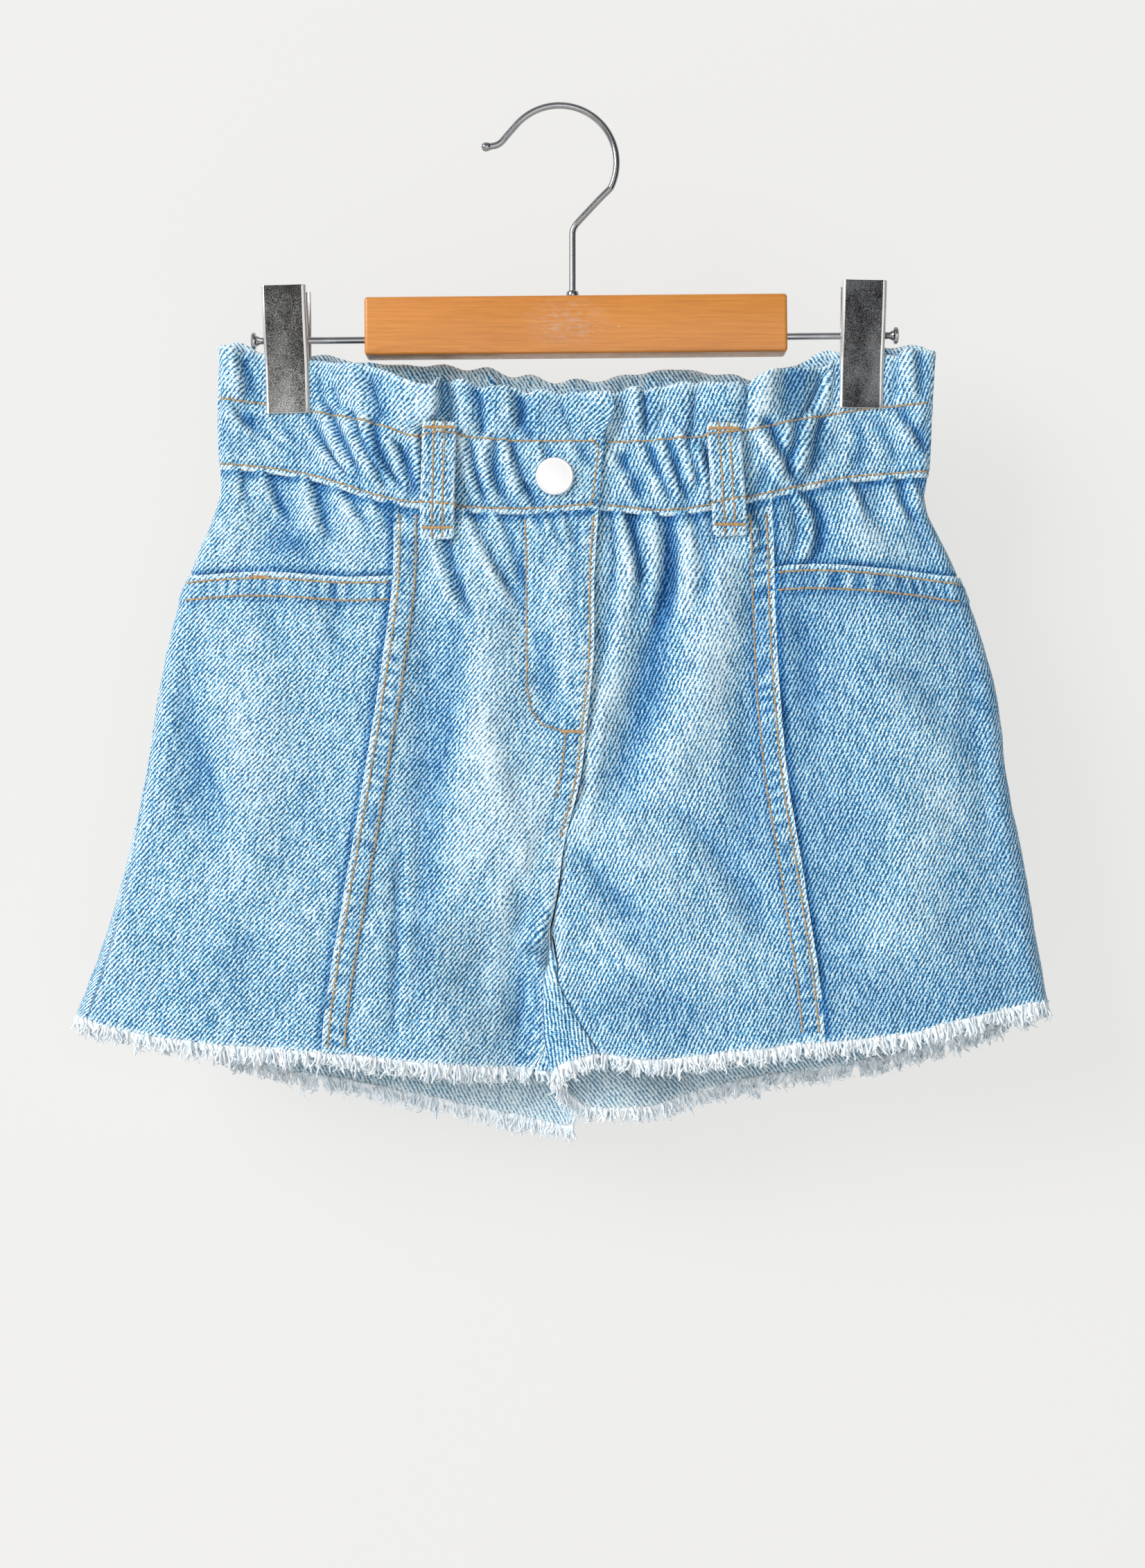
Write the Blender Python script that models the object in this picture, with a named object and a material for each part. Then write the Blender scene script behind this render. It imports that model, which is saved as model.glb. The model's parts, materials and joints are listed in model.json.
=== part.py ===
"""Denim shorts with a gathered paperbag waist, hanging from a wooden clip hanger.

The origin is the inside of the hook's top, where a rail carries the hanger. +X runs to the
right as seen from the front, +Y to the back and +Z up. Sizes and places are in millimetres
until a mesh is made, where MM turns them into metres. "Left" is the -X side.

The cloth is one flattened tube for the hips and one for each leg. A point of it is given by
its side (-1 left, +1 right), its height z and its path p: the distance along the cloth from
the outer fold, negative over the front and positive over the back. Every panel is a grid of
such points between two seams, given a thickness.
"""
import math
from typing import NamedTuple

import bmesh
import bpy
import numpy as np
from mathutils import Matrix, Vector

MM = 0.001
GAP = 0.3                 # between neighbouring pieces
DENIM = 1.2               # thickness of a single panel
BAND = 2.0                # thickness of the folded waistband
SEAM_LAP = 0.8            # how far a lapped seam or a hem stands proud
FRONT, BACK = -1.0, 1.0


# ---------------------------------------------------------------- shape of the tube

class Outline(NamedTuple):
    z: float              # height
    left: float           # x of the left outer fold
    right: float          # x of the right outer fold
    fold: float           # radius of the outer folds
    front: float          # depth of the front layer from the middle plane
    back: float           # depth of the back layer


OUTLINE = (
    Outline(-470.0, -237.0, 232.0, 8.0, 12.0, 14.0),
    Outline(-413.0, -219.0, 222.4, 8.5, 12.5, 14.0),
    Outline(-379.0, -206.3, 216.4, 9.0, 13.0, 14.0),
    Outline(-341.0, -195.4, 210.0, 9.0, 13.5, 14.5),
    Outline(-304.0, -187.2, 202.5, 9.0, 14.0, 15.0),
    Outline(-266.0, -181.5, 197.8, 9.0, 14.0, 15.0),
    Outline(-228.0, -173.0, 186.5, 8.0, 13.5, 14.0),
    Outline(-203.0, -163.5, 176.0, 7.0, 13.0, 12.5),
    Outline(-178.0, -154.1, 165.4, 6.0, 12.5, 11.5),
    Outline(-165.0, -153.5, 167.0, 5.5, 12.5, 11.0),
    Outline(-140.0, -154.1, 168.2, 5.0, 13.5, 10.5),
    Outline(-100.0, -152.8, 170.5, 5.0, 15.0, 10.0),
)
FULL_DEPTH_RUN = 60.0     # from the outer fold in to the full depth

CROTCH_X = -4.5
CROTCH_Z = -374.0
CROTCH_RISE = 30.0        # height over which the rise curves under to the crotch
INNER_FOLD = 5.5          # radius of a leg's inner fold
LEG_SHIFT = 6.5           # the right leg's inner fold lies this far forward, the left's back
LEG_SHIFT_DROP = 11.0     # below the crotch, where that shift is complete
LEG_BLEND = (17.0, 62.0)  # distance from the inner fold over which the shift dies out
UNDERLAP_ROOM = 1.4       # flat cloth past the centre line, for each unit of underlap
CROTCH_MARGIN = 5.0       # the rise's two sides are kept apart this far above its curve
CALM_OUTER = (2.0, 16.0)  # distance from the outer fold over which the soft folds set in
CALM_INNER = (6.0, 26.0)  # and from the inner fold
WAIST_CALM_Z = (-184.0, -168.0)
EDGE_ROUNDS = 8           # steps taken to find where an edge crosses a column
WAIST_GUESS = -180.0      # where that search starts
HEM_GUESS = -430.0


class LegEdge(NamedTuple):
    z: float
    left: float           # x of the left leg's inner fold
    right: float          # x of the right leg's inner fold
    left_wrap: float      # how far the left back panel comes round to the front
    right_wrap: float     # the same on the right


LEG_EDGES = (
    LegEdge(-475.0, 8.5, 14.0, 30.0, 38.0),
    LegEdge(-452.0, 8.0, 7.0, 25.0, 34.0),
    LegEdge(-437.0, 6.5, -3.2, 21.0, 31.0),
    LegEdge(-426.0, 5.5, -5.9, 15.0, 26.0),
    LegEdge(-411.0, 3.5, -7.4, 9.0, 18.0),
    LegEdge(-401.0, 0.5, -7.0, 6.0, 12.0),
    LegEdge(-394.0, -2.5, -6.0, 4.0, 8.5),
    LegEdge(-387.0, -5.5, -3.5, 2.5, 5.5),
    LegEdge(-377.0, -5.5, -3.5, 1.0, 2.0),
    LegEdge(-374.0, -4.5, -4.5, 0.0, 0.0),
)


class Seam(NamedTuple):
    z: float
    x: float


CENTRE_FRONT = (
    Seam(-374.0, -4.5), Seam(-356.0, -0.6), Seam(-333.0, 2.6), Seam(-304.0, 9.8),
    Seam(-281.0, 12.5), Seam(-248.0, 15.7), Seam(-215.0, 16.0), Seam(-184.0, 17.8),
    Seam(-152.0, 20.5), Seam(-120.0, 23.5),
)
CENTRE_BACK = (Seam(-374.0, -4.5), Seam(-300.0, 3.0), Seam(-170.0, 7.0), Seam(-100.0, 8.0))
PRINCESS_LEFT = (
    Seam(-445.0, -107.4), Seam(-414.0, -105.7), Seam(-362.0, -97.7), Seam(-315.0, -89.4),
    Seam(-280.0, -83.7), Seam(-245.0, -78.4), Seam(-215.0, -74.9), Seam(-180.0, -74.3),
)
PRINCESS_RIGHT = (
    Seam(-445.0, 121.5), Seam(-400.0, 117.5), Seam(-350.0, 110.1), Seam(-303.0, 102.6),
    Seam(-262.0, 98.9), Seam(-217.0, 96.9), Seam(-180.0, 95.8),
)
# The left side seam comes forward of the fold; x is the run of cloth from the fold.
SIDE_SEAM_LEFT = (Seam(-470.0, 13.0), Seam(-400.0, 10.5), Seam(-300.0, 4.3), Seam(-230.0, 0.0))
SIDE_SEAM_RIGHT = (Seam(-470.0, 0.0), Seam(-230.0, 0.0))


class Edge(NamedTuple):
    x: float
    front: float          # height of the edge on the front
    back: float           # and on the back


WAIST = (
    Edge(-156.0, -164.6, -164.6), Edge(-133.0, -166.5, -166.5), Edge(-111.0, -170.5, -168.0),
    Edge(-79.0, -181.0, -171.0), Edge(-45.0, -185.3, -173.5), Edge(-14.0, -186.2, -175.0),
    Edge(18.0, -184.3, -175.5), Edge(47.0, -187.0, -174.5), Edge(84.0, -181.2, -172.0),
    Edge(108.0, -176.0, -171.0), Edge(131.0, -171.2, -169.5), Edge(168.0, -168.2, -168.2),
)
RUFFLE = (
    Edge(-156.0, -108.2, -107.0), Edge(-137.0, -111.8, -109.8), Edge(-112.0, -115.2, -111.3),
    Edge(-80.0, -121.5, -113.5), Edge(-55.0, -127.6, -116.0), Edge(-14.0, -129.4, -119.6),
    Edge(20.0, -131.5, -120.4), Edge(50.0, -127.6, -118.6), Edge(83.0, -125.8, -119.0),
    Edge(110.0, -118.9, -113.3), Edge(137.0, -113.8, -110.0), Edge(170.0, -110.0, -109.0),
)
POCKET = (
    Edge(-170.0, -213.5, -213.5), Edge(-137.0, -211.6, -211.6), Edge(-92.0, -214.0, -214.0),
    Edge(-70.0, -213.5, -213.5), Edge(90.0, -210.0, -210.0), Edge(112.0, -208.5, -208.5),
    Edge(150.0, -210.5, -210.5), Edge(182.0, -214.4, -214.4),
)
HEM_LEFT = (
    Edge(-220.0, -411.5, -413.0), Edge(-196.0, -417.6, -419.0), Edge(-172.0, -422.0, -424.5),
    Edge(-132.0, -425.6, -436.9), Edge(-96.0, -428.3, -443.8), Edge(-62.0, -431.9, -450.5),
    Edge(-21.0, -436.0, -459.0), Edge(9.0, -438.0, -464.8),
)
HEM_RIGHT = (
    Edge(-6.0, -437.0, -451.5), Edge(17.0, -428.0, -453.8), Edge(38.0, -430.4, -454.0),
    Edge(59.0, -429.4, -449.3), Edge(89.0, -425.7, -442.5), Edge(121.0, -422.4, -437.4),
    Edge(156.0, -419.0, -431.0), Edge(188.0, -410.8, -421.0), Edge(222.0, -404.5, -407.5),
)


class Lap(NamedTuple):
    z: float
    under: float          # how far the right side runs on under the left
    left_out: float       # the left side stands this far out
    right_in: float       # the right side lies this far in


LAPS = (
    Lap(-320.0, 0.0, 0.0, 0.0), Lap(-294.0, 0.0, 1.0, 1.0), Lap(-266.0, 5.0, 1.0, 1.0),
    Lap(-205.0, 12.0, 1.0, 1.0), Lap(-190.0, 12.0, 1.45, 1.45), Lap(-120.0, 12.0, 1.45, 1.45),
)
LAP_RUN = (15.0, 34.0)    # distance from the front edge over which a lap settles


class Fold(NamedTuple):
    top_x: float
    top_z: float
    mid_x: float
    low_x: float
    low_z: float
    width: float
    height: float         # outward; a trough is negative


FRONT_FOLDS = (
    Fold(-171.0, -243.0, -163.0, -150.0, -352.0, 11.0, -3.0),
    Fold(-150.0, -225.0, -138.0, -126.0, -385.0, 21.0, 2.2),
    Fold(-132.0, -216.0, -127.0, -121.0, -256.0, 7.0, -1.8),
    Fold(-61.0, -200.0, -61.0, -72.0, -425.0, 10.0, -3.0),
    Fold(-49.0, -196.0, -32.0, -34.0, -372.0, 14.0, 3.5),
    Fold(-26.0, -200.0, -13.0, -2.0, -290.0, 8.0, -2.2),
    Fold(-12.0, -346.0, -14.0, -21.0, -428.0, 7.0, -2.2),
    Fold(48.0, -196.0, 39.0, 25.0, -320.0, 9.0, -4.0),
    Fold(70.0, -194.0, 64.0, 47.0, -318.0, 13.0, 3.5),
    Fold(86.0, -205.0, 86.0, 80.0, -330.0, 8.0, -2.6),
    Fold(46.0, -312.0, 76.0, 90.0, -378.0, 8.0, -3.0),
    Fold(28.0, -324.0, 52.0, 74.0, -410.0, 15.0, 2.6),
    Fold(190.0, -228.0, 191.0, 198.0, -350.0, 7.0, -2.0),
    Fold(146.0, -225.0, 155.0, 163.0, -395.0, 28.0, 2.0),
    Fold(-127.0, -172.0, -127.0, -126.0, -209.0, 9.0, -2.2),
    Fold(-146.0, -170.0, -147.0, -147.0, -211.0, 9.0, 1.8),
    Fold(113.0, -178.0, 115.0, 118.0, -207.0, 8.0, -2.2),
    Fold(137.0, -172.0, 139.0, 142.0, -208.0, 12.0, 2.2),
)
BACK_FOLDS = (
    Fold(-120.0, -180.0, -124.0, -140.0, -400.0, 15.0, -3.0),
    Fold(-85.0, -178.0, -80.0, -92.0, -380.0, 15.0, 3.0),
    Fold(-42.0, -180.0, -48.0, -58.0, -440.0, 14.0, -3.2),
    Fold(-14.0, -185.0, -20.0, -24.0, -350.0, 12.0, 2.6),
    Fold(32.0, -180.0, 30.0, 22.0, -340.0, 12.0, -3.0),
    Fold(60.0, -178.0, 64.0, 60.0, -420.0, 15.0, 3.2),
    Fold(98.0, -180.0, 102.0, 112.0, -410.0, 13.0, -3.2),
    Fold(140.0, -178.0, 146.0, 156.0, -380.0, 16.0, 2.6),
    Fold(173.0, -215.0, 178.0, 186.0, -380.0, 9.0, -2.2),
)

# ---------------------------------------------------------------- the waistband

FRONT_PITCH = 9.8         # from one gather to the next
BACK_PITCH = 11.4
STEPS_PER_GATHER = 4
CASING_WAVE = 1.9         # height of the gathers in the band
RUFFLE_WAVE = 2.2         # and at the free top edge
RUFFLE_SWAY = 1.6         # longer, uneven waves of the top edge, outward
BAND_SLANT = 13.0         # a gather leans this far over the band's height
BUTTONED = (30.0, 37.0)   # from the front edge; the buttoned ends lie flat
BAND_GUESS = -150.0       # a height inside the band
BAND_LENGTH = 200.0       # nominal, turns a lean and a gap into shares
BAND_END = 0.02           # share of the length over which the gathers die out at an end
BAND_ROUNDS = 10
SLANT_TAPER = 0.2         # share of the band's length over which the lean dies out


class BandRow(NamedTuple):
    height: float         # share of the band's height, from the waist seam
    wave: float           # height of the gathers here
    proud: float          # extra thickness on the outside


BAND_ROWS = (
    BandRow(0.0, 0.5, 0.3), BandRow(0.3, CASING_WAVE, 0.0), BandRow(0.58, 0.8, 0.0),
    BandRow(0.8, RUFFLE_WAVE, 0.0), BandRow(1.0, RUFFLE_WAVE, 0.0),
)
RUFFLE_FROM = 0.75        # share of the band's height above which it is the free ruffle


class BandPiece(NamedTuple):
    name: str
    where: str
    length: float
    pitch: float


BAND_PIECES = (
    BandPiece("waistband_front_left", "front_left", 175.0, FRONT_PITCH),
    BandPiece("waistband_front_right", "front_right", 160.0, FRONT_PITCH),
    BandPiece("waistband_back", "back", 330.0, BACK_PITCH),
)

# ---------------------------------------------------------------- loops, button, fringe

LOOP_WIDTH = 15.3
LOOP_THICK = 1.8
LOOP_STAND = 2.4          # how far a loop bows out between its ends
LOOP_STEPS = (4, 10)      # across and along
LOOP_ROOM = 0.3           # over the crests of the gathers
FRONT_SEAM_Z = (-192.0, -186.0)   # where a loop steps from the panel up onto the band
BACK_SEAM_Z = (-181.0, -174.0)


class Loop(NamedTuple):
    name: str
    layer: float
    top_x: float
    top_z: float
    low_x: float
    low_z: float


LOOPS = (
    Loop("belt_loop_left", FRONT, -53.3, -145.0, -54.6, -197.6),
    Loop("belt_loop_right", FRONT, 73.3, -145.6, 76.5, -196.0),
    Loop("belt_loop_back", BACK, 7.4, -143.5, 7.0, -188.0),
)
BUTTON_X = -2.0
BUTTON_Z = -169.4
BUTTON_RADIUS = 8.5


class Turn(NamedTuple):
    radius: float
    height: float


BUTTON_PROFILE = (
    Turn(0.0, 0.0), Turn(2.6, 0.0), Turn(2.8, 1.2), Turn(BUTTON_RADIUS - 0.9, 1.4),
    Turn(BUTTON_RADIUS, 2.2), Turn(BUTTON_RADIUS - 0.3, 3.0), Turn(BUTTON_RADIUS - 1.1, 3.2),
    Turn(BUTTON_RADIUS - 1.9, 2.7), Turn(0.0, 3.1),
)
BUTTON_SEGMENTS = 18

FRINGE_BAND = 2.4         # height of the strip that the locks hang from
FRINGE_LENGTH = 7.4       # of a lock below its strip
FRINGE_PITCH = 7.2
LOCK_SHARE = 0.62         # of the pitch that a lock's root takes
LOCK_SPLAY = 1.1          # sideways and in depth
LOCK_UNEVEN = 0.14        # share by which a lock may be shorter
FRINGE_INSET = 1.2        # from a seam to the first lock
HEM_STEP = 4.0            # the strip clears the hem's edge over this distance each way


class FringePiece(NamedTuple):
    layer: str
    word: str
    side: float
    length: float


FRINGES = (
    FringePiece("front", "left", -1.0, 205.0), FringePiece("front", "right", 1.0, 205.0),
    FringePiece("back", "left", -1.0, 250.0), FringePiece("back", "right", 1.0, 250.0),
)

# ---------------------------------------------------------------- the hanger

HANGER_TILT = math.radians(0.5)
BAR_CENTRE = Vector((7.5, 0.0, -99.3))
BAR_SIZE = Vector((191.0, 15.0, 26.2))
BAR_BEVEL = 1.6
WIRE = 1.5                # radius of the hook's wire
ROD = 1.55                # radius of the clip rods
BORE_ROOM = 0.3           # between a wire or rod and its hole
HOLE_PAST = 1.0           # a hole runs on this far past what fills it
ROD_DEPTH = 16.0          # of a rod inside the bar
ROD_Z = -104.4
KNOB_RADIUS = 3.9
KNOB_THICK = 2.2
ROD_ENDS = (-140.0, 154.0)
STEM_X = 6.0
STEM_DEPTH = 12.0
HOOK_RADIUS = 26.0        # to the wire's middle
HOOK_CENTRE_Z = WIRE - HOOK_RADIUS
HOOK_START = math.radians(-27.0)
HOOK_END = math.radians(141.0)
HOOK_STEPS = 18


class Bend(NamedTuple):
    x: float
    z: float
    swell: float = 1.0    # times the wire's radius


HOOK_FOOT = (
    Bend(STEM_X, -80.0), Bend(STEM_X, -58.0), Bend(STEM_X + 0.1, -55.6),
    Bend(STEM_X + 0.9, -53.6), Bend(8.6, -51.4), Bend(14.6, -45.0), Bend(19.4, -39.9),
)
HOOK_TIP = (
    Bend(-23.6, -12.0), Bend(-26.4, -15.2), Bend(-28.4, -16.5), Bend(-31.2, -17.1),
    Bend(-32.3, -17.3, 1.1), Bend(-33.0, -17.4, 1.3), Bend(-34.2, -17.5, 1.32),
    Bend(-35.2, -17.6, 0.75),
)
COLLAR_OUTER = 2.9
COLLAR_HEIGHT = 3.1
COLLAR_SEGMENTS = 14
ROD_SEGMENTS = 12
HOLE_SEGMENTS = 16

CLIP_WIDTH = 20.0
CLIP_SHEET = 0.9
CLIP_CENTRES = (-123.8, 137.4)
CLIP_LEANS = (math.radians(-1.1), math.radians(1.6))
# Half profile of a clip seen from its side: distance from the middle plane, height over the rod.
CLIP_PROFILE = ((8.4, 23.6), (7.6, 9.0), (6.2, 0.0), (4.5, -7.0), (3.75, -12.0), (3.75, -33.4))
EAR_INSETS = (0.05, 1.25)  # of the front plate's ears and of the back plate's, nested
# Outline of an ear seen from its side, for the plate on the +Y side.
CLIP_EAR = ((-3.4, 2.6), (-3.4, -2.6), (-2.0, -3.4), (5.6, -3.4), (7.0, 5.0), (2.0, 4.6))
PINCH_DEPTH = 1.6         # of each layer of cloth inside a clip
PINCH_X = (11.5, 45.0)    # full pinch to none, from a clip's middle
PINCH_Z = (-139.5, -200.0)
FLAT_X = (11.5, 19.0)     # the gathers are pressed flat here


# ---------------------------------------------------------------- small helpers

def curve(rows, value: str, at, key: str = "z"):
    """Read a table's column on a smooth curve through its rows."""
    keys = np.array([getattr(row, key) for row in rows])
    values = np.array([getattr(row, value) for row in rows])
    at = np.clip(np.asarray(at, dtype=float), keys[0], keys[-1])
    steps = np.diff(values) / np.diff(keys)
    slopes = np.concatenate(([steps[0]], (steps[:-1] + steps[1:]) / 2.0, [steps[-1]]))
    turning = np.concatenate(([False], steps[:-1] * steps[1:] <= 0.0, [False]))
    slopes[turning] = 0.0
    index = np.clip(np.searchsorted(keys, at, side="right") - 1, 0, len(keys) - 2)
    span = keys[index + 1] - keys[index]
    t = (at - keys[index]) / span
    start = values[index] * (1.0 + 2.0 * t) * (1.0 - t) ** 2
    end = values[index + 1] * t ** 2 * (3.0 - 2.0 * t)
    bend = span * (slopes[index] * t * (1.0 - t) ** 2 - slopes[index + 1] * t ** 2 * (1.0 - t))
    return start + end + bend


def rise(value, low: float, high: float):
    """Go smoothly from 0 at low to 1 at high; low may be the larger one."""
    t = np.clip((np.asarray(value, dtype=float) - low) / (high - low), 0.0, 1.0)
    return t * t * (3.0 - 2.0 * t)


def mix(a, b, share):
    """Linear mix."""
    return a + (b - a) * share


def pick(side, left, right):
    """Take the left or the right value for each point."""
    return np.where(np.asarray(side) > 0.0, right, left)


# ---------------------------------------------------------------- the tube's surface

def outer_x(side, z):
    """x of the outer fold."""
    return pick(side, curve(OUTLINE, "left", z), curve(OUTLINE, "right", z))


def centre_x(layer, z):
    """x of the centre front or centre back line."""
    return np.where(layer > 0.0, curve(CENTRE_BACK, "x", z), curve(CENTRE_FRONT, "x", z))


def above_crotch(z):
    """0 at the crotch, 1 where the rise no longer curves under."""
    return np.clip((np.asarray(z) - CROTCH_Z) / CROTCH_RISE, 0.0, 1.0)


def inner_reach(z):
    """How far the flat layer runs past the centre line, for the underlap."""
    return INNER_FOLD * above_crotch(z) + UNDERLAP_ROOM * curve(LAPS, "under", z)


def inner_x(side, layer, z):
    """x of the inner fold; above the crotch it is a construction line past the centre."""
    leg = pick(side, curve(LEG_EDGES, "left", z), curve(LEG_EDGES, "right", z))
    trunk = centre_x(layer, z) - side * inner_reach(z)
    return np.where(np.asarray(z) < CROTCH_Z, leg, trunk)


def half_girth(side, layer, z):
    """Length of cloth from the outer fold to the inner fold, and the outer fold's radius."""
    fold = curve(OUTLINE, "fold", z)
    width = side * (outer_x(side, z) - inner_x(side, layer, z))
    quarter = math.pi / 2.0
    return width - fold - INNER_FOLD + quarter * (fold + INNER_FOLD), fold


def run_at(side, layer, z, x):
    """Length of cloth from the outer fold to a place x on the flat part of a layer."""
    fold = curve(OUTLINE, "fold", z)
    inset = side * (outer_x(side, z) - x)
    bent = fold * np.arccos(np.clip(1.0 - inset / fold, -1.0, 1.0))
    return np.where(inset < fold, bent, inset - fold + fold * math.pi / 2.0)


def run_to_centre(side, layer, z):
    """Length of cloth from the outer fold to the centre seam, or to the crotch's edge."""
    girth, _fold = half_girth(side, layer, z)
    reach = inner_reach(z)
    bent = INNER_FOLD * np.arccos(np.clip(1.0 - reach / INNER_FOLD, -1.0, 1.0))
    flat = reach - INNER_FOLD + INNER_FOLD * math.pi / 2.0
    return girth - np.where(reach < INNER_FOLD, bent, flat)


def ring(side, z, path):
    """Where a path lies: x, layer, how far round a fold (1 on the flat) and fold insets."""
    layer = np.where(path < 0.0, FRONT, BACK)
    girth, fold = half_girth(side, layer, z)
    wrapped = path > girth
    layer = np.where(wrapped, FRONT, layer)
    run = np.where(wrapped, 2.0 * girth - path, np.abs(path))
    left = girth - run
    outer = outer_x(side, z)
    inner = inner_x(side, layer, z)
    quarter = math.pi / 2.0
    outset = np.where(run < fold * quarter,
                      fold * (1.0 - np.cos(np.minimum(run / fold, quarter))),
                      fold + run - fold * quarter)
    inset = np.where(left < INNER_FOLD * quarter,
                     INNER_FOLD * (1.0 - np.cos(np.clip(left / INNER_FOLD, 0.0, quarter))),
                     INNER_FOLD + left - INNER_FOLD * quarter)
    near_inner = left < INNER_FOLD * quarter
    x = np.where(near_inner, inner + side * inset, outer - side * outset)
    spread = np.sin(np.minimum(run / fold, quarter))
    spread = spread * np.sin(np.clip(left / INNER_FOLD, 0.0, quarter))
    return x, layer, spread, side * (outer - x), side * (x - inner)


def clip_nearness(x, z, reach):
    """1 at a clip's jaw, 0 away from both clips."""
    near = np.zeros_like(np.asarray(x, dtype=float))
    for centre in CLIP_CENTRES:
        near = np.maximum(near, 1.0 - rise(np.abs(x - centre), *reach))
    return near * (1.0 - rise(z, *PINCH_Z))


def fold_relief(folds, x, z):
    """Height of the soft folds of one layer."""
    total = np.zeros_like(x)
    for fold in folds:
        t = (fold.top_z - z) / (fold.top_z - fold.low_z)
        line = fold.top_x * (1 - t) * (1 - 2 * t) + 4 * fold.mid_x * t * (1 - t)
        line = line + fold.low_x * t * (2 * t - 1)
        fade = rise(t, -0.12, 0.22) * (1.0 - rise(t, 0.72, 1.1))
        total = total + fold.height * fade * np.exp(-((x - line) / fold.width) ** 2)
    return total


def tube_point(side, z, path):
    """Middle of the cloth wall, without its gathers."""
    side, z, path = np.broadcast_arrays(np.asarray(side, dtype=float), z, path)
    x, layer, spread, from_outer, from_inner = ring(side, z, path)
    fold = curve(OUTLINE, "fold", z)
    full = np.where(layer > 0.0, curve(OUTLINE, "back", z), curve(OUTLINE, "front", z))
    depth = mix(fold, full, rise(from_outer, fold, FULL_DEPTH_RUN))
    depth = mix(depth, PINCH_DEPTH, clip_nearness(x, z, PINCH_X))
    leg = rise(z, CROTCH_Z, CROTCH_Z - LEG_SHIFT_DROP) * (1.0 - rise(from_inner, *LEG_BLEND))
    middle = -side * LEG_SHIFT * leg
    depth = mix(depth, INNER_FOLD, leg)
    relief = np.where(layer > 0.0, fold_relief(BACK_FOLDS, x, z), fold_relief(FRONT_FOLDS, x, z))
    calm = rise(from_outer, *CALM_OUTER)
    leg_calm = np.where(z < CROTCH_Z + CROTCH_RISE, rise(from_inner, *CALM_INNER), 1.0)
    from_edge = side * (x - centre_x(layer, z))
    lap = (1.0 - rise(from_edge, *LAP_RUN)) * (layer < 0.0)
    step = pick(side, curve(LAPS, "left_out", z), -curve(LAPS, "right_in", z))
    relief = relief * calm * leg_calm * (1.0 - rise(z, *WAIST_CALM_Z))
    y = middle + layer * spread * (depth + relief + lap * step)
    return np.stack([x, y, z], axis=-1)


def unit(vectors):
    """Scale vectors to length 1."""
    return vectors / np.linalg.norm(vectors, axis=-1, keepdims=True)


def tube_normal(side, z, path, reach: float = 0.8):
    """Direction out of the cloth."""
    along = tube_point(side, z, path + reach) - tube_point(side, z, path - reach)
    down = tube_point(side, z - reach, path) - tube_point(side, z + reach, path)
    normal = np.cross(along, down)
    return unit(normal * -np.asarray(side)[..., None])


# ---------------------------------------------------------------- edges and seams

def edge_height(rows, x, turn):
    """Height of an edge that runs round from the front (turn -1) to the back (turn +1)."""
    front = curve(rows, "front", x, "x")
    back = curve(rows, "back", x, "x")
    return mix(front, back, (1.0 + turn) / 2.0)


def hem_height(side, x, turn):
    """Height of the hem."""
    return pick(side, edge_height(HEM_LEFT, x, turn), edge_height(HEM_RIGHT, x, turn))


def side_seam(side, z):
    """Path of the side seam."""
    return -pick(side, curve(SIDE_SEAM_LEFT, "x", z), curve(SIDE_SEAM_RIGHT, "x", z))


def princess_seam(side, z):
    """Path of the seam between a side panel and a centre panel."""
    x = pick(side, curve(PRINCESS_LEFT, "x", z), curve(PRINCESS_RIGHT, "x", z))
    return -run_at(side, FRONT, z, x)


def leg_wrap(side, z):
    """How far a back panel comes round the inner fold to the front."""
    return pick(side, curve(LEG_EDGES, "left_wrap", z), curve(LEG_EDGES, "right_wrap", z))


def front_inner_seam(side, z):
    """Path of a front panel's inner edge: centre front above, inseam below."""
    centre = run_to_centre(side, np.full_like(z, FRONT), z)
    under = pick(side, 0.0, curve(LAPS, "under", z))
    girth, _fold = half_girth(side, np.full_like(z, FRONT), z)
    return -np.where(z < CROTCH_Z, girth - leg_wrap(side, z), centre + under)


def back_inner_seam(side, z):
    """Path of a back panel's inner edge: centre back above, inseam below."""
    centre = run_to_centre(side, np.full_like(z, BACK), z)
    girth, _fold = half_girth(side, np.full_like(z, BACK), z)
    return np.where(z < CROTCH_Z, girth + leg_wrap(side, z), centre)


class Panel(NamedTuple):
    """A piece of cloth between two seams, an upper edge and a lower edge."""
    side: float
    start: callable       # path of the first seam at a height
    end: callable         # path of the last seam
    top: callable         # height of the upper edge from side, x and turn
    low: callable


def trim(panel: Panel, z, share):
    """Path of a point between a panel's seams, kept half a gap away from them."""
    first = panel.start(panel.side, z)
    last = panel.end(panel.side, z)
    inset = np.sign(last - first) * GAP / 2.0
    return mix(first + inset, last - inset, share)


def edge_of(panel: Panel, height, share, guess: float):
    """Find the height of a panel's edge at each column."""
    z = np.full_like(share, guess)
    for _round in range(EDGE_ROUNDS):
        x, layer, spread, _outer, _inner = ring(panel.side, z, trim(panel, z, share))
        z = height(panel.side, x, layer * spread)
    return z


def panel_grid(panel: Panel, shares, rows, level=None):
    """Heights and paths of a panel's grid; level keeps a row at the crotch."""
    shares = np.asarray(shares, dtype=float)
    top = edge_of(panel, panel.top, shares, WAIST_GUESS) - GAP / 2.0
    low = edge_of(panel, panel.low, shares, HEM_GUESS) + GAP / 2.0
    rows = np.asarray(rows, dtype=float)[:, None]
    if level is None:
        z = mix(top[None, :], low[None, :], rows)
    else:
        upper = mix(top[None, :], level, np.clip(rows, 0.0, 1.0))
        z = np.where(rows <= 1.0, upper, mix(level, low[None, :], rows - 1.0))
    return z, trim(panel, z, shares[None, :])


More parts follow.
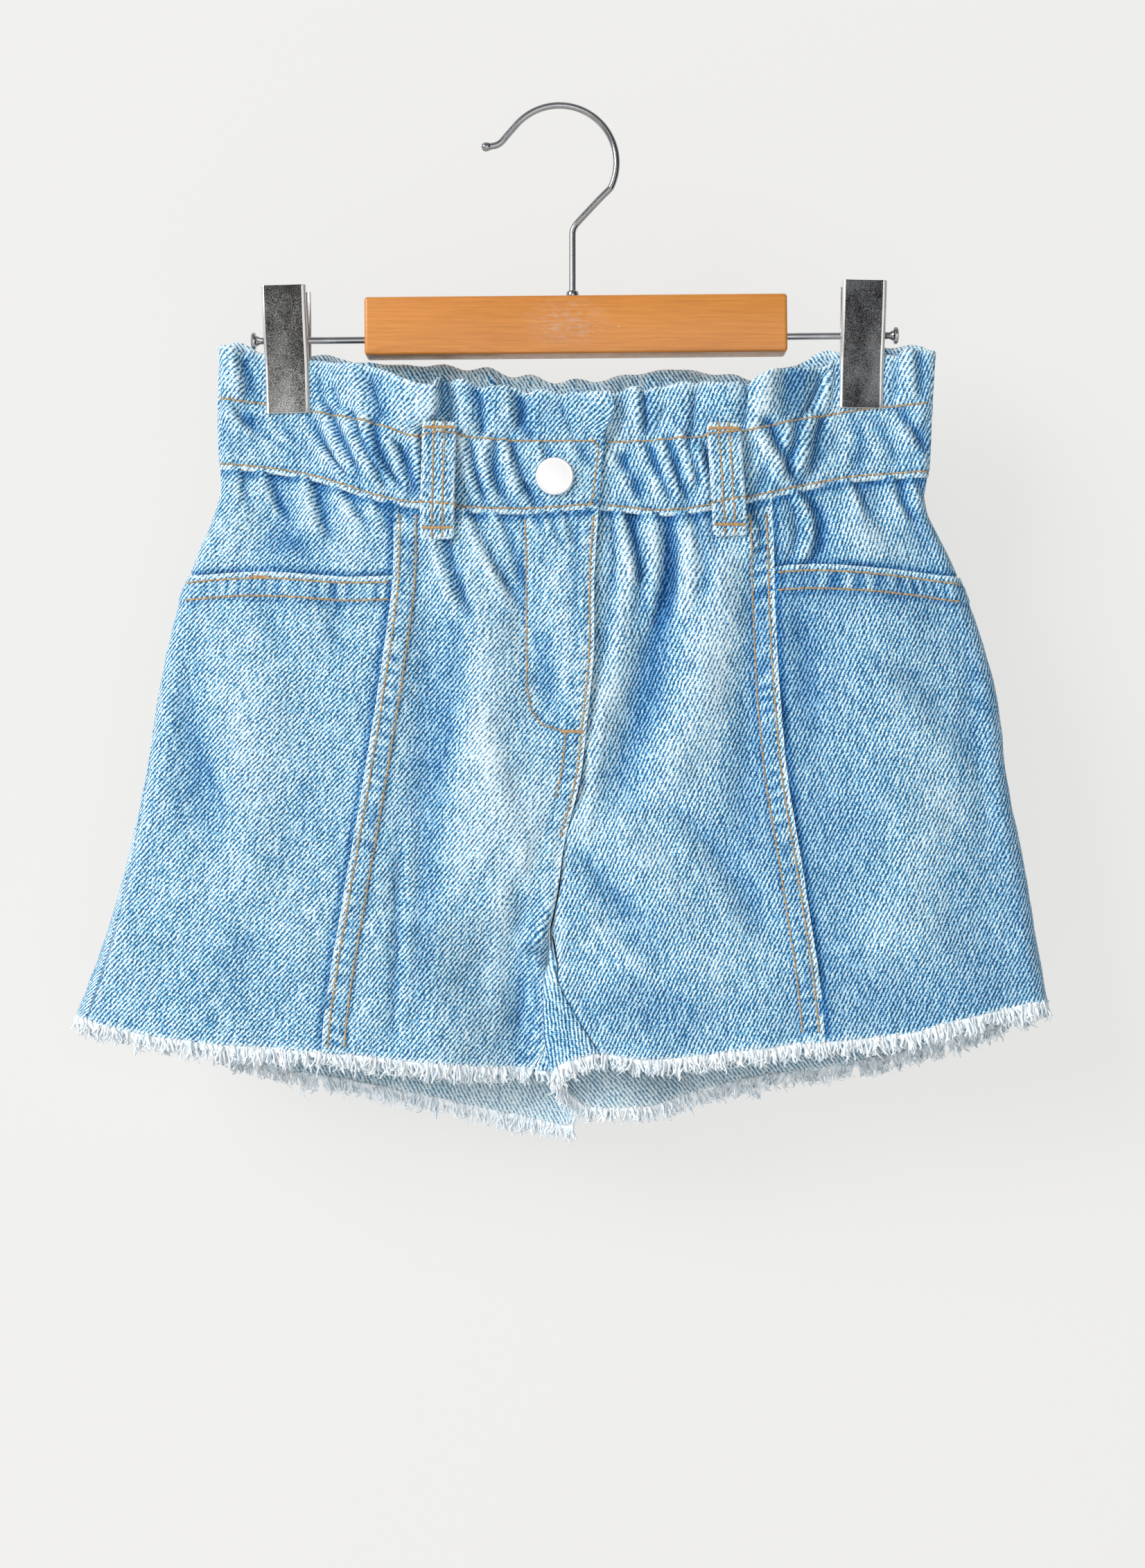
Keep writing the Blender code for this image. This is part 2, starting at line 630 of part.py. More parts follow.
def keep_apart(points, side: float, turn):
    """Keep a panel's wall on its own side of the rise near the crotch."""
    z = points[..., 2]
    centre = centre_x(turn, z)
    zone = (z < CROTCH_Z + CROTCH_RISE + CROTCH_MARGIN) & (z > CROTCH_Z - LEG_SHIFT_DROP)
    limit = np.where(z < CROTCH_Z, CROTCH_X, centre) + side * GAP / 2.0
    x = points[..., 0]
    kept = np.where(side > 0.0, np.maximum(x, limit), np.minimum(x, limit))
    points[..., 0] = np.where(zone, kept, x)
    return points


# ---------------------------------------------------------------- meshes

def material(name: str, colour, rough: float, metal: float = 0.0):
    """Make a Principled material."""
    made = bpy.data.materials.new(name)
    made.use_nodes = True
    shader = made.node_tree.nodes["Principled BSDF"]
    shader.inputs["Base Color"].default_value = (*colour, 1.0)
    shader.inputs["Roughness"].default_value = rough
    shader.inputs["Metallic"].default_value = metal
    return made


def add_object(name: str, mesh, finish):
    """Link a mesh as a named object with its material."""
    mesh.materials.clear()
    mesh.materials.append(finish)
    made = bpy.data.objects.new(name, mesh)
    bpy.context.scene.collection.objects.link(made)
    return made


def body(name: str, points, faces, finish, smooth: bool = True):
    """Make a closed body from points in millimetres, with its faces turned outwards."""
    mesh = bpy.data.meshes.new(name)
    mesh.from_pydata([tuple(point) for point in np.asarray(points) * MM], [], faces)
    work = bmesh.new()
    work.from_mesh(mesh)
    bmesh.ops.recalc_face_normals(work, faces=work.faces)
    work.to_mesh(mesh)
    work.free()
    if smooth:
        mesh.shade_smooth()
    mesh.validate()
    return add_object(name, mesh, finish)


def wall_faces(rows: int, columns: int):
    """Faces of a sheet with an outside, an inside and four closed edges."""
    def outside(row, column):
        return row * columns + column

    def inside(row, column):
        return (rows + row) * columns + column

    faces = []
    for row in range(rows - 1):
        for column in range(columns - 1):
            low, high = (row, column), (row + 1, column + 1)
            for third in ((row, column + 1), (row + 1, column)):
                faces.append((outside(*low), outside(*third), outside(*high)))
                faces.append((inside(*low), inside(*high), inside(*third)))
    rim = [(0, column) for column in range(columns - 1)]
    rim += [(row, columns - 1) for row in range(rows - 1)]
    rim += [(rows - 1, column) for column in range(columns - 1, 0, -1)]
    rim += [(row, 0) for row in range(rows - 1, 0, -1)]
    for here, there in zip(rim, rim[1:] + rim[:1]):
        faces.append((outside(*there), outside(*here), inside(*here), inside(*there)))
    return faces


def wall(name: str, outside, inside, finish):
    """Make a cloth wall from the grids of its two faces."""
    rows, columns = outside.shape[:2]
    points = np.concatenate([outside.reshape(-1, 3), inside.reshape(-1, 3)])
    return body(name, points, wall_faces(rows, columns), finish)


def turned(name: str, profile, finish, segments: int):
    """Turn a closed profile of (radius, height) round Z; a radius of 0 closes an end."""
    points = []
    rings = []
    for radius, height in profile:
        if radius == 0.0:
            rings.append([len(points)])
            points.append((0.0, 0.0, height))
            continue
        rings.append(list(range(len(points), len(points) + segments)))
        for step in range(segments):
            angle = 2.0 * math.pi * step / segments
            points.append((radius * math.cos(angle), radius * math.sin(angle), height))
    faces = []
    closed = profile[0][0] != 0.0
    pairs = list(zip(rings, rings[1:]))
    if closed:
        pairs.append((rings[-1], rings[0]))
    for lower, upper in pairs:
        for step in range(segments):
            after = (step + 1) % segments
            corners = [lower[step % len(lower)], lower[after % len(lower)]]
            corners += [upper[after % len(upper)], upper[step % len(upper)]]
            faces.append(tuple(dict.fromkeys(corners)))
    made = body(name, points, faces, finish)
    made.data.set_sharp_from_angle(angle=math.radians(40.0))
    return made


# ---------------------------------------------------------------- cloth pieces

def cloth_wall(name: str, panel: Panel, shares, rows, finish, level=None, proud=None):
    """Build one panel: its grid, its two faces and the clearance at the crotch."""
    z, path = panel_grid(panel, shares, rows, level)
    side = np.full_like(z, panel.side)
    middle = tube_point(side, z, path)
    normal = tube_normal(side, z, path)
    _x, layer, _spread, _outer, _inner = ring(side, z, path)
    extra = np.zeros_like(z) if proud is None else proud
    outside = middle + normal * (DENIM / 2.0 + extra)[..., None]
    inside = middle - normal * (DENIM / 2.0)
    outside = keep_apart(outside, panel.side, layer)
    inside = keep_apart(inside, panel.side, layer)
    return wall(name, outside, inside, finish)


UPPER_ROWS = (0.0, 0.09, 0.19, 0.31, 0.44, 0.57, 0.7, 0.82, 0.91, 0.965, 1.0)
LOWER_ROWS = (1.06, 1.18, 1.33, 1.5, 1.68, 1.84, 1.95, 2.0)
STRIP_SHARE = 0.11        # the lapped seam's strip, as a share of a centre panel's width
STEP_SHARE = 0.02         # the step beside it
POCKET_HEM_SHARE = 0.0415 # the opening's hem, as a share of a side panel's height
HEM_STEP_SHARE = 0.0067
CENTRE_COLUMNS = 9
SIDE_COLUMNS = 10
YOKE_ROWS = 4
SIDE_ROWS = 11


def spaced(start: float, end: float, count: int):
    """Even shares from start to end."""
    return tuple(start + (end - start) * step / count for step in range(count + 1))


def build_front_centres(finish) -> None:
    """Centre fronts, each lapped over its side panel; the left one carries the fly."""
    shares = (0.0, STRIP_SHARE) + spaced(STRIP_SHARE + STEP_SHARE, 1.0, CENTRE_COLUMNS)
    rows = UPPER_ROWS + LOWER_ROWS
    for name, side in (("front_centre_left", -1.0), ("front_centre_right", 1.0)):
        proud = np.zeros((len(rows), len(shares)))
        proud[:, :2] = SEAM_LAP
        panel = Panel(side, princess_seam, front_inner_seam,
                      lambda _side, x, turn: edge_height(WAIST, x, turn), hem_height)
        cloth_wall(name, panel, shares, rows, finish, CROTCH_Z, proud)


def build_side_panels(finish) -> None:
    """Side fronts: a yoke above each pocket opening and a panel with a hem below it."""
    shares = spaced(0.0, 1.0, SIDE_COLUMNS)
    rows = (0.0, POCKET_HEM_SHARE)
    rows += spaced(POCKET_HEM_SHARE + HEM_STEP_SHARE, 1.0, SIDE_ROWS)
    proud = np.zeros((len(rows), len(shares)))
    proud[:2, :] = SEAM_LAP
    for word, side in (("left", -1.0), ("right", 1.0)):
        yoke = Panel(side, side_seam, princess_seam,
                     lambda _side, x, turn: edge_height(WAIST, x, turn),
                     lambda _side, x, turn: edge_height(POCKET, x, turn))
        cloth_wall("pocket_yoke_" + word, yoke, shares, spaced(0.0, 1.0, YOKE_ROWS), finish)
        below = Panel(side, side_seam, princess_seam,
                      lambda _side, x, turn: edge_height(POCKET, x, turn), hem_height)
        cloth_wall("side_panel_" + word, below, shares, rows, finish, None, proud)


# Columns of a back: close together round both folds, wider apart between them.
BACK_SHARES = (0.0, 0.02, 0.045, 0.07) + spaced(0.11, 0.84, 11)
BACK_SHARES += (0.88, 0.905, 0.93, 0.955, 0.978, 1.0)


def build_backs(finish) -> None:
    """Backs: each runs from the side seam over the back and round to the inseam in front."""
    rows = UPPER_ROWS + LOWER_ROWS
    for name, side in (("back_left", -1.0), ("back_right", 1.0)):
        panel = Panel(side, side_seam, back_inner_seam,
                      lambda _side, x, turn: edge_height(WAIST, x, turn), hem_height)
        cloth_wall(name, panel, BACK_SHARES, rows, finish, CROTCH_Z)


# ---------------------------------------------------------------- waistband

def band_height(x, turn, share):
    """Height of a place on the band, share 0 at the waist seam and 1 at the ruffle's top."""
    low = edge_height(WAIST, x, turn) + GAP / 2.0
    return mix(low, edge_height(RUFFLE, x, turn), share)


def gather_columns(length: float, pitch: float):
    """Shares of the band's length at each quarter of a gather, unevenly spaced."""
    count = int(round(length / pitch)) * STEPS_PER_GATHER
    even = np.arange(count + 1) / count
    sway = 0.011 * np.sin(9.4 * even * math.pi) + 0.007 * np.sin(21.0 * even * math.pi + 0.6)
    ends = rise(even, 0.0, 0.06) * (1.0 - rise(even, 0.94, 1.0))
    return even + sway * ends


def band_side(where: str, share, z):
    """Side and path of a place on a band piece."""
    back = np.full_like(z, BACK)
    front = np.full_like(z, FRONT)
    if where == "front_left":
        return -np.ones_like(z), -share * run_to_centre(-1.0, front, z)
    if where == "front_right":
        run = run_to_centre(1.0, front, z) + curve(LAPS, "under", z)
        return np.ones_like(z), -share * run
    left = run_to_centre(-1.0, back, z)
    right = run_to_centre(1.0, back, z)
    along = share * (left + right)
    on_right = along > left
    path = np.where(on_right, left + right - along, along)
    return np.where(on_right, 1.0, -1.0), path


def slanted(share, height: float, way: float):
    """Shear the columns so that every gather leans to the left at its top."""
    taper = rise(share, 0.0, SLANT_TAPER) * (1.0 - rise(share, 1.0 - SLANT_TAPER, 1.0))
    return share - way * taper * (height - 0.5) * BAND_SLANT / BAND_LENGTH


def band_points(where: str, shares, row: BandRow):
    """Middle of one row of the band, with its gathers, and the direction out of it."""
    ends = GAP / 2.0 / BAND_LENGTH
    way = -1.0 if where == "front_right" else 1.0
    share = slanted(np.clip(shares, ends, 1.0 - ends), row.height, way)
    z = np.full_like(share, BAND_GUESS)
    for _round in range(BAND_ROUNDS):
        side, path = band_side(where, share, z)
        x, layer, spread, _outer, _inner = ring(side, z, path)
        z = band_height(x, layer * spread, row.height)
    side, path = band_side(where, share, z)
    middle = tube_point(side, z, path)
    normal = tube_normal(side, z, path)
    quarter = np.arange(len(shares)) % STEPS_PER_GATHER
    wave = np.where(quarter == 1, 1.0, np.where(quarter == 3, -1.0, 0.0))
    order = np.arange(len(shares)) // STEPS_PER_GATHER
    uneven = 0.82 + 0.3 * np.sin(2.4 * order + 0.7) * np.cos(1.3 * order)
    calm = 1.0 - clip_nearness(x, z, FLAT_X)
    calm = calm * rise(share, 0.0, BAND_END) * (1.0 - rise(share, 1.0 - BAND_END, 1.0))
    over = (1.0 - rise(side * (x - centre_x(layer, z)), *BUTTONED)) * (layer < 0.0)
    if row.height > RUFFLE_FROM:
        long_wave = RUFFLE_SWAY * np.sin(order * 2.3 + 0.4) * calm * (1.0 - over)
        long_wave = np.maximum(long_wave, 0.5 * BAND - np.abs(middle[..., 1]))
        middle = middle + normal * np.where(long_wave > 0.0, long_wave, 0.0)[..., None]
    lift = row.wave * wave * uneven * calm * (1.0 - over)
    room = np.maximum(np.abs(middle[..., 1]) - BAND / 2.0 - GAP / 2.0, 0.0)
    lift = np.maximum(lift, -room)
    return middle + normal * lift[..., None], normal


def build_waistband(finish) -> None:
    """The gathered band: two fronts that lap at the centre, and the back."""
    for piece in BAND_PIECES:
        shares = gather_columns(piece.length, piece.pitch)
        outside = []
        inside = []
        for row in BAND_ROWS:
            middle, normal = band_points(piece.where, shares, row)
            outside.append(middle + normal * (BAND / 2.0 + row.proud))
            inside.append(middle - normal * (BAND / 2.0))
        wall(piece.name, np.array(outside), np.array(inside), finish)


# ---------------------------------------------------------------- loops and button

def build_loops(finish) -> None:
    """Belt loops: strips made from the cloth's points moved out, bowed between their ends."""
    across, along = LOOP_STEPS
    for loop in LOOPS:
        rows = np.linspace(0.0, 1.0, along + 1)[:, None]
        columns = np.linspace(-0.5, 0.5, across + 1)[None, :] * LOOP_WIDTH
        z = mix(loop.top_z, loop.low_z, rows) + 0.0 * columns
        x = mix(loop.top_x, loop.low_x, rows) + columns
        side = np.where(x > centre_x(np.full_like(z, loop.layer), z), 1.0, -1.0)
        path = loop.layer * run_at(side, loop.layer, z, x)
        middle = tube_point(side, z, path)
        on_band = rise(z, *(FRONT_SEAM_Z if loop.layer < 0.0 else BACK_SEAM_Z))
        cloth = mix(DENIM / 2.0, BAND / 2.0 + CASING_WAVE + LOOP_ROOM, on_band)
        bow = LOOP_STAND * np.sin(math.pi * rows) ** 0.5 + 0.0 * columns
        out = (cloth + GAP + bow)[..., None] * np.array((0.0, loop.layer, 0.0))
        thick = np.array((0.0, loop.layer * LOOP_THICK, 0.0))
        wall(loop.name, middle + out + thick, middle + out, finish)


def build_button(finish) -> None:
    """The jeans button: a dished cap with a rolled rim on a short neck."""
    made = turned("button", BUTTON_PROFILE, finish, BUTTON_SEGMENTS)
    z = np.array([BUTTON_Z])
    side = np.array([-1.0])
    path = -run_at(side, FRONT, z, np.array([BUTTON_X]))
    face = tube_point(side, z, path)[0]
    out = BAND / 2.0 + GAP
    made.rotation_euler = (math.pi / 2.0, 0.0, 0.0)
    made.location = Vector((BUTTON_X, face[1] - out, BUTTON_Z)) * MM


# ---------------------------------------------------------------- fringe

def fringe_path(piece: FringePiece, share):
    """Path along a hem piece at a share of its length, as a function of height."""
    def place(height):
        first = side_seam(piece.side, height)
        inner = front_inner_seam if piece.layer == "front" else back_inner_seam
        last = inner(piece.side, height)
        inset = np.sign(last - first) * FRINGE_INSET
        return mix(first + inset, last - inset, share)
    return place


def hem_on(side: float, place):
    """Height of the hem along a path that depends on the height."""
    hem = np.full_like(place(np.array(HEM_GUESS)), HEM_GUESS)
    for _round in range(EDGE_ROUNDS):
        x, layer, spread, _outer, _inner = ring(side, hem, place(hem))
        hem = hem_height(side, x, layer * spread)
    return hem


def fringe_strip(piece: FringePiece, shares):
    """Outside and inside points of the strip's two rows."""
    hem = np.zeros_like(shares)
    for reach in (-HEM_STEP, 0.0, HEM_STEP):
        beside = fringe_path(piece, np.clip(shares + reach / piece.length, 0.0, 1.0))
        hem = np.minimum(hem, hem_on(piece.side, beside))
    place = fringe_path(piece, shares)
    outside = []
    inside = []
    for drop in (GAP, GAP + FRINGE_BAND):
        z = hem - drop
        sides = np.full_like(z, piece.side)
        middle = tube_point(sides, z, place(z))
        normal = tube_normal(sides, z, place(z))
        outside.append(middle + normal * (DENIM / 2.0))
        inside.append(middle - normal * (DENIM / 2.0))
    return np.concatenate(outside), np.concatenate(inside)


def lock_root(face, columns: int):
    """Number of the lock that hangs from a face of the strip's underside, or None."""
    outside = [point for point in face if columns <= point < 2 * columns]
    inside = [point for point in face if point >= 3 * columns]
    if len(outside) != 2 or len(inside) != 2:
        return None
    first = min(outside) - columns
    return first // 2 if first % 2 == 0 else None


def build_fringe(finish) -> None:
    """Frayed hems: a narrow strip under the cloth's edge with locks hanging from it."""
    for piece in FRINGES:
        locks = int(piece.length / FRINGE_PITCH)
        starts = np.arange(locks) / locks
        shares = np.stack([starts, starts + LOCK_SHARE / locks], axis=1).reshape(-1)
        points = list(np.concatenate(fringe_strip(piece, shares)))
        faces = []
        for face in wall_faces(2, len(shares)):
            lock = lock_root(face, len(shares))
            if lock is None:
                faces.append(face)
                continue
            length = FRINGE_LENGTH * (1.0 - LOCK_UNEVEN * (1.0 - math.sin(2.7 * lock)))
            splay = np.array((LOCK_SPLAY * math.sin(1.9 * lock + piece.side),
                              LOCK_SPLAY * 0.5 * math.cos(2.3 * lock), -length))
            points.append(sum(points[point] for point in face) / len(face) + splay)
            for here, there in zip(face, face[1:] + face[:1]):
                faces.append((here, there, len(points) - 1))
        body("fringe_" + piece.layer + "_" + piece.word, points, faces, finish)


# ---------------------------------------------------------------- hanger

def cutter(name: str, radius: float, length: float, centre, direction):
    """A cylinder that bores a hole; it isn't part of the model."""
    mesh = bpy.data.meshes.new(name)
    work = bmesh.new()
    bmesh.ops.create_cone(work, cap_ends=True, segments=HOLE_SEGMENTS, radius1=radius * MM,
                          radius2=radius * MM, depth=length * MM)
    turn = Vector((0.0, 0.0, 1.0)).rotation_difference(Vector(direction)).to_matrix().to_4x4()
    work.transform(Matrix.Translation(Vector(centre) * MM) @ turn)
    work.to_mesh(mesh)
    work.free()
    made = bpy.data.objects.new(name, mesh)
    bpy.context.scene.collection.objects.link(made)
    made.hide_render = True
    made.display_type = "WIRE"
    return made


def combine(target, tool, operation: str) -> None:
    """Add a Boolean modifier."""
    step = target.modifiers.new(operation.lower() + "_" + tool.name, "BOOLEAN")
    step.operation = operation
    step.object = tool


def build_bar(finish, frame) -> None:
    """The wooden bar, bored for the hook's stem and for both rods."""
    mesh = bpy.data.meshes.new("wood_bar")
    work = bmesh.new()
    bmesh.ops.create_cube(work, size=1.0, matrix=Matrix.Diagonal((*(BAR_SIZE * MM), 1.0)))
    bmesh.ops.bevel(work, geom=list(work.edges), offset=BAR_BEVEL * MM, segments=2,
                    profile=0.5, affect="EDGES")
    work.to_mesh(mesh)
    work.free()
    bar = add_object("wood_bar", mesh, finish)
    bar.location = BAR_CENTRE * MM
    bar.parent = frame
    half = BAR_SIZE / 2.0
    top = BAR_CENTRE.z + half.z
    holes = [cutter("stem_hole", WIRE + BORE_ROOM, 2.0 * (STEM_DEPTH + HOLE_PAST),
                    (STEM_X, 0.0, top), (0.0, 0.0, 1.0))]
    for name, sign in (("rod_hole_left", -1.0), ("rod_hole_right", 1.0)):
        end = BAR_CENTRE.x + sign * half.x
        holes.append(cutter(name, ROD + BORE_ROOM, 2.0 * (ROD_DEPTH + HOLE_PAST),
                            (end, 0.0, ROD_Z), (1.0, 0.0, 0.0)))
    for hole in holes:
        hole.parent = frame
        combine(bar, hole, "DIFFERENCE")


def build_rods(finish, frame) -> None:
    """Rods that carry the clips, each headed with a flat knob."""
    half = BAR_SIZE.x / 2.0
    for name, sign, end in (("rod_left", -1.0, ROD_ENDS[0]), ("rod_right", 1.0, ROD_ENDS[1])):
        start = BAR_CENTRE.x + sign * (half - ROD_DEPTH)
        length = abs(end - start)
        profile = (
            (0.0, 0.0), (ROD, 0.0), (ROD, length - KNOB_THICK - 1.6),
            (ROD + 0.6, length - KNOB_THICK - 1.0), (ROD + 0.6, length - KNOB_THICK),
            (KNOB_RADIUS - 0.4, length - KNOB_THICK), (KNOB_RADIUS, length - KNOB_THICK + 0.4),
            (KNOB_RADIUS, length - 0.4), (KNOB_RADIUS - 0.4, length), (0.0, length),
        )
        rod = turned(name, profile, finish, ROD_SEGMENTS)
        rod.rotation_euler = (0.0, sign * math.pi / 2.0, 0.0)
        rod.location = Vector((start, 0.0, ROD_Z)) * MM
        rod.parent = frame


def build_hook(finish) -> None:
    """The wire hook: stem, a bend, a long arc and a turned-out tip with a ball end."""
    foot = BAR_CENTRE.z + BAR_SIZE.z / 2.0 - STEM_DEPTH
    points = [Bend(STEM_X, foot), *HOOK_FOOT]
    for step in range(HOOK_STEPS + 1):
        angle = mix(HOOK_START, HOOK_END, step / HOOK_STEPS)
        points.append(Bend(HOOK_RADIUS * math.cos(angle),
                           HOOK_CENTRE_Z + HOOK_RADIUS * math.sin(angle)))
    points += list(HOOK_TIP)
    data = bpy.data.curves.new("hook", "CURVE")
    data.dimensions = "3D"
    data.bevel_depth = WIRE * MM
    data.bevel_resolution = 2
    data.use_fill_caps = True
    spline = data.splines.new("POLY")
    spline.points.add(len(points) - 1)
    for target, bend in zip(spline.points, points):
        target.co = (bend.x * MM, 0.0, bend.z * MM, 1.0)
        target.radius = bend.swell
    made = bpy.data.objects.new("hook", data)
    data.materials.append(finish)
    bpy.context.scene.collection.objects.link(made)


def build_collar(finish) -> None:
    """The collar that covers the stem's hole."""
    inner = WIRE + BORE_ROOM
    profile = (
        (inner, 0.0), (COLLAR_OUTER - 0.4, 0.0), (COLLAR_OUTER, 0.7),
        (COLLAR_OUTER, COLLAR_HEIGHT - 0.9), (COLLAR_OUTER - 0.6, COLLAR_HEIGHT),
        (inner, COLLAR_HEIGHT),
    )
    made = turned("hook_collar", profile, finish, COLLAR_SEGMENTS)
    foot = BAR_CENTRE.z + BAR_SIZE.z / 2.0 + GAP
    made.location = Vector((STEM_X, 0.0, foot)) * MM


def extrude(name: str, outline, low_x: float, high_x: float, finish):
    """Extrude a closed outline of (y, z) along X."""
    count = len(outline)
    points = [(low_x, y, z) for y, z in outline] + [(high_x, y, z) for y, z in outline]
    faces = [tuple(range(count)), tuple(range(2 * count - 1, count - 1, -1))]
    for here in range(count):
        there = (here + 1) % count
        faces.append((there, here, here + count, there + count))
    return body(name, points, faces, finish, smooth=False)


def sheet_outline(line, thick: float):
    """Give a bent line a thickness to both sides."""
    line = np.array(line)
    along = np.gradient(line, axis=0)
    across = unit(np.stack([-along[:, 1], along[:, 0]], axis=1))
    return np.concatenate([line + across * thick / 2.0, (line - across * thick / 2.0)[::-1]])


def build_clips(finish, frame) -> None:
    """Trouser clips: two bent plates with ears that hang on the rod."""
    half = CLIP_WIDTH / 2.0
    for word, centre, lean in zip(("left", "right"), CLIP_CENTRES, CLIP_LEANS):
        for place, sign, inset in (("front", FRONT, EAR_INSETS[0]), ("back", BACK, EAR_INSETS[1])):
            name = "clip_" + word + "_" + place
            line = [(sign * y, z) for y, z in CLIP_PROFILE]
            plate = extrude(name, sheet_outline(line, CLIP_SHEET), -half, half, finish)
            plate.location = Vector((centre, 0.0, ROD_Z)) * MM
            plate.rotation_euler = (0.0, lean, 0.0)
            plate.parent = frame
            ear = [(sign * y, z) for y, z in CLIP_EAR]
            for mark, outer in (("a", -half + inset), ("b", half - inset)):
                inner = outer + (CLIP_SHEET if mark == "a" else -CLIP_SHEET)
                tool = extrude(name + "_ear_" + mark, ear, min(outer, inner),
                               max(outer, inner), finish)
                tool.hide_render = True
                tool.display_type = "WIRE"
                tool.parent = plate
                combine(plate, tool, "UNION")
            hole = cutter(name + "_hole", ROD + BORE_ROOM, CLIP_WIDTH + 2.0 * HOLE_PAST,
                          (0.0, 0.0, 0.0), (1.0, 0.0, 0.0))
            hole.parent = plate
            combine(plate, hole, "DIFFERENCE")


# ---------------------------------------------------------------- all of it

def clear_scene() -> None:
    """Remove whatever the scene holds."""
    for item in list(bpy.data.objects):
        bpy.data.objects.remove(item, do_unlink=True)


def hanger_frame():
    """An empty at the stem that the tilted parts of the hanger hang on."""
    made = bpy.data.objects.new("hanger_frame", None)
    bpy.context.scene.collection.objects.link(made)
    made.rotation_euler = (0.0, -HANGER_TILT, 0.0)
    pivot = Vector((STEM_X, 0.0, BAR_CENTRE.z)) * MM
    turn = Matrix.Rotation(-HANGER_TILT, 3, "Y")
    made.location = pivot - turn @ pivot
    return made


def main() -> None:
    """Build every piece."""
    clear_scene()
    denim = material("washed_denim", (0.42, 0.55, 0.68), 0.9)
    frayed = material("frayed_cotton", (0.86, 0.88, 0.9), 0.95)
    steel = material("clip_steel", (0.22, 0.21, 0.2), 0.5, 1.0)
    chrome = material("chrome_wire", (0.78, 0.78, 0.78), 0.18, 1.0)
    wood = material("varnished_wood", (0.72, 0.42, 0.17), 0.4)
    silver = material("button_silver", (0.8, 0.8, 0.8), 0.35, 1.0)
    frame = hanger_frame()
    build_hook(chrome)
    build_collar(chrome)
    build_bar(wood, frame)
    build_rods(chrome, frame)
    build_clips(steel, frame)
    build_waistband(denim)
    build_front_centres(denim)
    build_side_panels(denim)
    build_backs(denim)
    build_loops(denim)
    build_button(silver)
    build_fringe(frayed)


main()
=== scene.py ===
"""Looks of the denim shorts with a paperbag waist on their wooden clip hanger.

Sizes and places are in millimetres until a mesh is made, where MM turns them into metres.
+X runs to the right as seen from the front, +Y to the back and +Z up; "left" is the -X side.

The cloth is one flattened tube for the hips and one for each leg. A point of it is given by
its side (-1 left, +1 right), its height z and its path p: the distance along the cloth from
the outer fold, negative over the front and positive over the back.
"""
import json
import logging
import math
from dataclasses import dataclass, field
from enum import Enum
from functools import partial
from typing import Callable, NamedTuple, Optional, Sequence

import bmesh
import bpy
import numpy as np
from mathutils import Matrix, Vector
from mathutils.bvhtree import BVHTree

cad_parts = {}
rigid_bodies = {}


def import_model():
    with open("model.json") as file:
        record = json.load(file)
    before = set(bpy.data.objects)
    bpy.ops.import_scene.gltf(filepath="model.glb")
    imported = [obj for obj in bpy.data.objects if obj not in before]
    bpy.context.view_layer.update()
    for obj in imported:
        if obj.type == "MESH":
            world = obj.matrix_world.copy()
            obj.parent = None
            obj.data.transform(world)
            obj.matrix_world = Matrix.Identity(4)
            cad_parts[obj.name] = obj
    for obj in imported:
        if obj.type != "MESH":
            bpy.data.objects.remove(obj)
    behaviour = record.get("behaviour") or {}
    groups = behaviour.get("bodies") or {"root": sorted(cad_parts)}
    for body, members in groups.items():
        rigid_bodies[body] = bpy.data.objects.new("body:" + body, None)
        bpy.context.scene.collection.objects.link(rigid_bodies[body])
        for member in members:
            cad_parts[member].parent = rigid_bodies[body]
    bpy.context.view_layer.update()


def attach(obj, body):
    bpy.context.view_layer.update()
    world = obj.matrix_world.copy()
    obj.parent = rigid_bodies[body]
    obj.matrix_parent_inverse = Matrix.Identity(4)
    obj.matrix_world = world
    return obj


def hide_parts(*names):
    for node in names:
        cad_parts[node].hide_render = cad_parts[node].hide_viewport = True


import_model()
LOG = logging.getLogger("shorts")

MM = 0.001
BODY = "root"
FRONT, BACK = -1.0, 1.0
QUARTER = math.pi / 2
Array = np.ndarray
Material = bpy.types.Material
Mesh = bpy.types.Mesh
Node = bpy.types.Node
Object = bpy.types.Object
Socket = bpy.types.NodeSocket
Tree = bpy.types.NodeTree
Edge = Callable[[float, Array, Array], Array]
Seam = Callable[[float, Array], Array]


class Side(float, Enum):
    """Side of the garment as seen from the front."""

    LEFT = -1
    RIGHT = 1


# --- shape of the tube

def table(kind: type, *values: tuple) -> tuple:
    """A table with named columns, a row for each tuple."""
    return tuple(kind(*map(float, row)) for row in values)


class Outline(NamedTuple):
    """Tube section: outer folds' places and radius, depth of both layers."""

    z: float
    left: float
    right: float
    fold: float
    front: float
    back: float


OUTLINE = table(
    Outline, (-470, -237, 232, 8, 12, 14), (-413, -219, 222.4, 8.5, 12.5, 14),
    (-379, -206.3, 216.4, 9, 13, 14), (-341, -195.4, 210, 9, 13.5, 14.5),
    (-304, -187.2, 202.5, 9, 14, 15), (-266, -181.5, 197.8, 9, 14, 15),
    (-228, -173, 186.5, 8, 13.5, 14), (-203, -163.5, 176, 7, 13, 12.5),
    (-178, -154.1, 165.4, 6, 12.5, 11.5), (-165, -153.5, 167, 5.5, 12.5, 11),
    (-140, -154.1, 168.2, 5, 13.5, 10.5), (-100, -152.8, 170.5, 5, 15, 10))


class LegEdge(NamedTuple):
    """Inner folds of both legs and how far each back comes round to the front."""

    z: float
    left: float
    right: float
    left_wrap: float
    right_wrap: float


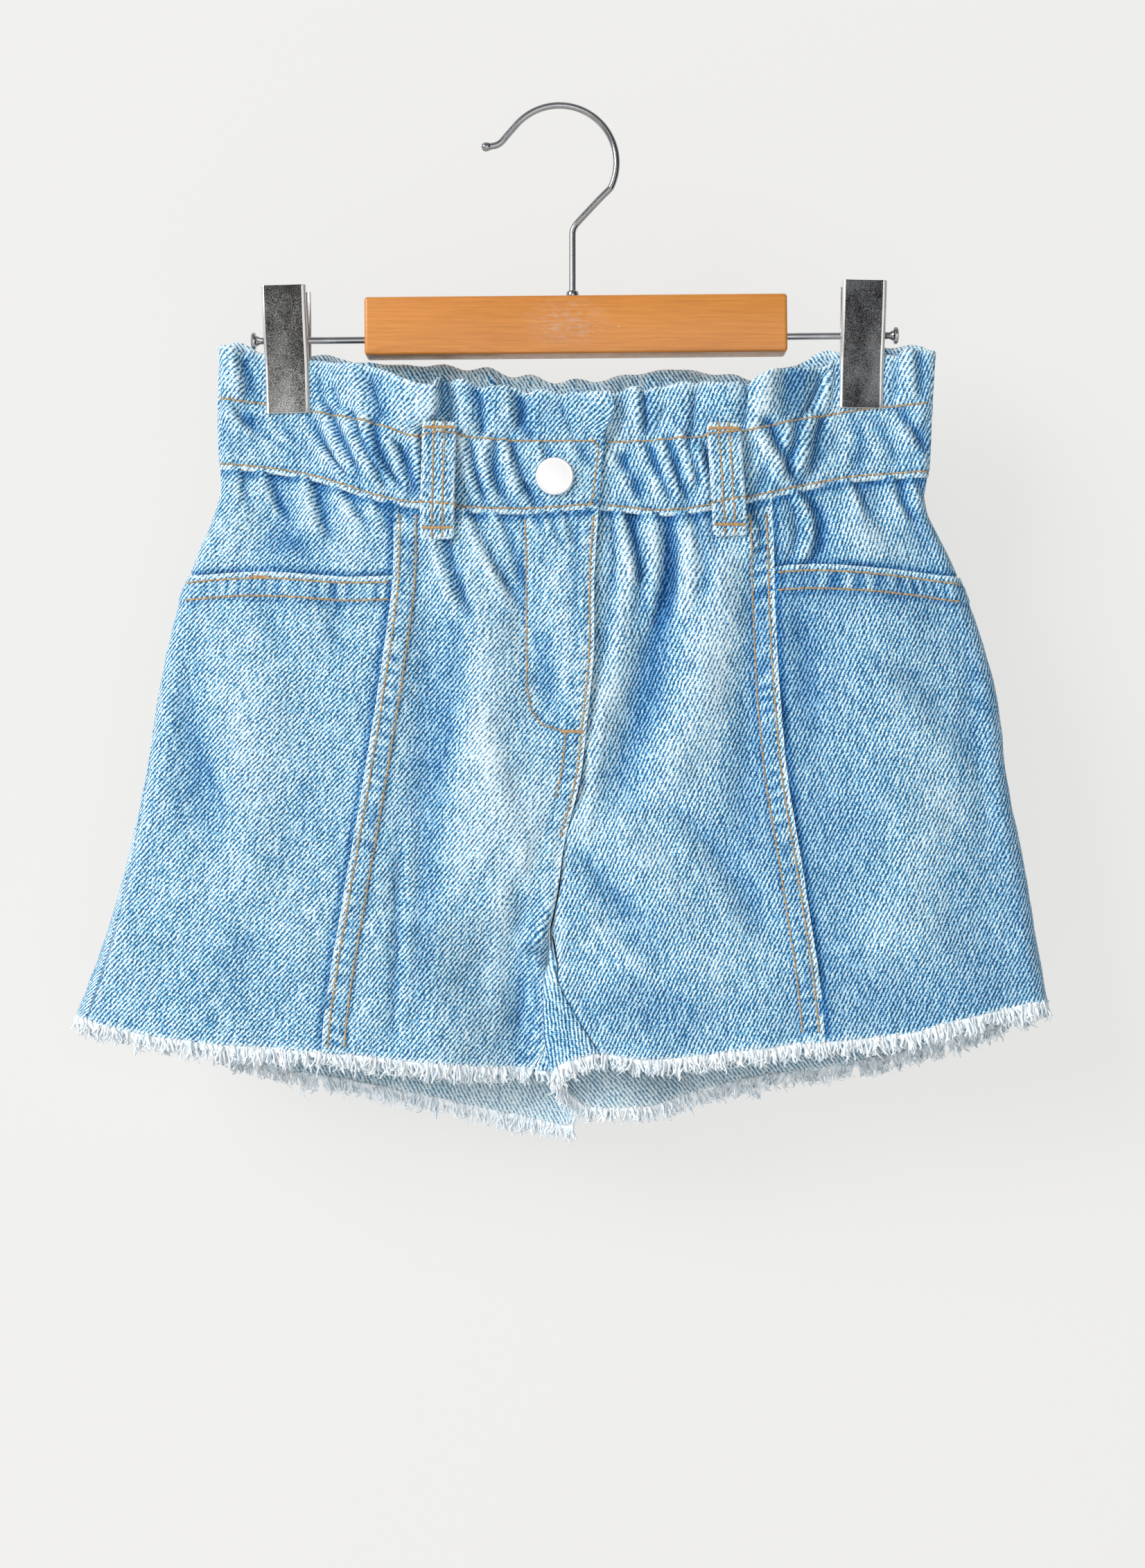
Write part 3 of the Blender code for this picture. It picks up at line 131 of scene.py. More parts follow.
LEG_EDGES = table(
    LegEdge, (-475, 8.5, 14, 30, 38), (-452, 8, 7, 25, 34), (-437, 6.5, -3.2, 21, 31),
    (-426, 5.5, -5.9, 15, 26), (-411, 3.5, -7.4, 9, 18), (-401, 0.5, -7, 6, 12),
    (-394, -2.5, -6, 4, 8.5), (-387, -5.5, -3.5, 2.5, 5.5), (-377, -5.5, -3.5, 1, 2),
    (-374, -4.5, -4.5, 0, 0))


class Mark(NamedTuple):
    """A place on an upright seam."""

    z: float
    x: float


CENTRE_FRONT = table(
    Mark, (-374, -4.5), (-356, -0.6), (-333, 2.6), (-304, 9.8), (-281, 12.5), (-248, 15.7),
    (-215, 16), (-184, 17.8), (-152, 20.5), (-120, 23.5))
CENTRE_BACK = table(Mark, (-374, -4.5), (-300, 3), (-170, 7), (-100, 8))
PRINCESS_LEFT = table(
    Mark, (-445, -107.4), (-414, -105.7), (-362, -97.7), (-315, -89.4), (-280, -83.7),
    (-245, -78.4), (-215, -74.9), (-180, -74.3))
PRINCESS_RIGHT = table(
    Mark, (-445, 121.5), (-400, 117.5), (-350, 110.1), (-303, 102.6), (-262, 98.9), (-217, 96.9),
    (-180, 95.8))
SIDE_SEAM_LEFT = table(Mark, (-470, 13), (-400, 10.5), (-300, 4.3), (-230, 0))
SIDE_SEAM_RIGHT = table(Mark, (-470, 0), (-230, 0))


class Rim(NamedTuple):
    """Height of a level edge on the front and on the back, at a place x."""

    x: float
    front: float
    back: float


WAIST = table(
    Rim, (-156, -164.6, -164.6), (-133, -166.5, -166.5), (-111, -170.5, -168), (-79, -181, -171),
    (-45, -185.3, -173.5), (-14, -186.2, -175), (18, -184.3, -175.5), (47, -187, -174.5),
    (84, -181.2, -172), (108, -176, -171), (131, -171.2, -169.5), (168, -168.2, -168.2))
RUFFLE = table(
    Rim, (-156, -108.2, -107), (-137, -111.8, -109.8), (-112, -115.2, -111.3),
    (-80, -121.5, -113.5), (-62, -129, -115.4), (-54, -125.2, -116.2), (-33, -128.4, -117.8),
    (-14, -129.8, -119.6), (20, -131.5, -120.4), (50, -127.6, -118.6), (83, -125.8, -119),
    (110, -118.9, -113.3), (137, -113.8, -110), (170, -110, -109))
POCKET = table(
    Rim, (-170, -213.5, -213.5), (-137, -211.6, -211.6), (-92, -214, -214), (-70, -213.5, -213.5),
    (90, -210, -210), (112, -208.5, -208.5), (150, -210.5, -210.5), (182, -214.4, -214.4))
HEM_LEFT = table(
    Rim, (-220, -411.5, -413), (-196, -417.6, -419), (-172, -422, -424.5), (-132, -425.6, -436.9),
    (-96, -428.3, -443.8), (-62, -431.9, -450.5), (-21, -436, -459), (9, -438, -464.8))
HEM_RIGHT = table(
    Rim, (-6, -437, -451.5), (17, -428, -453.8), (38, -430.4, -454), (59, -429.4, -449.3),
    (89, -425.7, -442.5), (121, -422.4, -437.4), (156, -419, -431), (188, -410.8, -421),
    (222, -404.5, -407.5))


class Lap(NamedTuple):
    """How the left front lies over the right one at a height."""

    z: float
    under: float
    left_out: float
    right_in: float


LAPS = table(
    Lap, (-320, 0, 0, 0), (-294, 0, 1, 1), (-266, 5, 1, 1), (-205, 12, 1, 1),
    (-190, 12, 1.45, 1.45), (-120, 12, 1.45, 1.45))


class Fold(NamedTuple):
    """A soft ridge, or a trough where the height is negative, from its top to its low end."""

    top_x: float
    top_z: float
    mid_x: float
    low_x: float
    low_z: float
    width: float
    height: float


FRONT_FOLDS = table(
    Fold, (-171, -243, -163, -150, -352, 11, -3), (-150, -225, -138, -126, -385, 21, 2.2),
    (-132, -216, -127, -121, -256, 7, -1.8), (-61, -200, -61, -72, -425, 10, -3),
    (-49, -196, -32, -34, -372, 14, 3.5), (-26, -200, -13, -2, -290, 8, -2.2),
    (-12, -346, -14, -21, -428, 7, -2.2), (48, -196, 39, 25, -320, 9, -4),
    (70, -194, 64, 47, -318, 13, 3.5), (86, -205, 86, 80, -330, 8, -2.6),
    (46, -312, 76, 90, -378, 8, -3), (28, -324, 52, 74, -410, 15, 2.6),
    (190, -228, 191, 198, -350, 7, -2), (146, -225, 155, 163, -395, 28, 2),
    (-127, -172, -127, -126, -209, 9, -2.2), (-146, -170, -147, -147, -211, 9, 1.8),
    (113, -178, 115, 118, -207, 8, -2.2), (137, -172, 139, 142, -208, 12, 2.2))
BACK_FOLDS = table(
    Fold, (-120, -180, -124, -140, -400, 15, -3), (-85, -178, -80, -92, -380, 15, 3),
    (-42, -180, -48, -58, -440, 14, -3.2), (-14, -185, -20, -24, -350, 12, 2.6),
    (32, -180, 30, 22, -340, 12, -3), (60, -178, 64, 60, -420, 15, 3.2),
    (98, -180, 102, 112, -410, 13, -3.2), (140, -178, 146, 156, -380, 16, 2.6),
    (173, -215, 178, 186, -380, 9, -2.2))
FINE_FRONT_FOLDS = table(
    Fold, (-103, -218, -100, -97, -253, 7, -1.2), (-2, -200, 4, 5, -285, 6, 1),
    (31, -197, 26, 20, -291, 7, 1.8), (108, -225, 111, 116, -291, 6, -1.3),
    (-97, -184, -95, -94, -212, 7, 1.2), (162, -171, 166, 171, -207, 6, -1.8),
    (-38, -188, -30, -22, -232, 3.6, 1.3), (-30, -188, -23, -16, -222, 3.2, -1.2),
    (40, -189, 42, 37, -226, 3.6, 1.5), (56, -189, 58, 52, -238, 4.5, 1.1),
    (-5, -330, -3, -9, -385, 5, 1.2), (6, -332, 20, 40, -372, 5, -1.4),
    (2, -352, 22, 52, -400, 5, 1.3), (-18, -322, -27, -46, -366, 6, -1.2),
    (-10, -300, -14, -26, -350, 7, 1.3), (150, -250, 170, 192, -300, 9, -0.9),
    (-112, -300, -130, -150, -400, 12, -0.9), (176, -300, 160, 140, -390, 13, 0.9),
    (-72, -330, -73, -75, -428, 2.6, -1.3), (-66, -318, -68, -69, -428, 3.4, 1),
    (-38, -272, -24, -10, -362, 6.5, 1.5), (-18, -352, -16, -19, -430, 3.2, -1.6),
    (-28, -340, -27, -30, -425, 5, 1.1), (-46, -215, -44, -50, -300, 7, -1.3),
    (20, -262, 15, 10, -345, 3.5, 1.4), (24, -205, 22, 18, -262, 3, -1.5))
FINE_BACK_FOLDS = table(
    Fold, (-60, -176, -56, -52, -230, 4.5, 1.3), (-100, -176, -98, -104, -240, 5, -1.3),
    (20, -178, 16, 14, -240, 4.5, 1.3), (44, -178, 44, 40, -250, 4.5, -1.4),
    (84, -176, 88, 94, -236, 5, 1.2), (122, -174, 126, 134, -240, 6, -1.2),
    (-12, -320, -30, -60, -372, 8, -1.5), (8, -322, 30, 62, -376, 8, -1.5),
    (-8, -345, -40, -84, -404, 8, 1.3), (6, -348, 40, 88, -404, 8, 1.3))


class Wash(NamedTuple):
    """A painted patch, paler, or darker where the tone is below 0: light and shade of broad forms,
    partly uneven washing.
    """

    x: float
    z: float
    wide: float
    tall: float
    tone: float
    lean: float = 0         # sideways shift for each millimetre of height


SHADE_AND_WASH = table(
    Wash, (-161, -295, 5, 32, -0.2, -0.5), (-120, -199, 15, 6, -0.34),
    (-53, -300, 6, 85, -0.28, 0.1), (-70, -262, 4, 48, 0.25, 0.06), (-16, -244, 5, 50, 0.3, -0.2),
    (47, -250, 7, 50, -0.34, 0.2), (72, -262, 6, 58, 0.25, 0.1), (87, -322, 8, 17, -0.36),
    (52, -372, 19, 18, -0.42, -0.3), (40, -408, 34, 13, -0.32), (68, -343, 8, 22, 0.2, -0.67),
    (-24, -300, 11, 45, -0.2), (176, -262, 18, 40, 0.15, -0.1), (-5, -376, 6, 27, 0.3),
    (152, -357, 10, 11, -0.26), (193, -315, 6, 40, 0.2, -0.05), (168, -395, 25, 14, 0.14),
    (139, -197, 10, 8, 0.36), (166, -192, 8, 8, -0.26), (-5, -256, 6, 17, -0.5, -0.1),
    (5, -212, 5, 14, -0.25))
BACK_PATCH_SHARE = 0.3         # share of the front's painted patches that the back has
BACK_FOLD_LIGHT_SHARE = 0.32        # share of the front's painted fold light and shade that the back has
# Where gathers of the waistband run out below its seam on the front.
GATHER_ENDS = table(
    Fold, (-145.6, -170, -145, -143, -182, 1.8, 1.4), (-133, -172, -130.5, -126, -188, 2.2, 1.8),
    (-123, -184, -119, -113, -206, 5, -1.2), (-114, -172, -111, -107, -198, 2.4, 2.3),
    (-104, -180, -99, -92, -205, 4.5, -1.5), (-100, -175, -95, -89, -192, 2.4, 1.6),
    (-85, -179, -82, -78, -195, 2.2, 1.4), (-58, -190, -53, -45, -232, 2.8, 2),
    (-50, -194, -45, -39, -230, 2.6, -1.6), (-42, -187, -34, -22, -226, 2.5, 1.9),
    (-29, -187, -23.5, -18.5, -220, 2.2, 1.8), (-13, -188, -10, -6, -202, 1.8, 1.4),
    (-10, -198, -5, 1, -213, 5, -1.2), (-6, -188, -4, -1, -202, 1.6, 1.3),
    (1, -188, 3, 4, -201, 1.6, 1.2), (23.5, -187, 25.3, 26, -224, 1.8, -2.2),
    (27.8, -187, 31, 32.8, -218, 2.1, 2.6), (33.5, -188, 37, 35, -232, 2.8, -2.2),
    (42, -188, 44, 38, -240, 3.2, 2.3), (50, -188, 50, 43, -232, 2.6, -1.8),
    (56, -188, 60, 56, -230, 3.2, 1.9), (64, -187, 66, 68, -206, 2, 1.4),
    (82, -184, 86, 84, -206, 2.2, 1.6), (104, -181, 107, 103.5, -208, 2.4, -1.9),
    (108, -179, 113, 107, -209, 2.6, 2.3), (131, -173, 133.5, 136, -188, 2.2, 1.6),
    (141, -176, 144, 148, -200, 4, -1.4), (150.5, -169.5, 152, 157, -190, 2.2, 1.8),
    (159, -169, 161, 164, -184, 2, 1.6))


class Gather(NamedTuple):
    """A crease of the waistband: places x from its top to its foot, heights as shares."""

    top_x: float
    mid_x: float
    low_x: float
    top: float
    low: float
    width: float
    height: float


CASING_GATHERS = table(
    Gather, (-149.3, -141, -123, 0.48, 0.18, 3, 2.2), (-147, -140, -131, 0.58, 0.33, 3.6, -1.6),
    (-132.2, -128.5, -117.7, 0.55, 0.22, 2.2, 2.5), (-119, -111, -96, 0.57, 0.08, 2.3, 2.8),
    (-108.5, -101.5, -93.5, 0.63, 0.14, 2.2, 3), (-97.6, -90, -81, 0.63, 0.12, 2.2, 3.2),
    (-86.8, -83.5, -72, 0.63, 0.1, 2, 3), (-77.5, -71, -69, 0.5, 0.08, 2.2, 2.5),
    (-65, -64, -63, 0.62, 0.16, 1.8, 2.8), (-44.4, -41.3, -36.7, 0.58, 0.1, 1.8, 2.4),
    (-32, -33, -27.5, 0.61, 0.07, 2, 2.8), (-25.8, -21.7, -18, 0.58, 0.14, 1.9, 2.4),
    (-20, -17, -13.5, 0.27, 0.04, 2, 1.7), (-10.3, -9, -7.7, 0.6, 0.36, 1.6, 1.7),
    (4.5, 6.5, 8.3, 0.58, 0.38, 1.8, 1.3), (22.5, 28, 34, 0.5, 0.06, 2.2, 2.2),
    (36, 41.5, 48.5, 0.57, 0.06, 2, 2.6), (44.5, 49, 53.8, 0.6, 0.08, 1.9, 2.8),
    (53.7, 57, 60, 0.63, 0.18, 1.8, 2.4), (60, 64, 67, 0.57, 0.1, 1.9, 2.6),
    (87.3, 94.8, 103, 0.65, 0.05, 2.3, 3.3), (102.3, 101, 99.5, 0.6, 0.22, 2.2, 2),
    (114, 110, 106.5, 0.6, 0.12, 2.6, 2.2), (125, 131, 128, 0.62, 0.06, 2.4, 3),
    (135.5, 142.5, 147, 0.56, 0.13, 2.2, 2.2), (147, 155, 163, 0.6, 0.18, 2.4, 2.4))
RUFFLE_GATHERS = table(
    Gather, (-149, -147, -144, 1.05, 0.6, 3, 1.8), (-143.5, -139.5, -135, 0.94, 0.6, 3.5, -2.2),
    (-110, -107.5, -105, 0.88, 0.58, 2.4, -2), (-102, -100, -97.5, 0.82, 0.58, 2, -1.8),
    (-93, -91, -88, 0.95, 0.62, 5, 1.4), (-86, -82, -77.5, 0.9, 0.6, 2.8, -2),
    (-50, -49, -48.5, 1.02, 0.6, 3, -2.4), (-43, -42, -40, 1, 0.6, 3.2, 1.6),
    (-35, -34, -33.5, 0.98, 0.6, 2.4, -1.9), (-24, -22, -17.5, 0.96, 0.6, 2.8, 1.8),
    (-14, -17, -21, 1, 0.6, 3.4, -2.6), (1, 4.5, 7.5, 0.92, 0.58, 2.2, -1.8),
    (34, 34.5, 35, 1, 0.64, 2.6, 1.8), (38, 38.5, 39, 1, 0.64, 1.8, -2.4),
    (47, 45, 43, 0.84, 0.58, 2.2, -1.8), (61, 60.5, 60, 0.94, 0.58, 2.4, -1.9),
    (84.5, 84, 83.5, 1.02, 0.6, 2.6, -3), (96, 94, 91, 1.05, 0.62, 6, 1.8),
    (119.5, 116, 109, 0.96, 0.58, 2.6, -2.6), (122.5, 121.5, 121, 1, 0.6, 2.4, 1.8),
    (153, 152, 150.5, 1, 0.6, 2.2, -2.2), (158, 159, 160, 1.04, 0.58, 2.6, 1.8))


# --- curves and noise

def curve(rows: Sequence[NamedTuple], value: str, at: Array, key: str = "z") -> Array:
    """Read a table's column on a smooth curve through its rows.

    Args:
        rows: The table, sorted by its key column.
        value: Name of the column to read.
        at: Where to read it.
        key: Name of the key column.

    Returns:
        The values.
    """
    keys, values = (np.array([getattr(row, name) for row in rows]) for name in (key, value))
    at = np.clip(np.asarray(at, dtype=float), keys[0], keys[-1])
    steps = np.diff(values) / np.diff(keys)
    slopes = np.concatenate(([steps[0]], (steps[:-1] + steps[1:]) / 2, [steps[-1]]))
    turning = np.concatenate(([False], steps[:-1] * steps[1:] <= 0, [False]))
    slopes[turning] = 0
    index = np.clip(np.searchsorted(keys, at, side="right") - 1, 0, len(keys) - 2)
    span = keys[index + 1] - keys[index]
    t = (at - keys[index]) / span
    start = values[index] * (1 + 2 * t) * (1 - t) ** 2
    end = values[index + 1] * t ** 2 * (3 - 2 * t)
    bend = span * (slopes[index] * t * (1 - t) ** 2 - slopes[index + 1] * t ** 2 * (1 - t))
    return start + end + bend


def rise(value: Array, low: float, high: float) -> Array:
    """Go smoothly from 0 at low to 1 at high; low may be the larger one."""
    t = np.clip((np.asarray(value, dtype=float) - low) / (high - low), 0, 1)
    return t * t * (3 - 2 * t)


def bump(value: Array, width: float) -> Array:
    """A round hill of height 1 over zero."""
    return np.exp(-(np.asarray(value) / width) ** 2)


def mix(a: Array, b: Array, share: Array) -> Array:
    """Linear mix."""
    return a + (b - a) * share


def pick(side: Array, left: Array, right: Array) -> Array:
    """Take the left or the right value for each point."""
    return np.where(np.asarray(side) > 0, right, left)


def unit(vectors: Array) -> Array:
    """Scale vectors to length 1."""
    return vectors / np.maximum(np.linalg.norm(vectors, axis=-1, keepdims=True), 1e-9)


@dataclass(frozen=True)
class Ripple:
    """Smooth uneven waves made from a few plane waves."""

    wavelength: float
    seed: int
    waves: int = 7

    def at(self, u: Array, v: Array) -> Array:
        """Height between about -1 and 1 at places u, v in millimetres.

        Args:
            u: Place one way.
            v: Place the other way.

        Returns:
            The height.
        """
        rng = np.random.RandomState(self.seed)
        total = np.zeros(np.broadcast(u, v).shape)
        for _wave in range(self.waves):
            turn = rng.uniform(0, 2 * math.pi)
            rate = 2 * math.pi / (self.wavelength * rng.uniform(0.7, 1.6))
            phase = rng.uniform(0, 2 * math.pi)
            total += np.sin(rate * (u * math.cos(turn) + v * math.sin(turn)) + phase)
        return total / math.sqrt(self.waves)


# --- the tube

def wound(inset: Array, radius: Array) -> Array:
    """Length of cloth round a fold to an inset from the fold's edge."""
    bent = radius * np.arccos(np.clip(1 - inset / radius, -1, 1))
    return np.where(inset < radius, bent, inset - radius + radius * QUARTER)


def unwound(run: Array, radius: Array) -> Array:
    """Inset from a fold's edge at a length of cloth round the fold."""
    bent = radius * (1 - np.cos(np.clip(run / radius, 0, QUARTER)))
    return np.where(run < radius * QUARTER, bent, radius + run - radius * QUARTER)


def way_down(fold: Fold, z: Array) -> Array:
    """Share of the way from a fold's top to its foot."""
    return (fold.top_z - z) / (fold.top_z - fold.low_z)


def bowed(row: NamedTuple, t: Array) -> Array:
    """Place on the bowed line of a fold or a gather, a share of the way to its foot."""
    return (row.top_x * (1 - t) * (1 - 2 * t) + 4 * row.mid_x * t * (1 - t)
            + row.low_x * t * (2 * t - 1))


def relief(layer: Array, front: Sequence[Fold], back: Sequence[Fold], x: Array,
           z: Array) -> Array:
    """Height of the soft folds of the front and of the back.

    Args:
        layer: Front or back.
        front: The front's folds.
        back: The back's folds.
        x: Place across, in millimetres.
        z: Height, in millimetres.

    Returns:
        The height, in millimetres.
    """
    totals = []
    for folds in (front, back):
        total = np.zeros_like(x)
        for fold in folds:
            t = way_down(fold, z)
            fade = rise(t, -0.12, 0.22) * (1 - rise(t, 0.72, 1.1))
            total = total + fold.height * fade * bump(x - bowed(fold, t), fold.width)
        totals.append(total)
    return np.where(layer > 0, totals[1], totals[0])


@dataclass(frozen=True)
class Tube:
    """The flattened cloth tube of the hips and the legs, without its gathers."""

    gap: float = 0.3
    denim: float = 1.2
    full_depth_run: float = 60
    crotch_x: float = -4.5
    crotch_z: float = -374
    crotch_rise: float = 30
    inner_fold: float = 5.5
    leg_shift: float = 6.5
    leg_shift_drop: float = 11
    leg_start: tuple = (24, -18)
    leg_blend: tuple = (17, 62)
    underlap_room: float = 1.4
    crotch_margin: float = 5
    calm_outer: tuple = (2, 16)
    calm_inner: tuple = (6, 26)
    waist_calm: tuple = (-184, -168)
    lap_run: tuple = (15, 34)
    clip_centres: tuple = (-123.8, 137.4)
    pinch_depth: float = 1.6
    pinch_x: tuple = (11.5, 45)
    pinch_z: tuple = (-139.5, -200)
    flat_x: tuple = (11.5, 19)
    edge_rounds: int = 8
    waist_about: float = -180
    hem_about: float = -430
    band_ends: tuple = (-150, 165)
    band_about: float = -150

    def outer_x(self, side: Array, z: Array) -> Array:
        """x of the outer fold."""
        return pick(side, curve(OUTLINE, "left", z), curve(OUTLINE, "right", z))

    def centre_x(self, layer: Array, z: Array) -> Array:
        """x of the centre front or centre back line."""
        return np.where(np.asarray(layer) > 0, curve(CENTRE_BACK, "x", z),
                        curve(CENTRE_FRONT, "x", z))

    def inner_reach(self, z: Array) -> Array:
        """How far the flat layer runs past the centre line."""
        above = np.clip((np.asarray(z) - self.crotch_z) / self.crotch_rise, 0, 1)
        return self.inner_fold * above + self.underlap_room * curve(LAPS, "under", z)

    def inner_x(self, side: Array, layer: Array, z: Array) -> Array:
        """x of the inner fold; above the crotch a construction line past the centre.

        Args:
            side: -1 for the left, 1 for the right.
            layer: Front or back.
            z: Height, in millimetres.

        Returns:
            The place, in millimetres.
        """
        leg = pick(side, curve(LEG_EDGES, "left", z), curve(LEG_EDGES, "right", z))
        trunk = self.centre_x(layer, z) - side * self.inner_reach(z)
        return np.where(np.asarray(z) < self.crotch_z, leg, trunk)

    def half_girth(self, side: Array, layer: Array, z: Array) -> tuple[Array, Array]:
        """Length of cloth from the outer to the inner fold, and the outer fold's radius.

        Args:
            side: -1 for the left, 1 for the right.
            layer: Front or back.
            z: Height, in millimetres.

        Returns:
            The length and the radius, in millimetres.
        """
        fold = curve(OUTLINE, "fold", z)
        width = side * (self.outer_x(side, z) - self.inner_x(side, layer, z))
        rounds = (QUARTER - 1) * (fold + self.inner_fold)
        return width + rounds, fold

    def run_at(self, side: Array, z: Array, x: Array) -> Array:
        """Length of cloth from the outer fold to a place x on the flat part of a layer."""
        return wound(side * (self.outer_x(side, z) - x), curve(OUTLINE, "fold", z))

    def run_to_centre(self, side: Array, layer: Array, z: Array) -> Array:
        """Length of cloth from the outer fold to the centre seam."""
        girth, _fold = self.half_girth(side, layer, z)
        return girth - wound(self.inner_reach(z), self.inner_fold)

    def ring(self, side: Array, z: Array, path: Array) -> tuple:
        """Where a path lies.

        Args:
            side: -1 for the left, 1 for the right.
            z: Height, in millimetres.
            path: Length of cloth from the outer fold, below 0 on the front.

        Returns:
            x, layer, how far round a fold (1 on the flat), and both fold insets.
        """
        layer = np.where(path < 0.0, FRONT, BACK)
        girth, fold = self.half_girth(side, layer, z)
        over = path > girth
        layer = np.where(over, FRONT, layer)
        run = np.where(over, 2 * girth - path, np.abs(path))
        left = girth - run
        outer, inner = self.outer_x(side, z), self.inner_x(side, layer, z)
        x = np.where(left < self.inner_fold * QUARTER,
                     inner + side * unwound(left, self.inner_fold),
                     outer - side * unwound(run, fold))
        spread = np.sin(np.minimum(run / fold, QUARTER))
        spread = spread * np.sin(np.clip(left / self.inner_fold, 0, QUARTER))
        return x, layer, spread, side * (outer - x), side * (x - inner)

    def clip_nearness(self, x: Array, z: Array, reach: tuple) -> Array:
        """1 at a clip's jaw, 0 away from both clips.

        Args:
            x: Place across, in millimetres.
            z: Height, in millimetres.
            reach: Distances from a jaw's middle where it fades and where it ends.

        Returns:
            The nearness.
        """
        near = np.zeros_like(np.asarray(x, dtype=float))
        for centre in self.clip_centres:
            near = np.maximum(near, 1 - rise(np.abs(x - centre), *reach))
        return near * (1 - rise(z, *self.pinch_z))

    def calm(self, z: Array, from_outer: Array, from_inner: Array) -> Array:
        """0 at the folds and in the waistband, 1 where the cloth may crease.

        Args:
            z: Height, in millimetres.
            from_outer: Distance from the outer fold.
            from_inner: Distance from the inner fold.

        Returns:
            The share.
        """
        calm = rise(from_outer, *self.calm_outer)
        inner = np.where(z < self.crotch_z + self.crotch_rise,
                         rise(from_inner, *self.calm_inner), 1)
        return calm * inner * (1 - rise(z, *self.waist_calm))

    def point(self, side: Array, z: Array, path: Array) -> Array:
        """Middle of the cloth wall, with its main folds.

        Args:
            side: -1 for the left, 1 for the right.
            z: Height, in millimetres.
            path: Length of cloth from the outer fold, below 0 on the front.

        Returns:
            Points in millimetres.
        """
        side, z, path = np.broadcast_arrays(np.asarray(side, dtype=float), z, path)
        x, layer, spread, from_outer, from_inner = self.ring(side, z, path)
        fold = curve(OUTLINE, "fold", z)
        full = np.where(layer > 0, curve(OUTLINE, "back", z), curve(OUTLINE, "front", z))
        depth = mix(fold, full, rise(from_outer, fold, self.full_depth_run))
        depth = mix(depth, self.pinch_depth, self.clip_nearness(x, z, self.pinch_x))
        parted = rise(z, self.crotch_z, self.crotch_z - self.leg_shift_drop)
        leg = rise(z, *(self.crotch_z + drop for drop in self.leg_start))
        leg = leg * mix(rise(from_inner, 2, 16), 1, parted)
        leg = leg * (1 - rise(from_inner, *self.leg_blend))
        depth = mix(depth, self.inner_fold, leg)
        folds = relief(layer, FRONT_FOLDS, BACK_FOLDS, x, z)
        from_edge = side * (x - self.centre_x(layer, z))
        lap = (1 - rise(from_edge, *self.lap_run)) * (layer < 0)
        step = pick(side, curve(LAPS, "left_out", z), -curve(LAPS, "right_in", z))
        folds = folds * self.calm(z, from_outer, from_inner)
        y = -side * self.leg_shift * leg + layer * spread * (depth + folds + lap * step)
        return np.stack([x, y, z], axis=-1)

    def normal(self, side: Array, z: Array, path: Array, reach: float = 0.8) -> Array:
        """Direction out of the cloth.

        Args:
            side: -1 for the left, 1 for the right.
            z: Height, in millimetres.
            path: Length of cloth from the outer fold, below 0 on the front.
            reach: Half the span it is measured over.

        Returns:
            Vectors of length 1.
        """
        along = self.point(side, z, path + reach) - self.point(side, z, path - reach)
        down = self.point(side, z - reach, path) - self.point(side, z + reach, path)
        return unit(np.cross(along, down) * -np.asarray(side)[..., None])

    def keep_apart(self, points: Array, side: float, layer: Array) -> Array:
        """Keep a panel's wall on its own side of the rise near the crotch.

        Args:
            points: Points of the wall, which it changes.
            side: -1 for the left, 1 for the right.
            layer: Front or back.

        Returns:
            The points.
        """
        z = points[..., 2]
        zone = z < self.crotch_z + self.crotch_rise + self.crotch_margin
        zone = zone & (z > self.crotch_z - self.leg_shift_drop)
        limit = np.where(z < self.crotch_z, self.crotch_x, self.centre_x(layer, z))
        limit = limit + side * self.gap / 2
        x = points[..., 0]
        kept = np.maximum(x, limit) if side > 0 else np.minimum(x, limit)
        points[..., 0] = np.where(zone, kept, x)
        return points


TUBE = Tube()


def rim_height(rows: Sequence[Rim], x: Array, turn: Array) -> Array:
    """Height of an edge that runs round from the front (turn -1) to the back (turn +1)."""
    return mix(curve(rows, "front", x, "x"), curve(rows, "back", x, "x"), (1 + turn) / 2)


def waist_edge(_side: float, x: Array, turn: Array) -> Array:
    """Height of the seam under the waistband."""
    return rim_height(WAIST, x, turn)


def pocket_edge(_side: float, x: Array, turn: Array) -> Array:
    """Height of a pocket opening's edge."""
    return rim_height(POCKET, x, turn)


def hem_edge(side: float, x: Array, turn: Array) -> Array:
    """Height of a leg's hem."""
    return rim_height(HEM_RIGHT if side > 0 else HEM_LEFT, x, turn)


def side_seam(side: float, z: Array) -> Array:
    """Path of the side seam."""
    return -curve(SIDE_SEAM_RIGHT if side > 0 else SIDE_SEAM_LEFT, "x", z)


def princess_seam(side: float, z: Array) -> Array:
    """Path of the seam between a side panel and a centre panel."""
    x = curve(PRINCESS_RIGHT if side > 0 else PRINCESS_LEFT, "x", z)
    return -TUBE.run_at(side, z, x)


def inner_seam(layer: float, side: float, z: Array) -> Array:
    """Path of an inner edge: the centre seam above the crotch, the inseam below.

    Args:
        layer: Front or back.
        side: -1 for the left, 1 for the right.
        z: Height, in millimetres.

    Returns:
        The path.
    """
    layers = np.full_like(z, layer)
    wrap = curve(LEG_EDGES, "right_wrap" if side > 0 else "left_wrap", z)
    girth, _fold = TUBE.half_girth(side, layers, z)
    centre = TUBE.run_to_centre(side, layers, z)
    if layer < 0 < side:
        centre = centre + curve(LAPS, "under", z)
    return layer * np.where(z < TUBE.crotch_z, girth + layer * wrap, centre)


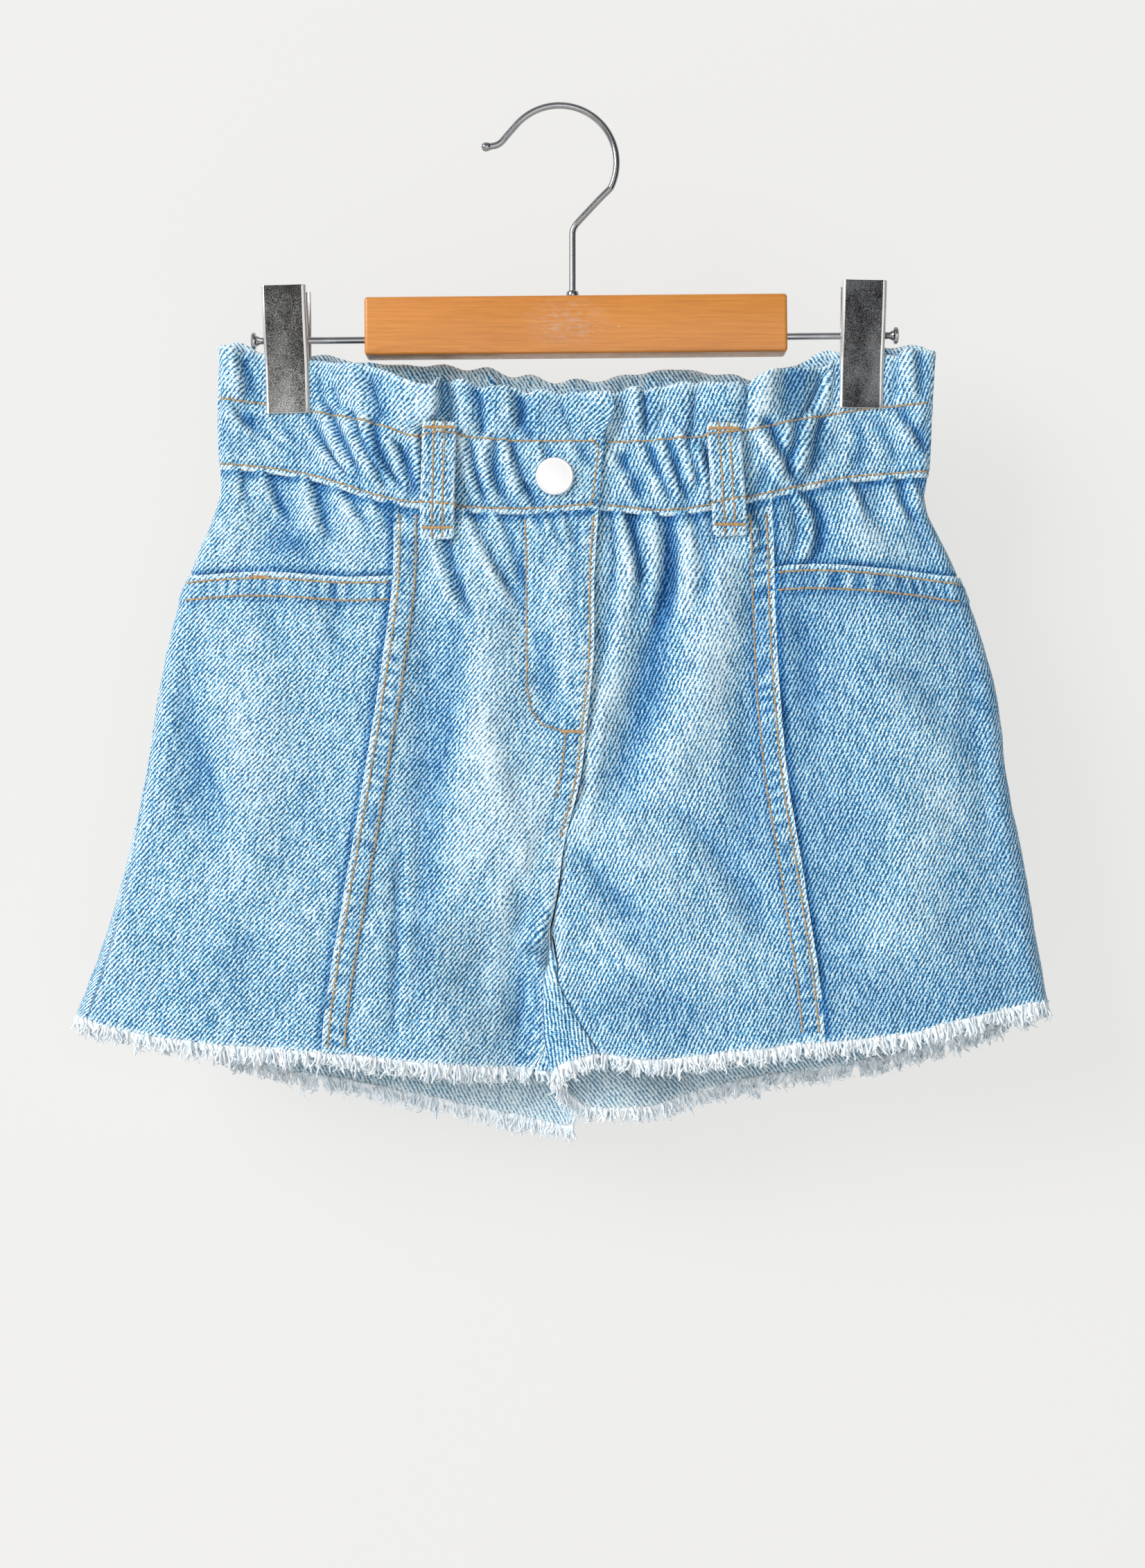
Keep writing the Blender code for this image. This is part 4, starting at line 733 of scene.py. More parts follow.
def crease(off: Array, t: Array, width: float, height: float) -> tuple[Array, Array]:
    """One crease, steeper on its right; its tone paints light and shade on it.

    Args:
        off: Distance to the right of its line.
        t: Share of the way from its top to its foot.
        width: Half its width.
        height: Its height; below 0 for a trough.

    Returns:
        Its form and its tone: painted shade along a trough; on a ridge, painted light on its crest
            and painted shade in the groove on its right.
    """
    fade = rise(t, -0.1, 0.1) * (1 - rise(t, 0.72, 1.14))
    if height < 0:
        hollow = height * fade * bump(off, width)
        # painted shade along the trough
        return hollow, 0.16 * hollow + 0.05 * height * fade * bump(off + 0.5 * width, width)
    steep = np.where(off < 0, off / (width * 1.6), off / (width * 0.8))
    ridge = np.exp(-steep ** 2)
    groove = bump(off - 1.9 * width, 1.05 * width)
    form = height * fade * (ridge - 0.55 * groove)
    # painted light on the crest, painted shade in the groove
    return form, height * fade * (0.24 * bump(off + 0.2 * width, 0.8 * width) - 0.38 * groove)


def fly_flap(x: Array, z: Array) -> tuple[Array, Array]:
    """Form and tone of the fly's facing, which shows through inside its curved row.

    Args:
        x: Place across, in millimetres.
        z: Height, in millimetres.

    Returns:
        The form and the tone: a paler band inside the row, painted shadow just outside it, painted
            light and shade on the puckers.
    """
    centre_x, centre_z, wide, tall, along = 10, -258, 24.6, 25.5, 26
    foot = np.sqrt(((x - centre_x) / wide) ** 2 + ((z - centre_z) / tall) ** 2)
    low = z < centre_z
    within = np.where(low, (1 - foot) * wide, x + wide - centre_x)
    run = np.where(low, along * np.arctan2(x - centre_x, centre_z - z), z + 221)
    pucker = np.sin(run / 1.05 + 2 * np.sin(run / 7)) * bump(within, 2.6)
    form = 0.5 * rise(within, -1.2, 0.9) + 0.12 * pucker
    # paler band inside the row, painted shadow just outside it, painted light and shade on the
    # puckers
    tone = 0.3 * bump(within - 0.8, 1) - 0.42 * bump(within + 1.3, 1.2) + 0.2 * pucker
    return form, tone


def washed(x: Array, z: Array, layer: Array) -> Array:
    """Tone of the painted patches of broad light and shade, partly uneven washing; the back has
    them the other way round.

    Args:
        x: Place across, in millimetres.
        z: Height, in millimetres.
        layer: Front or back.

    Returns:
        The tone.
    """
    total = np.zeros_like(x)
    x = np.where(layer > 0, -x, x)
    for row in SHADE_AND_WASH:
        total += row.tone * bump(x - row.x - row.lean * (z - row.z), row.wide) * bump(
            z - row.z, row.tall)
    return np.where(layer > 0, BACK_PATCH_SHARE, 1) * total


# --- node trees

class Graph:
    """A small helper that lays shader or geometry nodes and links them."""

    def __init__(self, tree: Tree) -> None:
        """Work on a tree."""
        self.tree = tree

    def feed(self, node: Node, inputs: dict) -> None:
        """Set or link a node's inputs by name or number; a colour has three values.

        Args:
            node: The node.
            inputs: Values or sockets, by name or number.
        """
        for key, value in inputs.items():
            socket = node.inputs[key]
            if isinstance(value, Socket):
                self.tree.links.new(value, socket)
            else:
                socket.default_value = (*value, 1) if socket.type == "RGBA" else value

    def node(self, kind: str, inputs: Optional[dict] = None, **settings: object) -> Node:
        """Add a node.

        Args:
            kind: The node's type name.
            inputs: Values or sockets for its inputs, by name or number.
            settings: Its own properties.

        Returns:
            The node.
        """
        made = self.tree.nodes.new(kind)
        for name, value in settings.items():
            setattr(made, name, value)
        self.feed(made, inputs or {})
        return made

    def maths(self, operation: str, *values: object) -> Socket:
        """Arithmetic on one to three values."""
        return self.node("ShaderNodeMath", dict(enumerate(values)), operation=operation).outputs[0]

    def add(self, *values: object) -> Socket:
        """Sum of the values.

        Args:
            values: Numbers or sockets.

        Returns:
            The sum.
        """
        total = values[0]
        for value in values[1:]:
            total = self.maths("ADD", total, value)
        return total

    def times(self, value: object, factor: object) -> Socket:
        """Product of two values."""
        return self.maths("MULTIPLY", value, factor)

    def spread(self, noise: Socket, amount: float) -> Socket:
        """Noise moved to lie about 0 and scaled."""
        return self.times(self.maths("SUBTRACT", noise, 0.5), amount)

    def noise(self, vector: Socket, scale: object, detail: float = 2,
              rough: float = 0.5) -> Socket:
        """Noise between about 0 and 1; a scale of three values stretches it.

        Args:
            vector: Where it is read.
            scale: How fine it is.
            detail: How many finer layers it has.
            rough: How strong those are.

        Returns:
            The noise.
        """
        if isinstance(scale, tuple):
            vector, scale = self.scaled(vector, scale), 1
        inputs = {"Vector": vector, "Scale": scale, "Detail": detail, "Roughness": rough}
        return self.node("ShaderNodeTexNoise", inputs).outputs[0]

    def remap(self, value: object, low: float, high: float, to_low: float = 0,
              to_high: float = 1) -> Socket:
        """Map a range to another, clamped."""
        inputs = {0: value, 1: low, 2: high, 3: to_low, 4: to_high}
        return self.node("ShaderNodeMapRange", inputs).outputs[0]

    def blend(self, share: object, first: object, second: object, way: str = "MIX") -> Socket:
        """Mix two colours."""
        return self.node("ShaderNodeMix", {0: share, 6: first, 7: second}, data_type="RGBA",
                         blend_type=way).outputs[2]

    def ramp(self, value: object, stops: Sequence[tuple]) -> Socket:
        """Colour by value, through stops of (place, colour).

        Args:
            value: What is read.
            stops: The stops.

        Returns:
            The colour.
        """
        made = self.node("ShaderNodeValToRGB", {0: value})
        elements = made.color_ramp.elements
        while len(elements) < len(stops):
            elements.new(0.5)
        for element, (place, colour) in zip(elements, stops):
            element.position = place
            element.color = (*colour, 1)
        return made.outputs[0]

    def scaled(self, vector: Socket, scale: tuple) -> Socket:
        """Scale a pattern's coordinates."""
        return self.node("ShaderNodeMapping", {"Vector": vector, "Scale": scale}).outputs[0]

    def distance(self, place: Socket, centre: tuple, scale: tuple) -> Socket:
        """Distance from a centre, in scaled coordinates.

        Args:
            place: Where it is read.
            centre: The centre.
            scale: Of each axis.

        Returns:
            The distance.
        """
        off = self.node("ShaderNodeVectorMath", {0: place, 1: centre}, operation="SUBTRACT")
        return self.node("ShaderNodeVectorMath", {0: self.scaled(off.outputs[0], scale)},
                         operation="LENGTH").outputs["Value"]

    def relief(self, height: Socket, distance: float, strength: float) -> Socket:
        """Normal of a surface with a height."""
        inputs = {"Height": height, "Distance": distance, "Strength": strength}
        return self.node("ShaderNodeBump", inputs).outputs[0]

    def named(self, name: str, kind: str = "FLOAT") -> Socket:
        """A point attribute, in geometry nodes."""
        return self.node("GeometryNodeInputNamedAttribute", {"Name": name},
                         data_type=kind).outputs[0]

    def turned(self, rotation: Socket, angles: dict) -> Socket:
        """A rotation turned further in its own frame, by some of the angles about X, Y and Z.

        Args:
            rotation: The rotation.
            angles: Angles in radians, by axis.

        Returns:
            The turned rotation.
        """
        angles = self.node("ShaderNodeCombineXYZ", angles).outputs[0]
        own = self.node("FunctionNodeEulerToRotation", {0: angles}).outputs[0]
        return self.node("FunctionNodeRotateRotation", {0: rotation, 1: own},
                         rotation_space="LOCAL").outputs[0]

    def hang(self, points: Socket, form: Socket, turn: Socket, size: dict,
             finish: Socket, **inputs: object) -> None:
        """Put a form on points as real mesh with one material, as the tree's result.

        Args:
            points: Where it goes.
            form: The instance.
            turn: Its rotation.
            size: Its scale along each axis.
            finish: The material.
            inputs: More inputs of the instancing node.
        """
        size = self.node("ShaderNodeCombineXYZ", size).outputs[0]
        placed = self.node("GeometryNodeInstanceOnPoints", {
            "Points": points, "Instance": form, "Rotation": turn, "Scale": size, **inputs})
        real = self.node("GeometryNodeRealizeInstances", {0: placed.outputs[0]}).outputs[0]
        dyed = self.node("GeometryNodeSetMaterial", {"Geometry": real, "Material": finish})
        self.node("NodeGroupOutput", {0: dyed.outputs[0]})


def new_tree(name: str, kind: str, inputs: dict, outputs: Sequence[str]) -> Graph:
    """Start a node group.

    Args:
        name: The group's name.
        kind: Shader or Geometry.
        inputs: Its sockets, name to (kind, default or None).
        outputs: Names of its results, numbers in a shader group.

    Returns:
        A helper on it.
    """
    tree = bpy.data.node_groups.new(name, kind + "NodeTree")
    for key, (socket_kind, value) in inputs.items():
        socket = tree.interface.new_socket(key, in_out="INPUT",
                                           socket_type="NodeSocket" + socket_kind)
        if value is not None:
            socket.default_value = value
    result = "NodeSocketFloat" if kind == "Shader" else "NodeSocketGeometry"
    for key in outputs:
        tree.interface.new_socket(key, in_out="OUTPUT", socket_type=result)
    return Graph(tree)


def twill_group() -> Tree:
    """Twill weave on cloth coordinates in metres: ridge, yarn tone and height.

    Returns:
        The group.
    """
    g = new_tree("twill_weave", "Shader", {"Cloth": ("Vector", None), "Pitch": ("Float", 0.0016)},
                 ("Ridge", "Yarn", "Height"))
    given = g.node("NodeGroupInput").outputs
    cloth, pitch = given["Cloth"], given["Pitch"]
    across, along, _up = g.node("ShaderNodeSeparateXYZ", {0: cloth}).outputs
    angle, round_once = math.radians(56), 2 * math.pi
    waver = g.spread(g.noise(cloth, 180, 3, 0.6), 1.1)
    line = g.maths("SUBTRACT", g.times(across, math.sin(angle)), g.times(along, math.cos(angle)))
    phase = g.add(g.maths("DIVIDE", line, pitch), waver)
    wave = g.maths("SINE", g.times(phase, round_once))
    beads = g.add(g.times(across, math.cos(angle)), g.times(along, math.sin(angle)))
    beads = g.add(g.maths("DIVIDE", beads, g.times(pitch, 0.6)),
                  g.times(g.maths("FLOOR", phase), 0.37))
    bead = g.times(g.maths("SINE", g.times(beads, round_once)), 0.15)
    ridge = g.add(g.times(wave, 0.45), 0.48, bead)
    yarn = g.add(g.times(g.noise(cloth, (1250, 110, 1), 2, 0.6), 0.45),
                 g.times(g.noise(cloth, 900, 1), 0.55))
    height = g.add(g.times(ridge, 0.8), g.times(yarn, 0.4))
    g.node("NodeGroupOutput", {"Ridge": ridge, "Yarn": yarn, "Height": height})
    return g.tree


def speckle_group() -> Tree:
    """Fine grain and faint scratches, for metal and varnish.

    Returns:
        The group.
    """
    g = new_tree("grain_and_scratches", "Shader",
                 {"Place": ("Vector", None), "Grain": ("Float", 2500)}, ("Speckle", "Scratch"))
    given = g.node("NodeGroupInput").outputs
    fine = g.noise(given["Place"], given["Grain"], 2, 0.7)
    streak = g.noise(given["Place"], (2600, 400, 90), 3, 0.7)
    g.node("NodeGroupOutput", {"Speckle": g.remap(fine, 0.33, 0.67),
                               "Scratch": g.remap(streak, 0.66, 0.74)})
    return g.tree


@dataclass
class Groups:
    """Node groups that several materials share."""

    twill: Tree = field(default_factory=twill_group)
    speckle: Tree = field(default_factory=speckle_group)


# --- finishes

class Finish:
    """Base of the finishes: makes one Principled material."""

    name: str

    def start(self) -> tuple[Material, Graph, Node]:
        """A new material, a helper on its tree and its Principled node.

        Returns:
            The material, the helper and the node.
        """
        made = bpy.data.materials.new(self.name)
        made.use_nodes = True
        return made, Graph(made.node_tree), made.node_tree.nodes["Principled BSDF"]


@dataclass(frozen=True)
class Denim(Finish):
    """Washed twill: dark lines, blue body, pale ridges; paler where worn or painted light, darker
    where painted shade.
    """

    name: str
    line: tuple
    body: tuple
    pale: tuple
    worn: tuple
    # multiplied in where the attribute is below 0: painted shade in creases and troughs, partly
    # unfaded dye
    deep: tuple
    pitch: float = 0.00162
    relief: float = 0.0002
    rough: float = 0.86

    def make(self, groups: Groups) -> Material:
        """The material, on the cloth's own coordinates and its attribute of wear and painted light
        and shade.

        Args:
            groups: The shader groups.

        Returns:
            The material.
        """
        made, g, shader = self.start()
        cloth = g.node("ShaderNodeUVMap", uv_map="cloth").outputs[0]
        wear = g.node("ShaderNodeAttribute", attribute_name="wear").outputs["Fac"]
        weave = g.node("ShaderNodeGroup", {"Pitch": self.pitch, "Cloth": cloth},
                       node_tree=groups.twill).outputs
        light = g.add(weave["Ridge"], g.spread(weave["Yarn"], 3.2),
                      g.spread(g.noise(cloth, 190, 4, 0.65), 0.42),
                      g.spread(g.noise(cloth, 18), 0.2),
                      g.spread(g.noise(cloth, (75, 32, 1), 3, 0.6), 0.34),
                      g.spread(g.noise(cloth, (430, 42, 1), 3, 0.6), 0.4), g.times(wear, 0.24))
        colour = g.ramp(light, ((0, self.line), (0.36, self.body), (0.7, self.pale),
                                (1, self.worn)))
        # Above 0 the attribute pales the colour: real wear on edges, painted light on crests.
        # Below 0 it multiplies in the darkest tint: painted shade in creases, partly unfaded dye.
        worn = g.times(g.remap(wear, 0, 1), g.remap(light, 0.1, 0.9, 0.06, 0.7))
        colour = g.blend(worn, colour, self.worn)
        shade = g.blend(g.remap(wear, 0, -1), (1, 1, 1), self.deep)
        g.feed(shader, {"Base Color": g.blend(1, colour, shade, "MULTIPLY"),
                        "Normal": g.relief(weave["Height"], self.relief, 0.8),
                        "Roughness": self.rough, "Sheen Weight": 0.12,
                        "Specular IOR Level": 0.25})
        return made


@dataclass(frozen=True)
class Cotton(Finish):
    """Loose yarn: one colour with a paler and a darker tone along it."""

    name: str
    colour: tuple
    tone: tuple
    grain: float = 900
    rough: float = 0.9
    sheen: float = 0.2

    def make(self, _groups: Groups) -> Material:
        """The material, on the object's own coordinates.

        Args:
            _groups: The shader groups, which it has no use for.

        Returns:
            The material.
        """
        made, g, shader = self.start()
        place = g.node("ShaderNodeTexCoord").outputs["Object"]
        share = g.remap(g.noise(place, self.grain, 2, 0.6), 0.3, 0.7)
        g.feed(shader, {"Base Color": g.blend(share, self.colour, self.tone),
                        "Normal": g.relief(g.noise(place, self.grain * 4), 0.0001, 0.5),
                        "Roughness": self.rough, "Sheen Weight": self.sheen,
                        "Specular IOR Level": 0.2})
        return made


@dataclass(frozen=True)
class Metal(Finish):
    """Plated or bare metal with grain, scratches and a little dirt."""

    name: str
    colour: tuple
    dull: tuple
    rough: tuple
    grain: float = 2500
    speck: float = 0.5
    relief: float = 0.00001
    metallic: float = 1
    fade: float = 0               # how much darker the top is

    def make(self, groups: Groups) -> Material:
        """The material, on the object's own coordinates.

        Args:
            groups: The shader groups.

        Returns:
            The material.
        """
        made, g, shader = self.start()
        place = g.node("ShaderNodeTexCoord").outputs["Object"]
        grain = g.node("ShaderNodeGroup", {"Grain": self.grain, "Place": place},
                       node_tree=groups.speckle).outputs
        patch = g.noise(place, (60, 60, 38), 3, 0.6)
        height = g.node("ShaderNodeSeparateXYZ", {0: place}).outputs[2]
        share = g.add(g.times(grain["Speckle"], self.speck),
                      g.remap(patch, 0.35, 0.65, -0.3, 0.22),
                      g.remap(height, -0.139, -0.084, 0.25 * self.fade, -self.fade))
        colour = g.blend(g.times(grain["Scratch"], 0.35), g.blend(share, self.dull, self.colour),
                         (0.75, 0.76, 0.78))
        low, high = self.rough
        g.feed(shader, {"Base Color": colour, "Roughness": g.remap(share, 0.1, 0.9, high, low),
                        "Normal": g.relief(grain["Speckle"], self.relief, 1),
                        "Metallic": self.metallic})
        return made


@dataclass(frozen=True)
class VarnishedWood(Finish):
    """Honey-coloured varnished wood with fine grain, arcs, nicks and a scuffed patch."""

    name: str
    light: tuple
    dark: tuple
    scuff: tuple
    scuff_centre: tuple
    flame_centre: tuple
    nick: tuple = (0.80, 0.62, 0.42)

    def make(self, _groups: Groups) -> Material:
        """The material, on the object's own coordinates.

        Args:
            _groups: The shader groups, which it has no use for.

        Returns:
            The material.
        """
        made, g, shader = self.start()
        place = g.node("ShaderNodeTexCoord").outputs["Object"]
        sway = g.noise(place, (9, 30, 40))
        rings = g.node("ShaderNodeTexWave", {
            "Vector": g.scaled(place, (6, 60, 120)), "Scale": 1.1, "Distortion": 5.5,
            "Detail": 3, "Detail Scale": 1.4}, wave_type="BANDS", bands_direction="Z").outputs[1]
        pores = g.noise(place, (60, 900, 1500), 3, 0.7)
        share = g.add(g.times(rings, 0.1), g.times(sway, 0.6), g.spread(pores, 0.8))
        colour = g.blend(g.remap(share, 0.15, 0.85), self.light, self.dark)
        flame = g.add(g.distance(place, self.flame_centre, (28, 0, 80)), g.times(sway, 1.7))
        arcs = g.remap(g.maths("SINE", g.times(flame, 16)), 0.55, 1)
        colour = g.blend(g.times(arcs, g.remap(flame, 2.6, 0.4, 0, 0.6)), colour, self.dark)
        nicks = g.remap(g.noise(place, (140, 140, 700), 2, 0.7), 0.735, 0.76)
        colour = g.blend(g.times(nicks, 0.6), colour, self.nick)
        worn = g.remap(g.distance(place, self.scuff_centre, (58, 30, 100)), 1.3, 0.3)
        rub = g.remap(g.noise(place, (240, 240, 1000), 4, 0.8), 0.46, 0.66)
        colour = g.blend(g.times(g.times(worn, rub), 0.65), colour, self.scuff)
        g.feed(shader, {"Base Color": colour, "Roughness": g.remap(rub, 0, 1, 0.32, 0.46),
                        "Normal": g.relief(g.maths("SUBTRACT", pores, nicks), 0.00005, 0.5),
                        "Coat Weight": 0.25, "Coat Roughness": 0.25})
        return made


@dataclass(frozen=True)
class Backdrop(Finish):
    """Plain pale paper that is seen only from its front."""

    name: str
    colour: tuple
    glow: tuple

    def make(self, _groups: Groups) -> Material:
        """The material, lit from within; from behind it is clear, so the back can be seen.

        Args:
            _groups: The shader groups, which it has no use for.

        Returns:
            The material.
        """
        made, g, shader = self.start()
        g.feed(shader, {"Emission Color": self.glow, "Emission Strength": 1,
                        "Base Color": self.colour, "Roughness": 1, "Specular IOR Level": 0})
        clear = g.node("ShaderNodeBsdfTransparent").outputs[0]
        behind = g.node("ShaderNodeNewGeometry").outputs["Backfacing"]
        seen = g.node("ShaderNodeMixShader", {0: behind, 1: shader.outputs[0], 2: clear})
        g.feed(made.node_tree.nodes["Material Output"], {"Surface": seen.outputs[0]})
        return made


# The darkest tint of each is the painted shade of creases and troughs, partly unfaded dye.
OUTSIDE = Denim("washed_denim", line=(0.012, 0.085, 0.21), body=(0.110, 0.37, 0.625),
                pale=(0.49, 0.755, 0.87), worn=(0.87, 0.95, 0.95), deep=(0.23, 0.48, 0.72))
INSIDE = Denim("denim_inside", line=(0.12, 0.25, 0.38), body=(0.36, 0.53, 0.64),
               pale=(0.64, 0.76, 0.80), worn=(0.80, 0.87, 0.88), deep=(0.45, 0.58, 0.7))
EDGE = Cotton("raw_edge", colour=(0.72, 0.80, 0.86), tone=(0.52, 0.66, 0.78))
FRAYED = Cotton("frayed_cotton", colour=(0.94, 0.97, 0.985), tone=(0.76, 0.86, 0.93),
                grain=260)
THREAD = Cotton("golden_thread", colour=(0.60, 0.375, 0.165), tone=(0.38, 0.225, 0.10),
                grain=700, rough=0.6)
CHROME = Metal("chrome_wire", colour=(0.62, 0.62, 0.63), dull=(0.34, 0.34, 0.35),
               rough=(0.05, 0.14), speck=0.2)
CLIP_LEFT = Metal("clip_steel", colour=(0.41, 0.405, 0.40), dull=(0.028, 0.027, 0.026),
                  rough=(0.30, 0.55), grain=2300, speck=0.8, relief=0.00008, fade=0.28)
# The right clip takes a darker copy of the same steel: painted shade.
CLIP_RIGHT = Metal("clip_steel_dark", colour=(0.30, 0.305, 0.31), dull=(0.016, 0.016, 0.018),
                   rough=(0.30, 0.55), grain=2300, speck=0.75, relief=0.00006, fade=0.15)
# Near-white rolled edges: a painted glint on the polished steel.
CLIP_EDGE = Metal("clip_edge", colour=(0.97, 0.97, 0.98), dull=(0.6, 0.58, 0.56),
                  rough=(0.12, 0.3), speck=0.3, metallic=0.6)
SILVER = Metal("button_silver", colour=(0.95, 0.95, 0.95), dull=(0.86, 0.86, 0.86),
               rough=(0.3, 0.42), speck=0.3, metallic=0.45)
WOOD = VarnishedWood("varnished_wood", light=(0.68, 0.262, 0.042), dark=(0.41, 0.123, 0.018),
                     scuff=(0.55, 0.40, 0.33), scuff_centre=(0.004, -0.0075, -0.099),
                     flame_centre=(-0.060, 0, -0.121))
PAPER = Backdrop("pale_paper", colour=(0.18, 0.179, 0.176), glow=(0.672, 0.667, 0.653))


class Palette:
    """Every material, made once."""

    def __init__(self) -> None:
        """Make the materials."""
        groups = Groups()
        self.denim, self.inside, self.edge, self.frayed, self.thread = (
            finish.make(groups) for finish in (OUTSIDE, INSIDE, EDGE, FRAYED, THREAD))
        self.chrome, self.clip_edge, self.silver, self.wood, self.paper = (
            finish.make(groups) for finish in (CHROME, CLIP_EDGE, SILVER, WOOD, PAPER))
        self.clips = {"left": CLIP_LEFT.make(groups), "right": CLIP_RIGHT.make(groups)}
        self.cloth = (self.denim, self.inside, self.edge)
        self.band = (self.denim, self.denim, self.edge)


# --- meshes

def new_mesh(name: str, points: Sequence, faces: Sequence, edges: Sequence = ()) -> Mesh:
    """A mesh from points in metres.

    Args:
        name: The mesh's name.
        points: Its points.
        faces: Points of each face.
        edges: Points of each loose edge.

    Returns:
        The mesh.
    """
    mesh = bpy.data.meshes.new(name)
    mesh.from_pydata(points, edges, faces)
    return mesh


def store(mesh: Mesh, name: str, values: Array, kind: str = "FLOAT") -> None:
    """Give a mesh's points an attribute."""
    data = mesh.attributes.new(name, kind, "POINT").data
    data.foreach_set("value" if kind == "FLOAT" else "vector", np.reshape(values, -1))


def tube_mesh(name: str, centres: Array, first: Array, second: Array, sides: int,
              twist: Array = 0.0) -> Mesh:
    """Make a closed tube.

    Args:
        name: The mesh's name.
        centres: Middles of its rings, in millimetres.
        first: Each ring's radius at the start of its round, as a vector.
        second: The same a quarter further round.
        sides: Points of a ring.
        twist: How far each ring is turned, in radians.

    Returns:
        The mesh, smooth.
    """
    angles = 2 * math.pi * np.arange(sides) / sides + np.reshape(twist, (-1, 1))
    cos, sin = np.cos(angles)[..., None], np.sin(angles)[..., None]
    points = (centres[:, None] + first[:, None] * cos + second[:, None] * sin) * MM
    count = len(centres) * sides
    faces = [tuple(range(sides)), tuple(range(count - 1, count - sides - 1, -1))]
    for low in range(0, count - sides, sides):
        for step in range(sides):
            here, after = low + step, low + (step + 1) % sides
            faces.append((here, after, after + sides, here + sides))
    mesh = new_mesh(name, points.reshape(-1, 3).tolist(), faces)
    outward(mesh)
    mesh.shade_smooth()
    return mesh


def outward(mesh: Mesh) -> None:
    """Turn a closed mesh's faces outwards.

    Args:
        mesh: The mesh, which it changes.
    """
    work = bmesh.new()
    work.from_mesh(mesh)
    bmesh.ops.recalc_face_normals(work, faces=work.faces)
    work.to_mesh(mesh)
    work.free()


def rolled(from_edge: Array, radius: float, least: float) -> Array:
    """Share of a wall's thickness that is left near its rolled edge."""
    return np.sqrt(np.clip(1 - (1 - np.clip(from_edge / radius, 0, 1)) ** 2, least, 1))


def link(name: str, data: bpy.types.ID, finishes: Sequence[Material] = ()) -> Object:
    """Put a mesh, a lamp or a camera into the scene as an object, with its materials.

    Args:
        name: The object's name.
        data: What it holds.
        finishes: Its materials.

    Returns:
        The object.
    """
    for finish in finishes:
        data.materials.append(finish)
    made = bpy.data.objects.new(name, data)
    bpy.context.scene.collection.objects.link(made)
    return made


def settle(piece: Object, nodes: Sequence[str]) -> None:
    """Let a finished piece ride on the body and stand for its solids, and log its triangles.

    Args:
        piece: The piece.
        nodes: The solids it stands for.
    """
    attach(piece, BODY)
    if nodes:
        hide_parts(*nodes)
    triangles = sum(len(face.vertices) - 2 for face in piece.data.polygons)
    LOG.info("%s: %d triangles, stands for %s", piece.name, triangles, ", ".join(nodes) or "-")


@dataclass
class Shell:
    """A cloth wall: grids of its middle, its thickness, its cloth coordinates and its tone of wear
    and painted light and shade.
    """

    middle: Array
    normal: Array
    out: Array
    into: Array
    uv: Array
    wear: Array
    turned_uv: Optional[Array] = None
    turned: Optional[Array] = None

    def faces(self) -> tuple[list, list]:
        """Faces of both skins and the rim, and each face's material number.

        Returns:
            The faces and their numbers.
        """
        rows, columns = self.middle.shape[:2]
        grid = np.arange(rows * columns).reshape(rows, columns)
        quads = np.stack([grid[:-1, :-1], grid[1:, :-1], grid[1:, 1:], grid[:-1, 1:]], axis=-1)
        quads = quads.reshape(-1, 4)
        inner = quads[:, ::-1] + rows * columns
        rim = np.concatenate([grid[0, :-1], grid[:-1, -1], grid[-1, :0:-1], grid[:0:-1, 0]])
        after = np.roll(rim, -1)
        sides = np.stack([rim, after, after + rows * columns, rim + rows * columns], axis=-1)
        faces = np.concatenate([quads, inner, sides])
        return faces, np.repeat((0, 1, 2), (len(quads), len(inner), len(sides)))

    def build(self, name: str, finishes: Sequence[Material]) -> Object:
        """Make the object.

        Args:
            name: The piece's name.
            finishes: Materials of the outside, the inside and the raw rim.

        Returns:
            The object.
        """
        outside = self.middle + self.normal * self.out[..., None]
        inside = self.middle - self.normal * self.into[..., None]
        points = np.concatenate([outside.reshape(-1, 3), inside.reshape(-1, 3)]) * MM
        faces, marks = self.faces()
        mesh = new_mesh(name, points.tolist(), faces.tolist())
        mesh.polygons.foreach_set("material_index", marks)
        mesh.polygons.foreach_set("use_smooth", np.ones(len(marks), bool))
        work = bmesh.new()
        work.from_mesh(mesh)
        volume = work.calc_volume(signed=True)
        work.free()
        if volume < 0:
            mesh.flip_normals()
        corners = np.zeros(len(mesh.loops), int)
        mesh.loops.foreach_get("vertex_index", corners)
        uv = np.tile(self.uv.reshape(-1, 2), (2, 1)) * MM
        coords = uv[corners]
        if self.turned_uv is not None:
            other = np.tile(self.turned_uv.reshape(-1, 2), (2, 1)) * MM
            flags = np.tile(self.turned.reshape(-1), 2)[corners].reshape(-1, 4)
            whole = np.repeat(flags.mean(axis=1) > 0.5, 4)
            coords = np.where(whole[:, None], other[corners], coords)
        mesh.uv_layers.new(name="cloth").data.foreach_set("uv", coords.reshape(-1))
        store(mesh, "wear", np.tile(self.wear.reshape(-1), 2))
        mesh.update()
        return link(name, mesh, finishes)


def grid_normal(points: Array, guide: Array) -> Array:
    """Normals of a grid of points, turned to the side of a guide direction.

    Args:
        points: The grid.
        guide: Directions on the right side.

    Returns:
        Vectors of length 1.
    """
    normal = unit(np.cross(np.gradient(points, axis=1), np.gradient(points, axis=0)))
    flip = np.sum(normal * guide, axis=-1, keepdims=True) < 0
    return np.where(flip, -normal, normal)


# --- panels

class Fastening(Enum):
    """How an edge of a panel is finished."""

    PLAIN = 0       # seam pressed open: the cloth dips into it
    LAPPED = 1      # turned under and sewn down over its neighbour
    UNDER = 2       # runs on under its neighbour
    RAW = 3         # cut and frayed


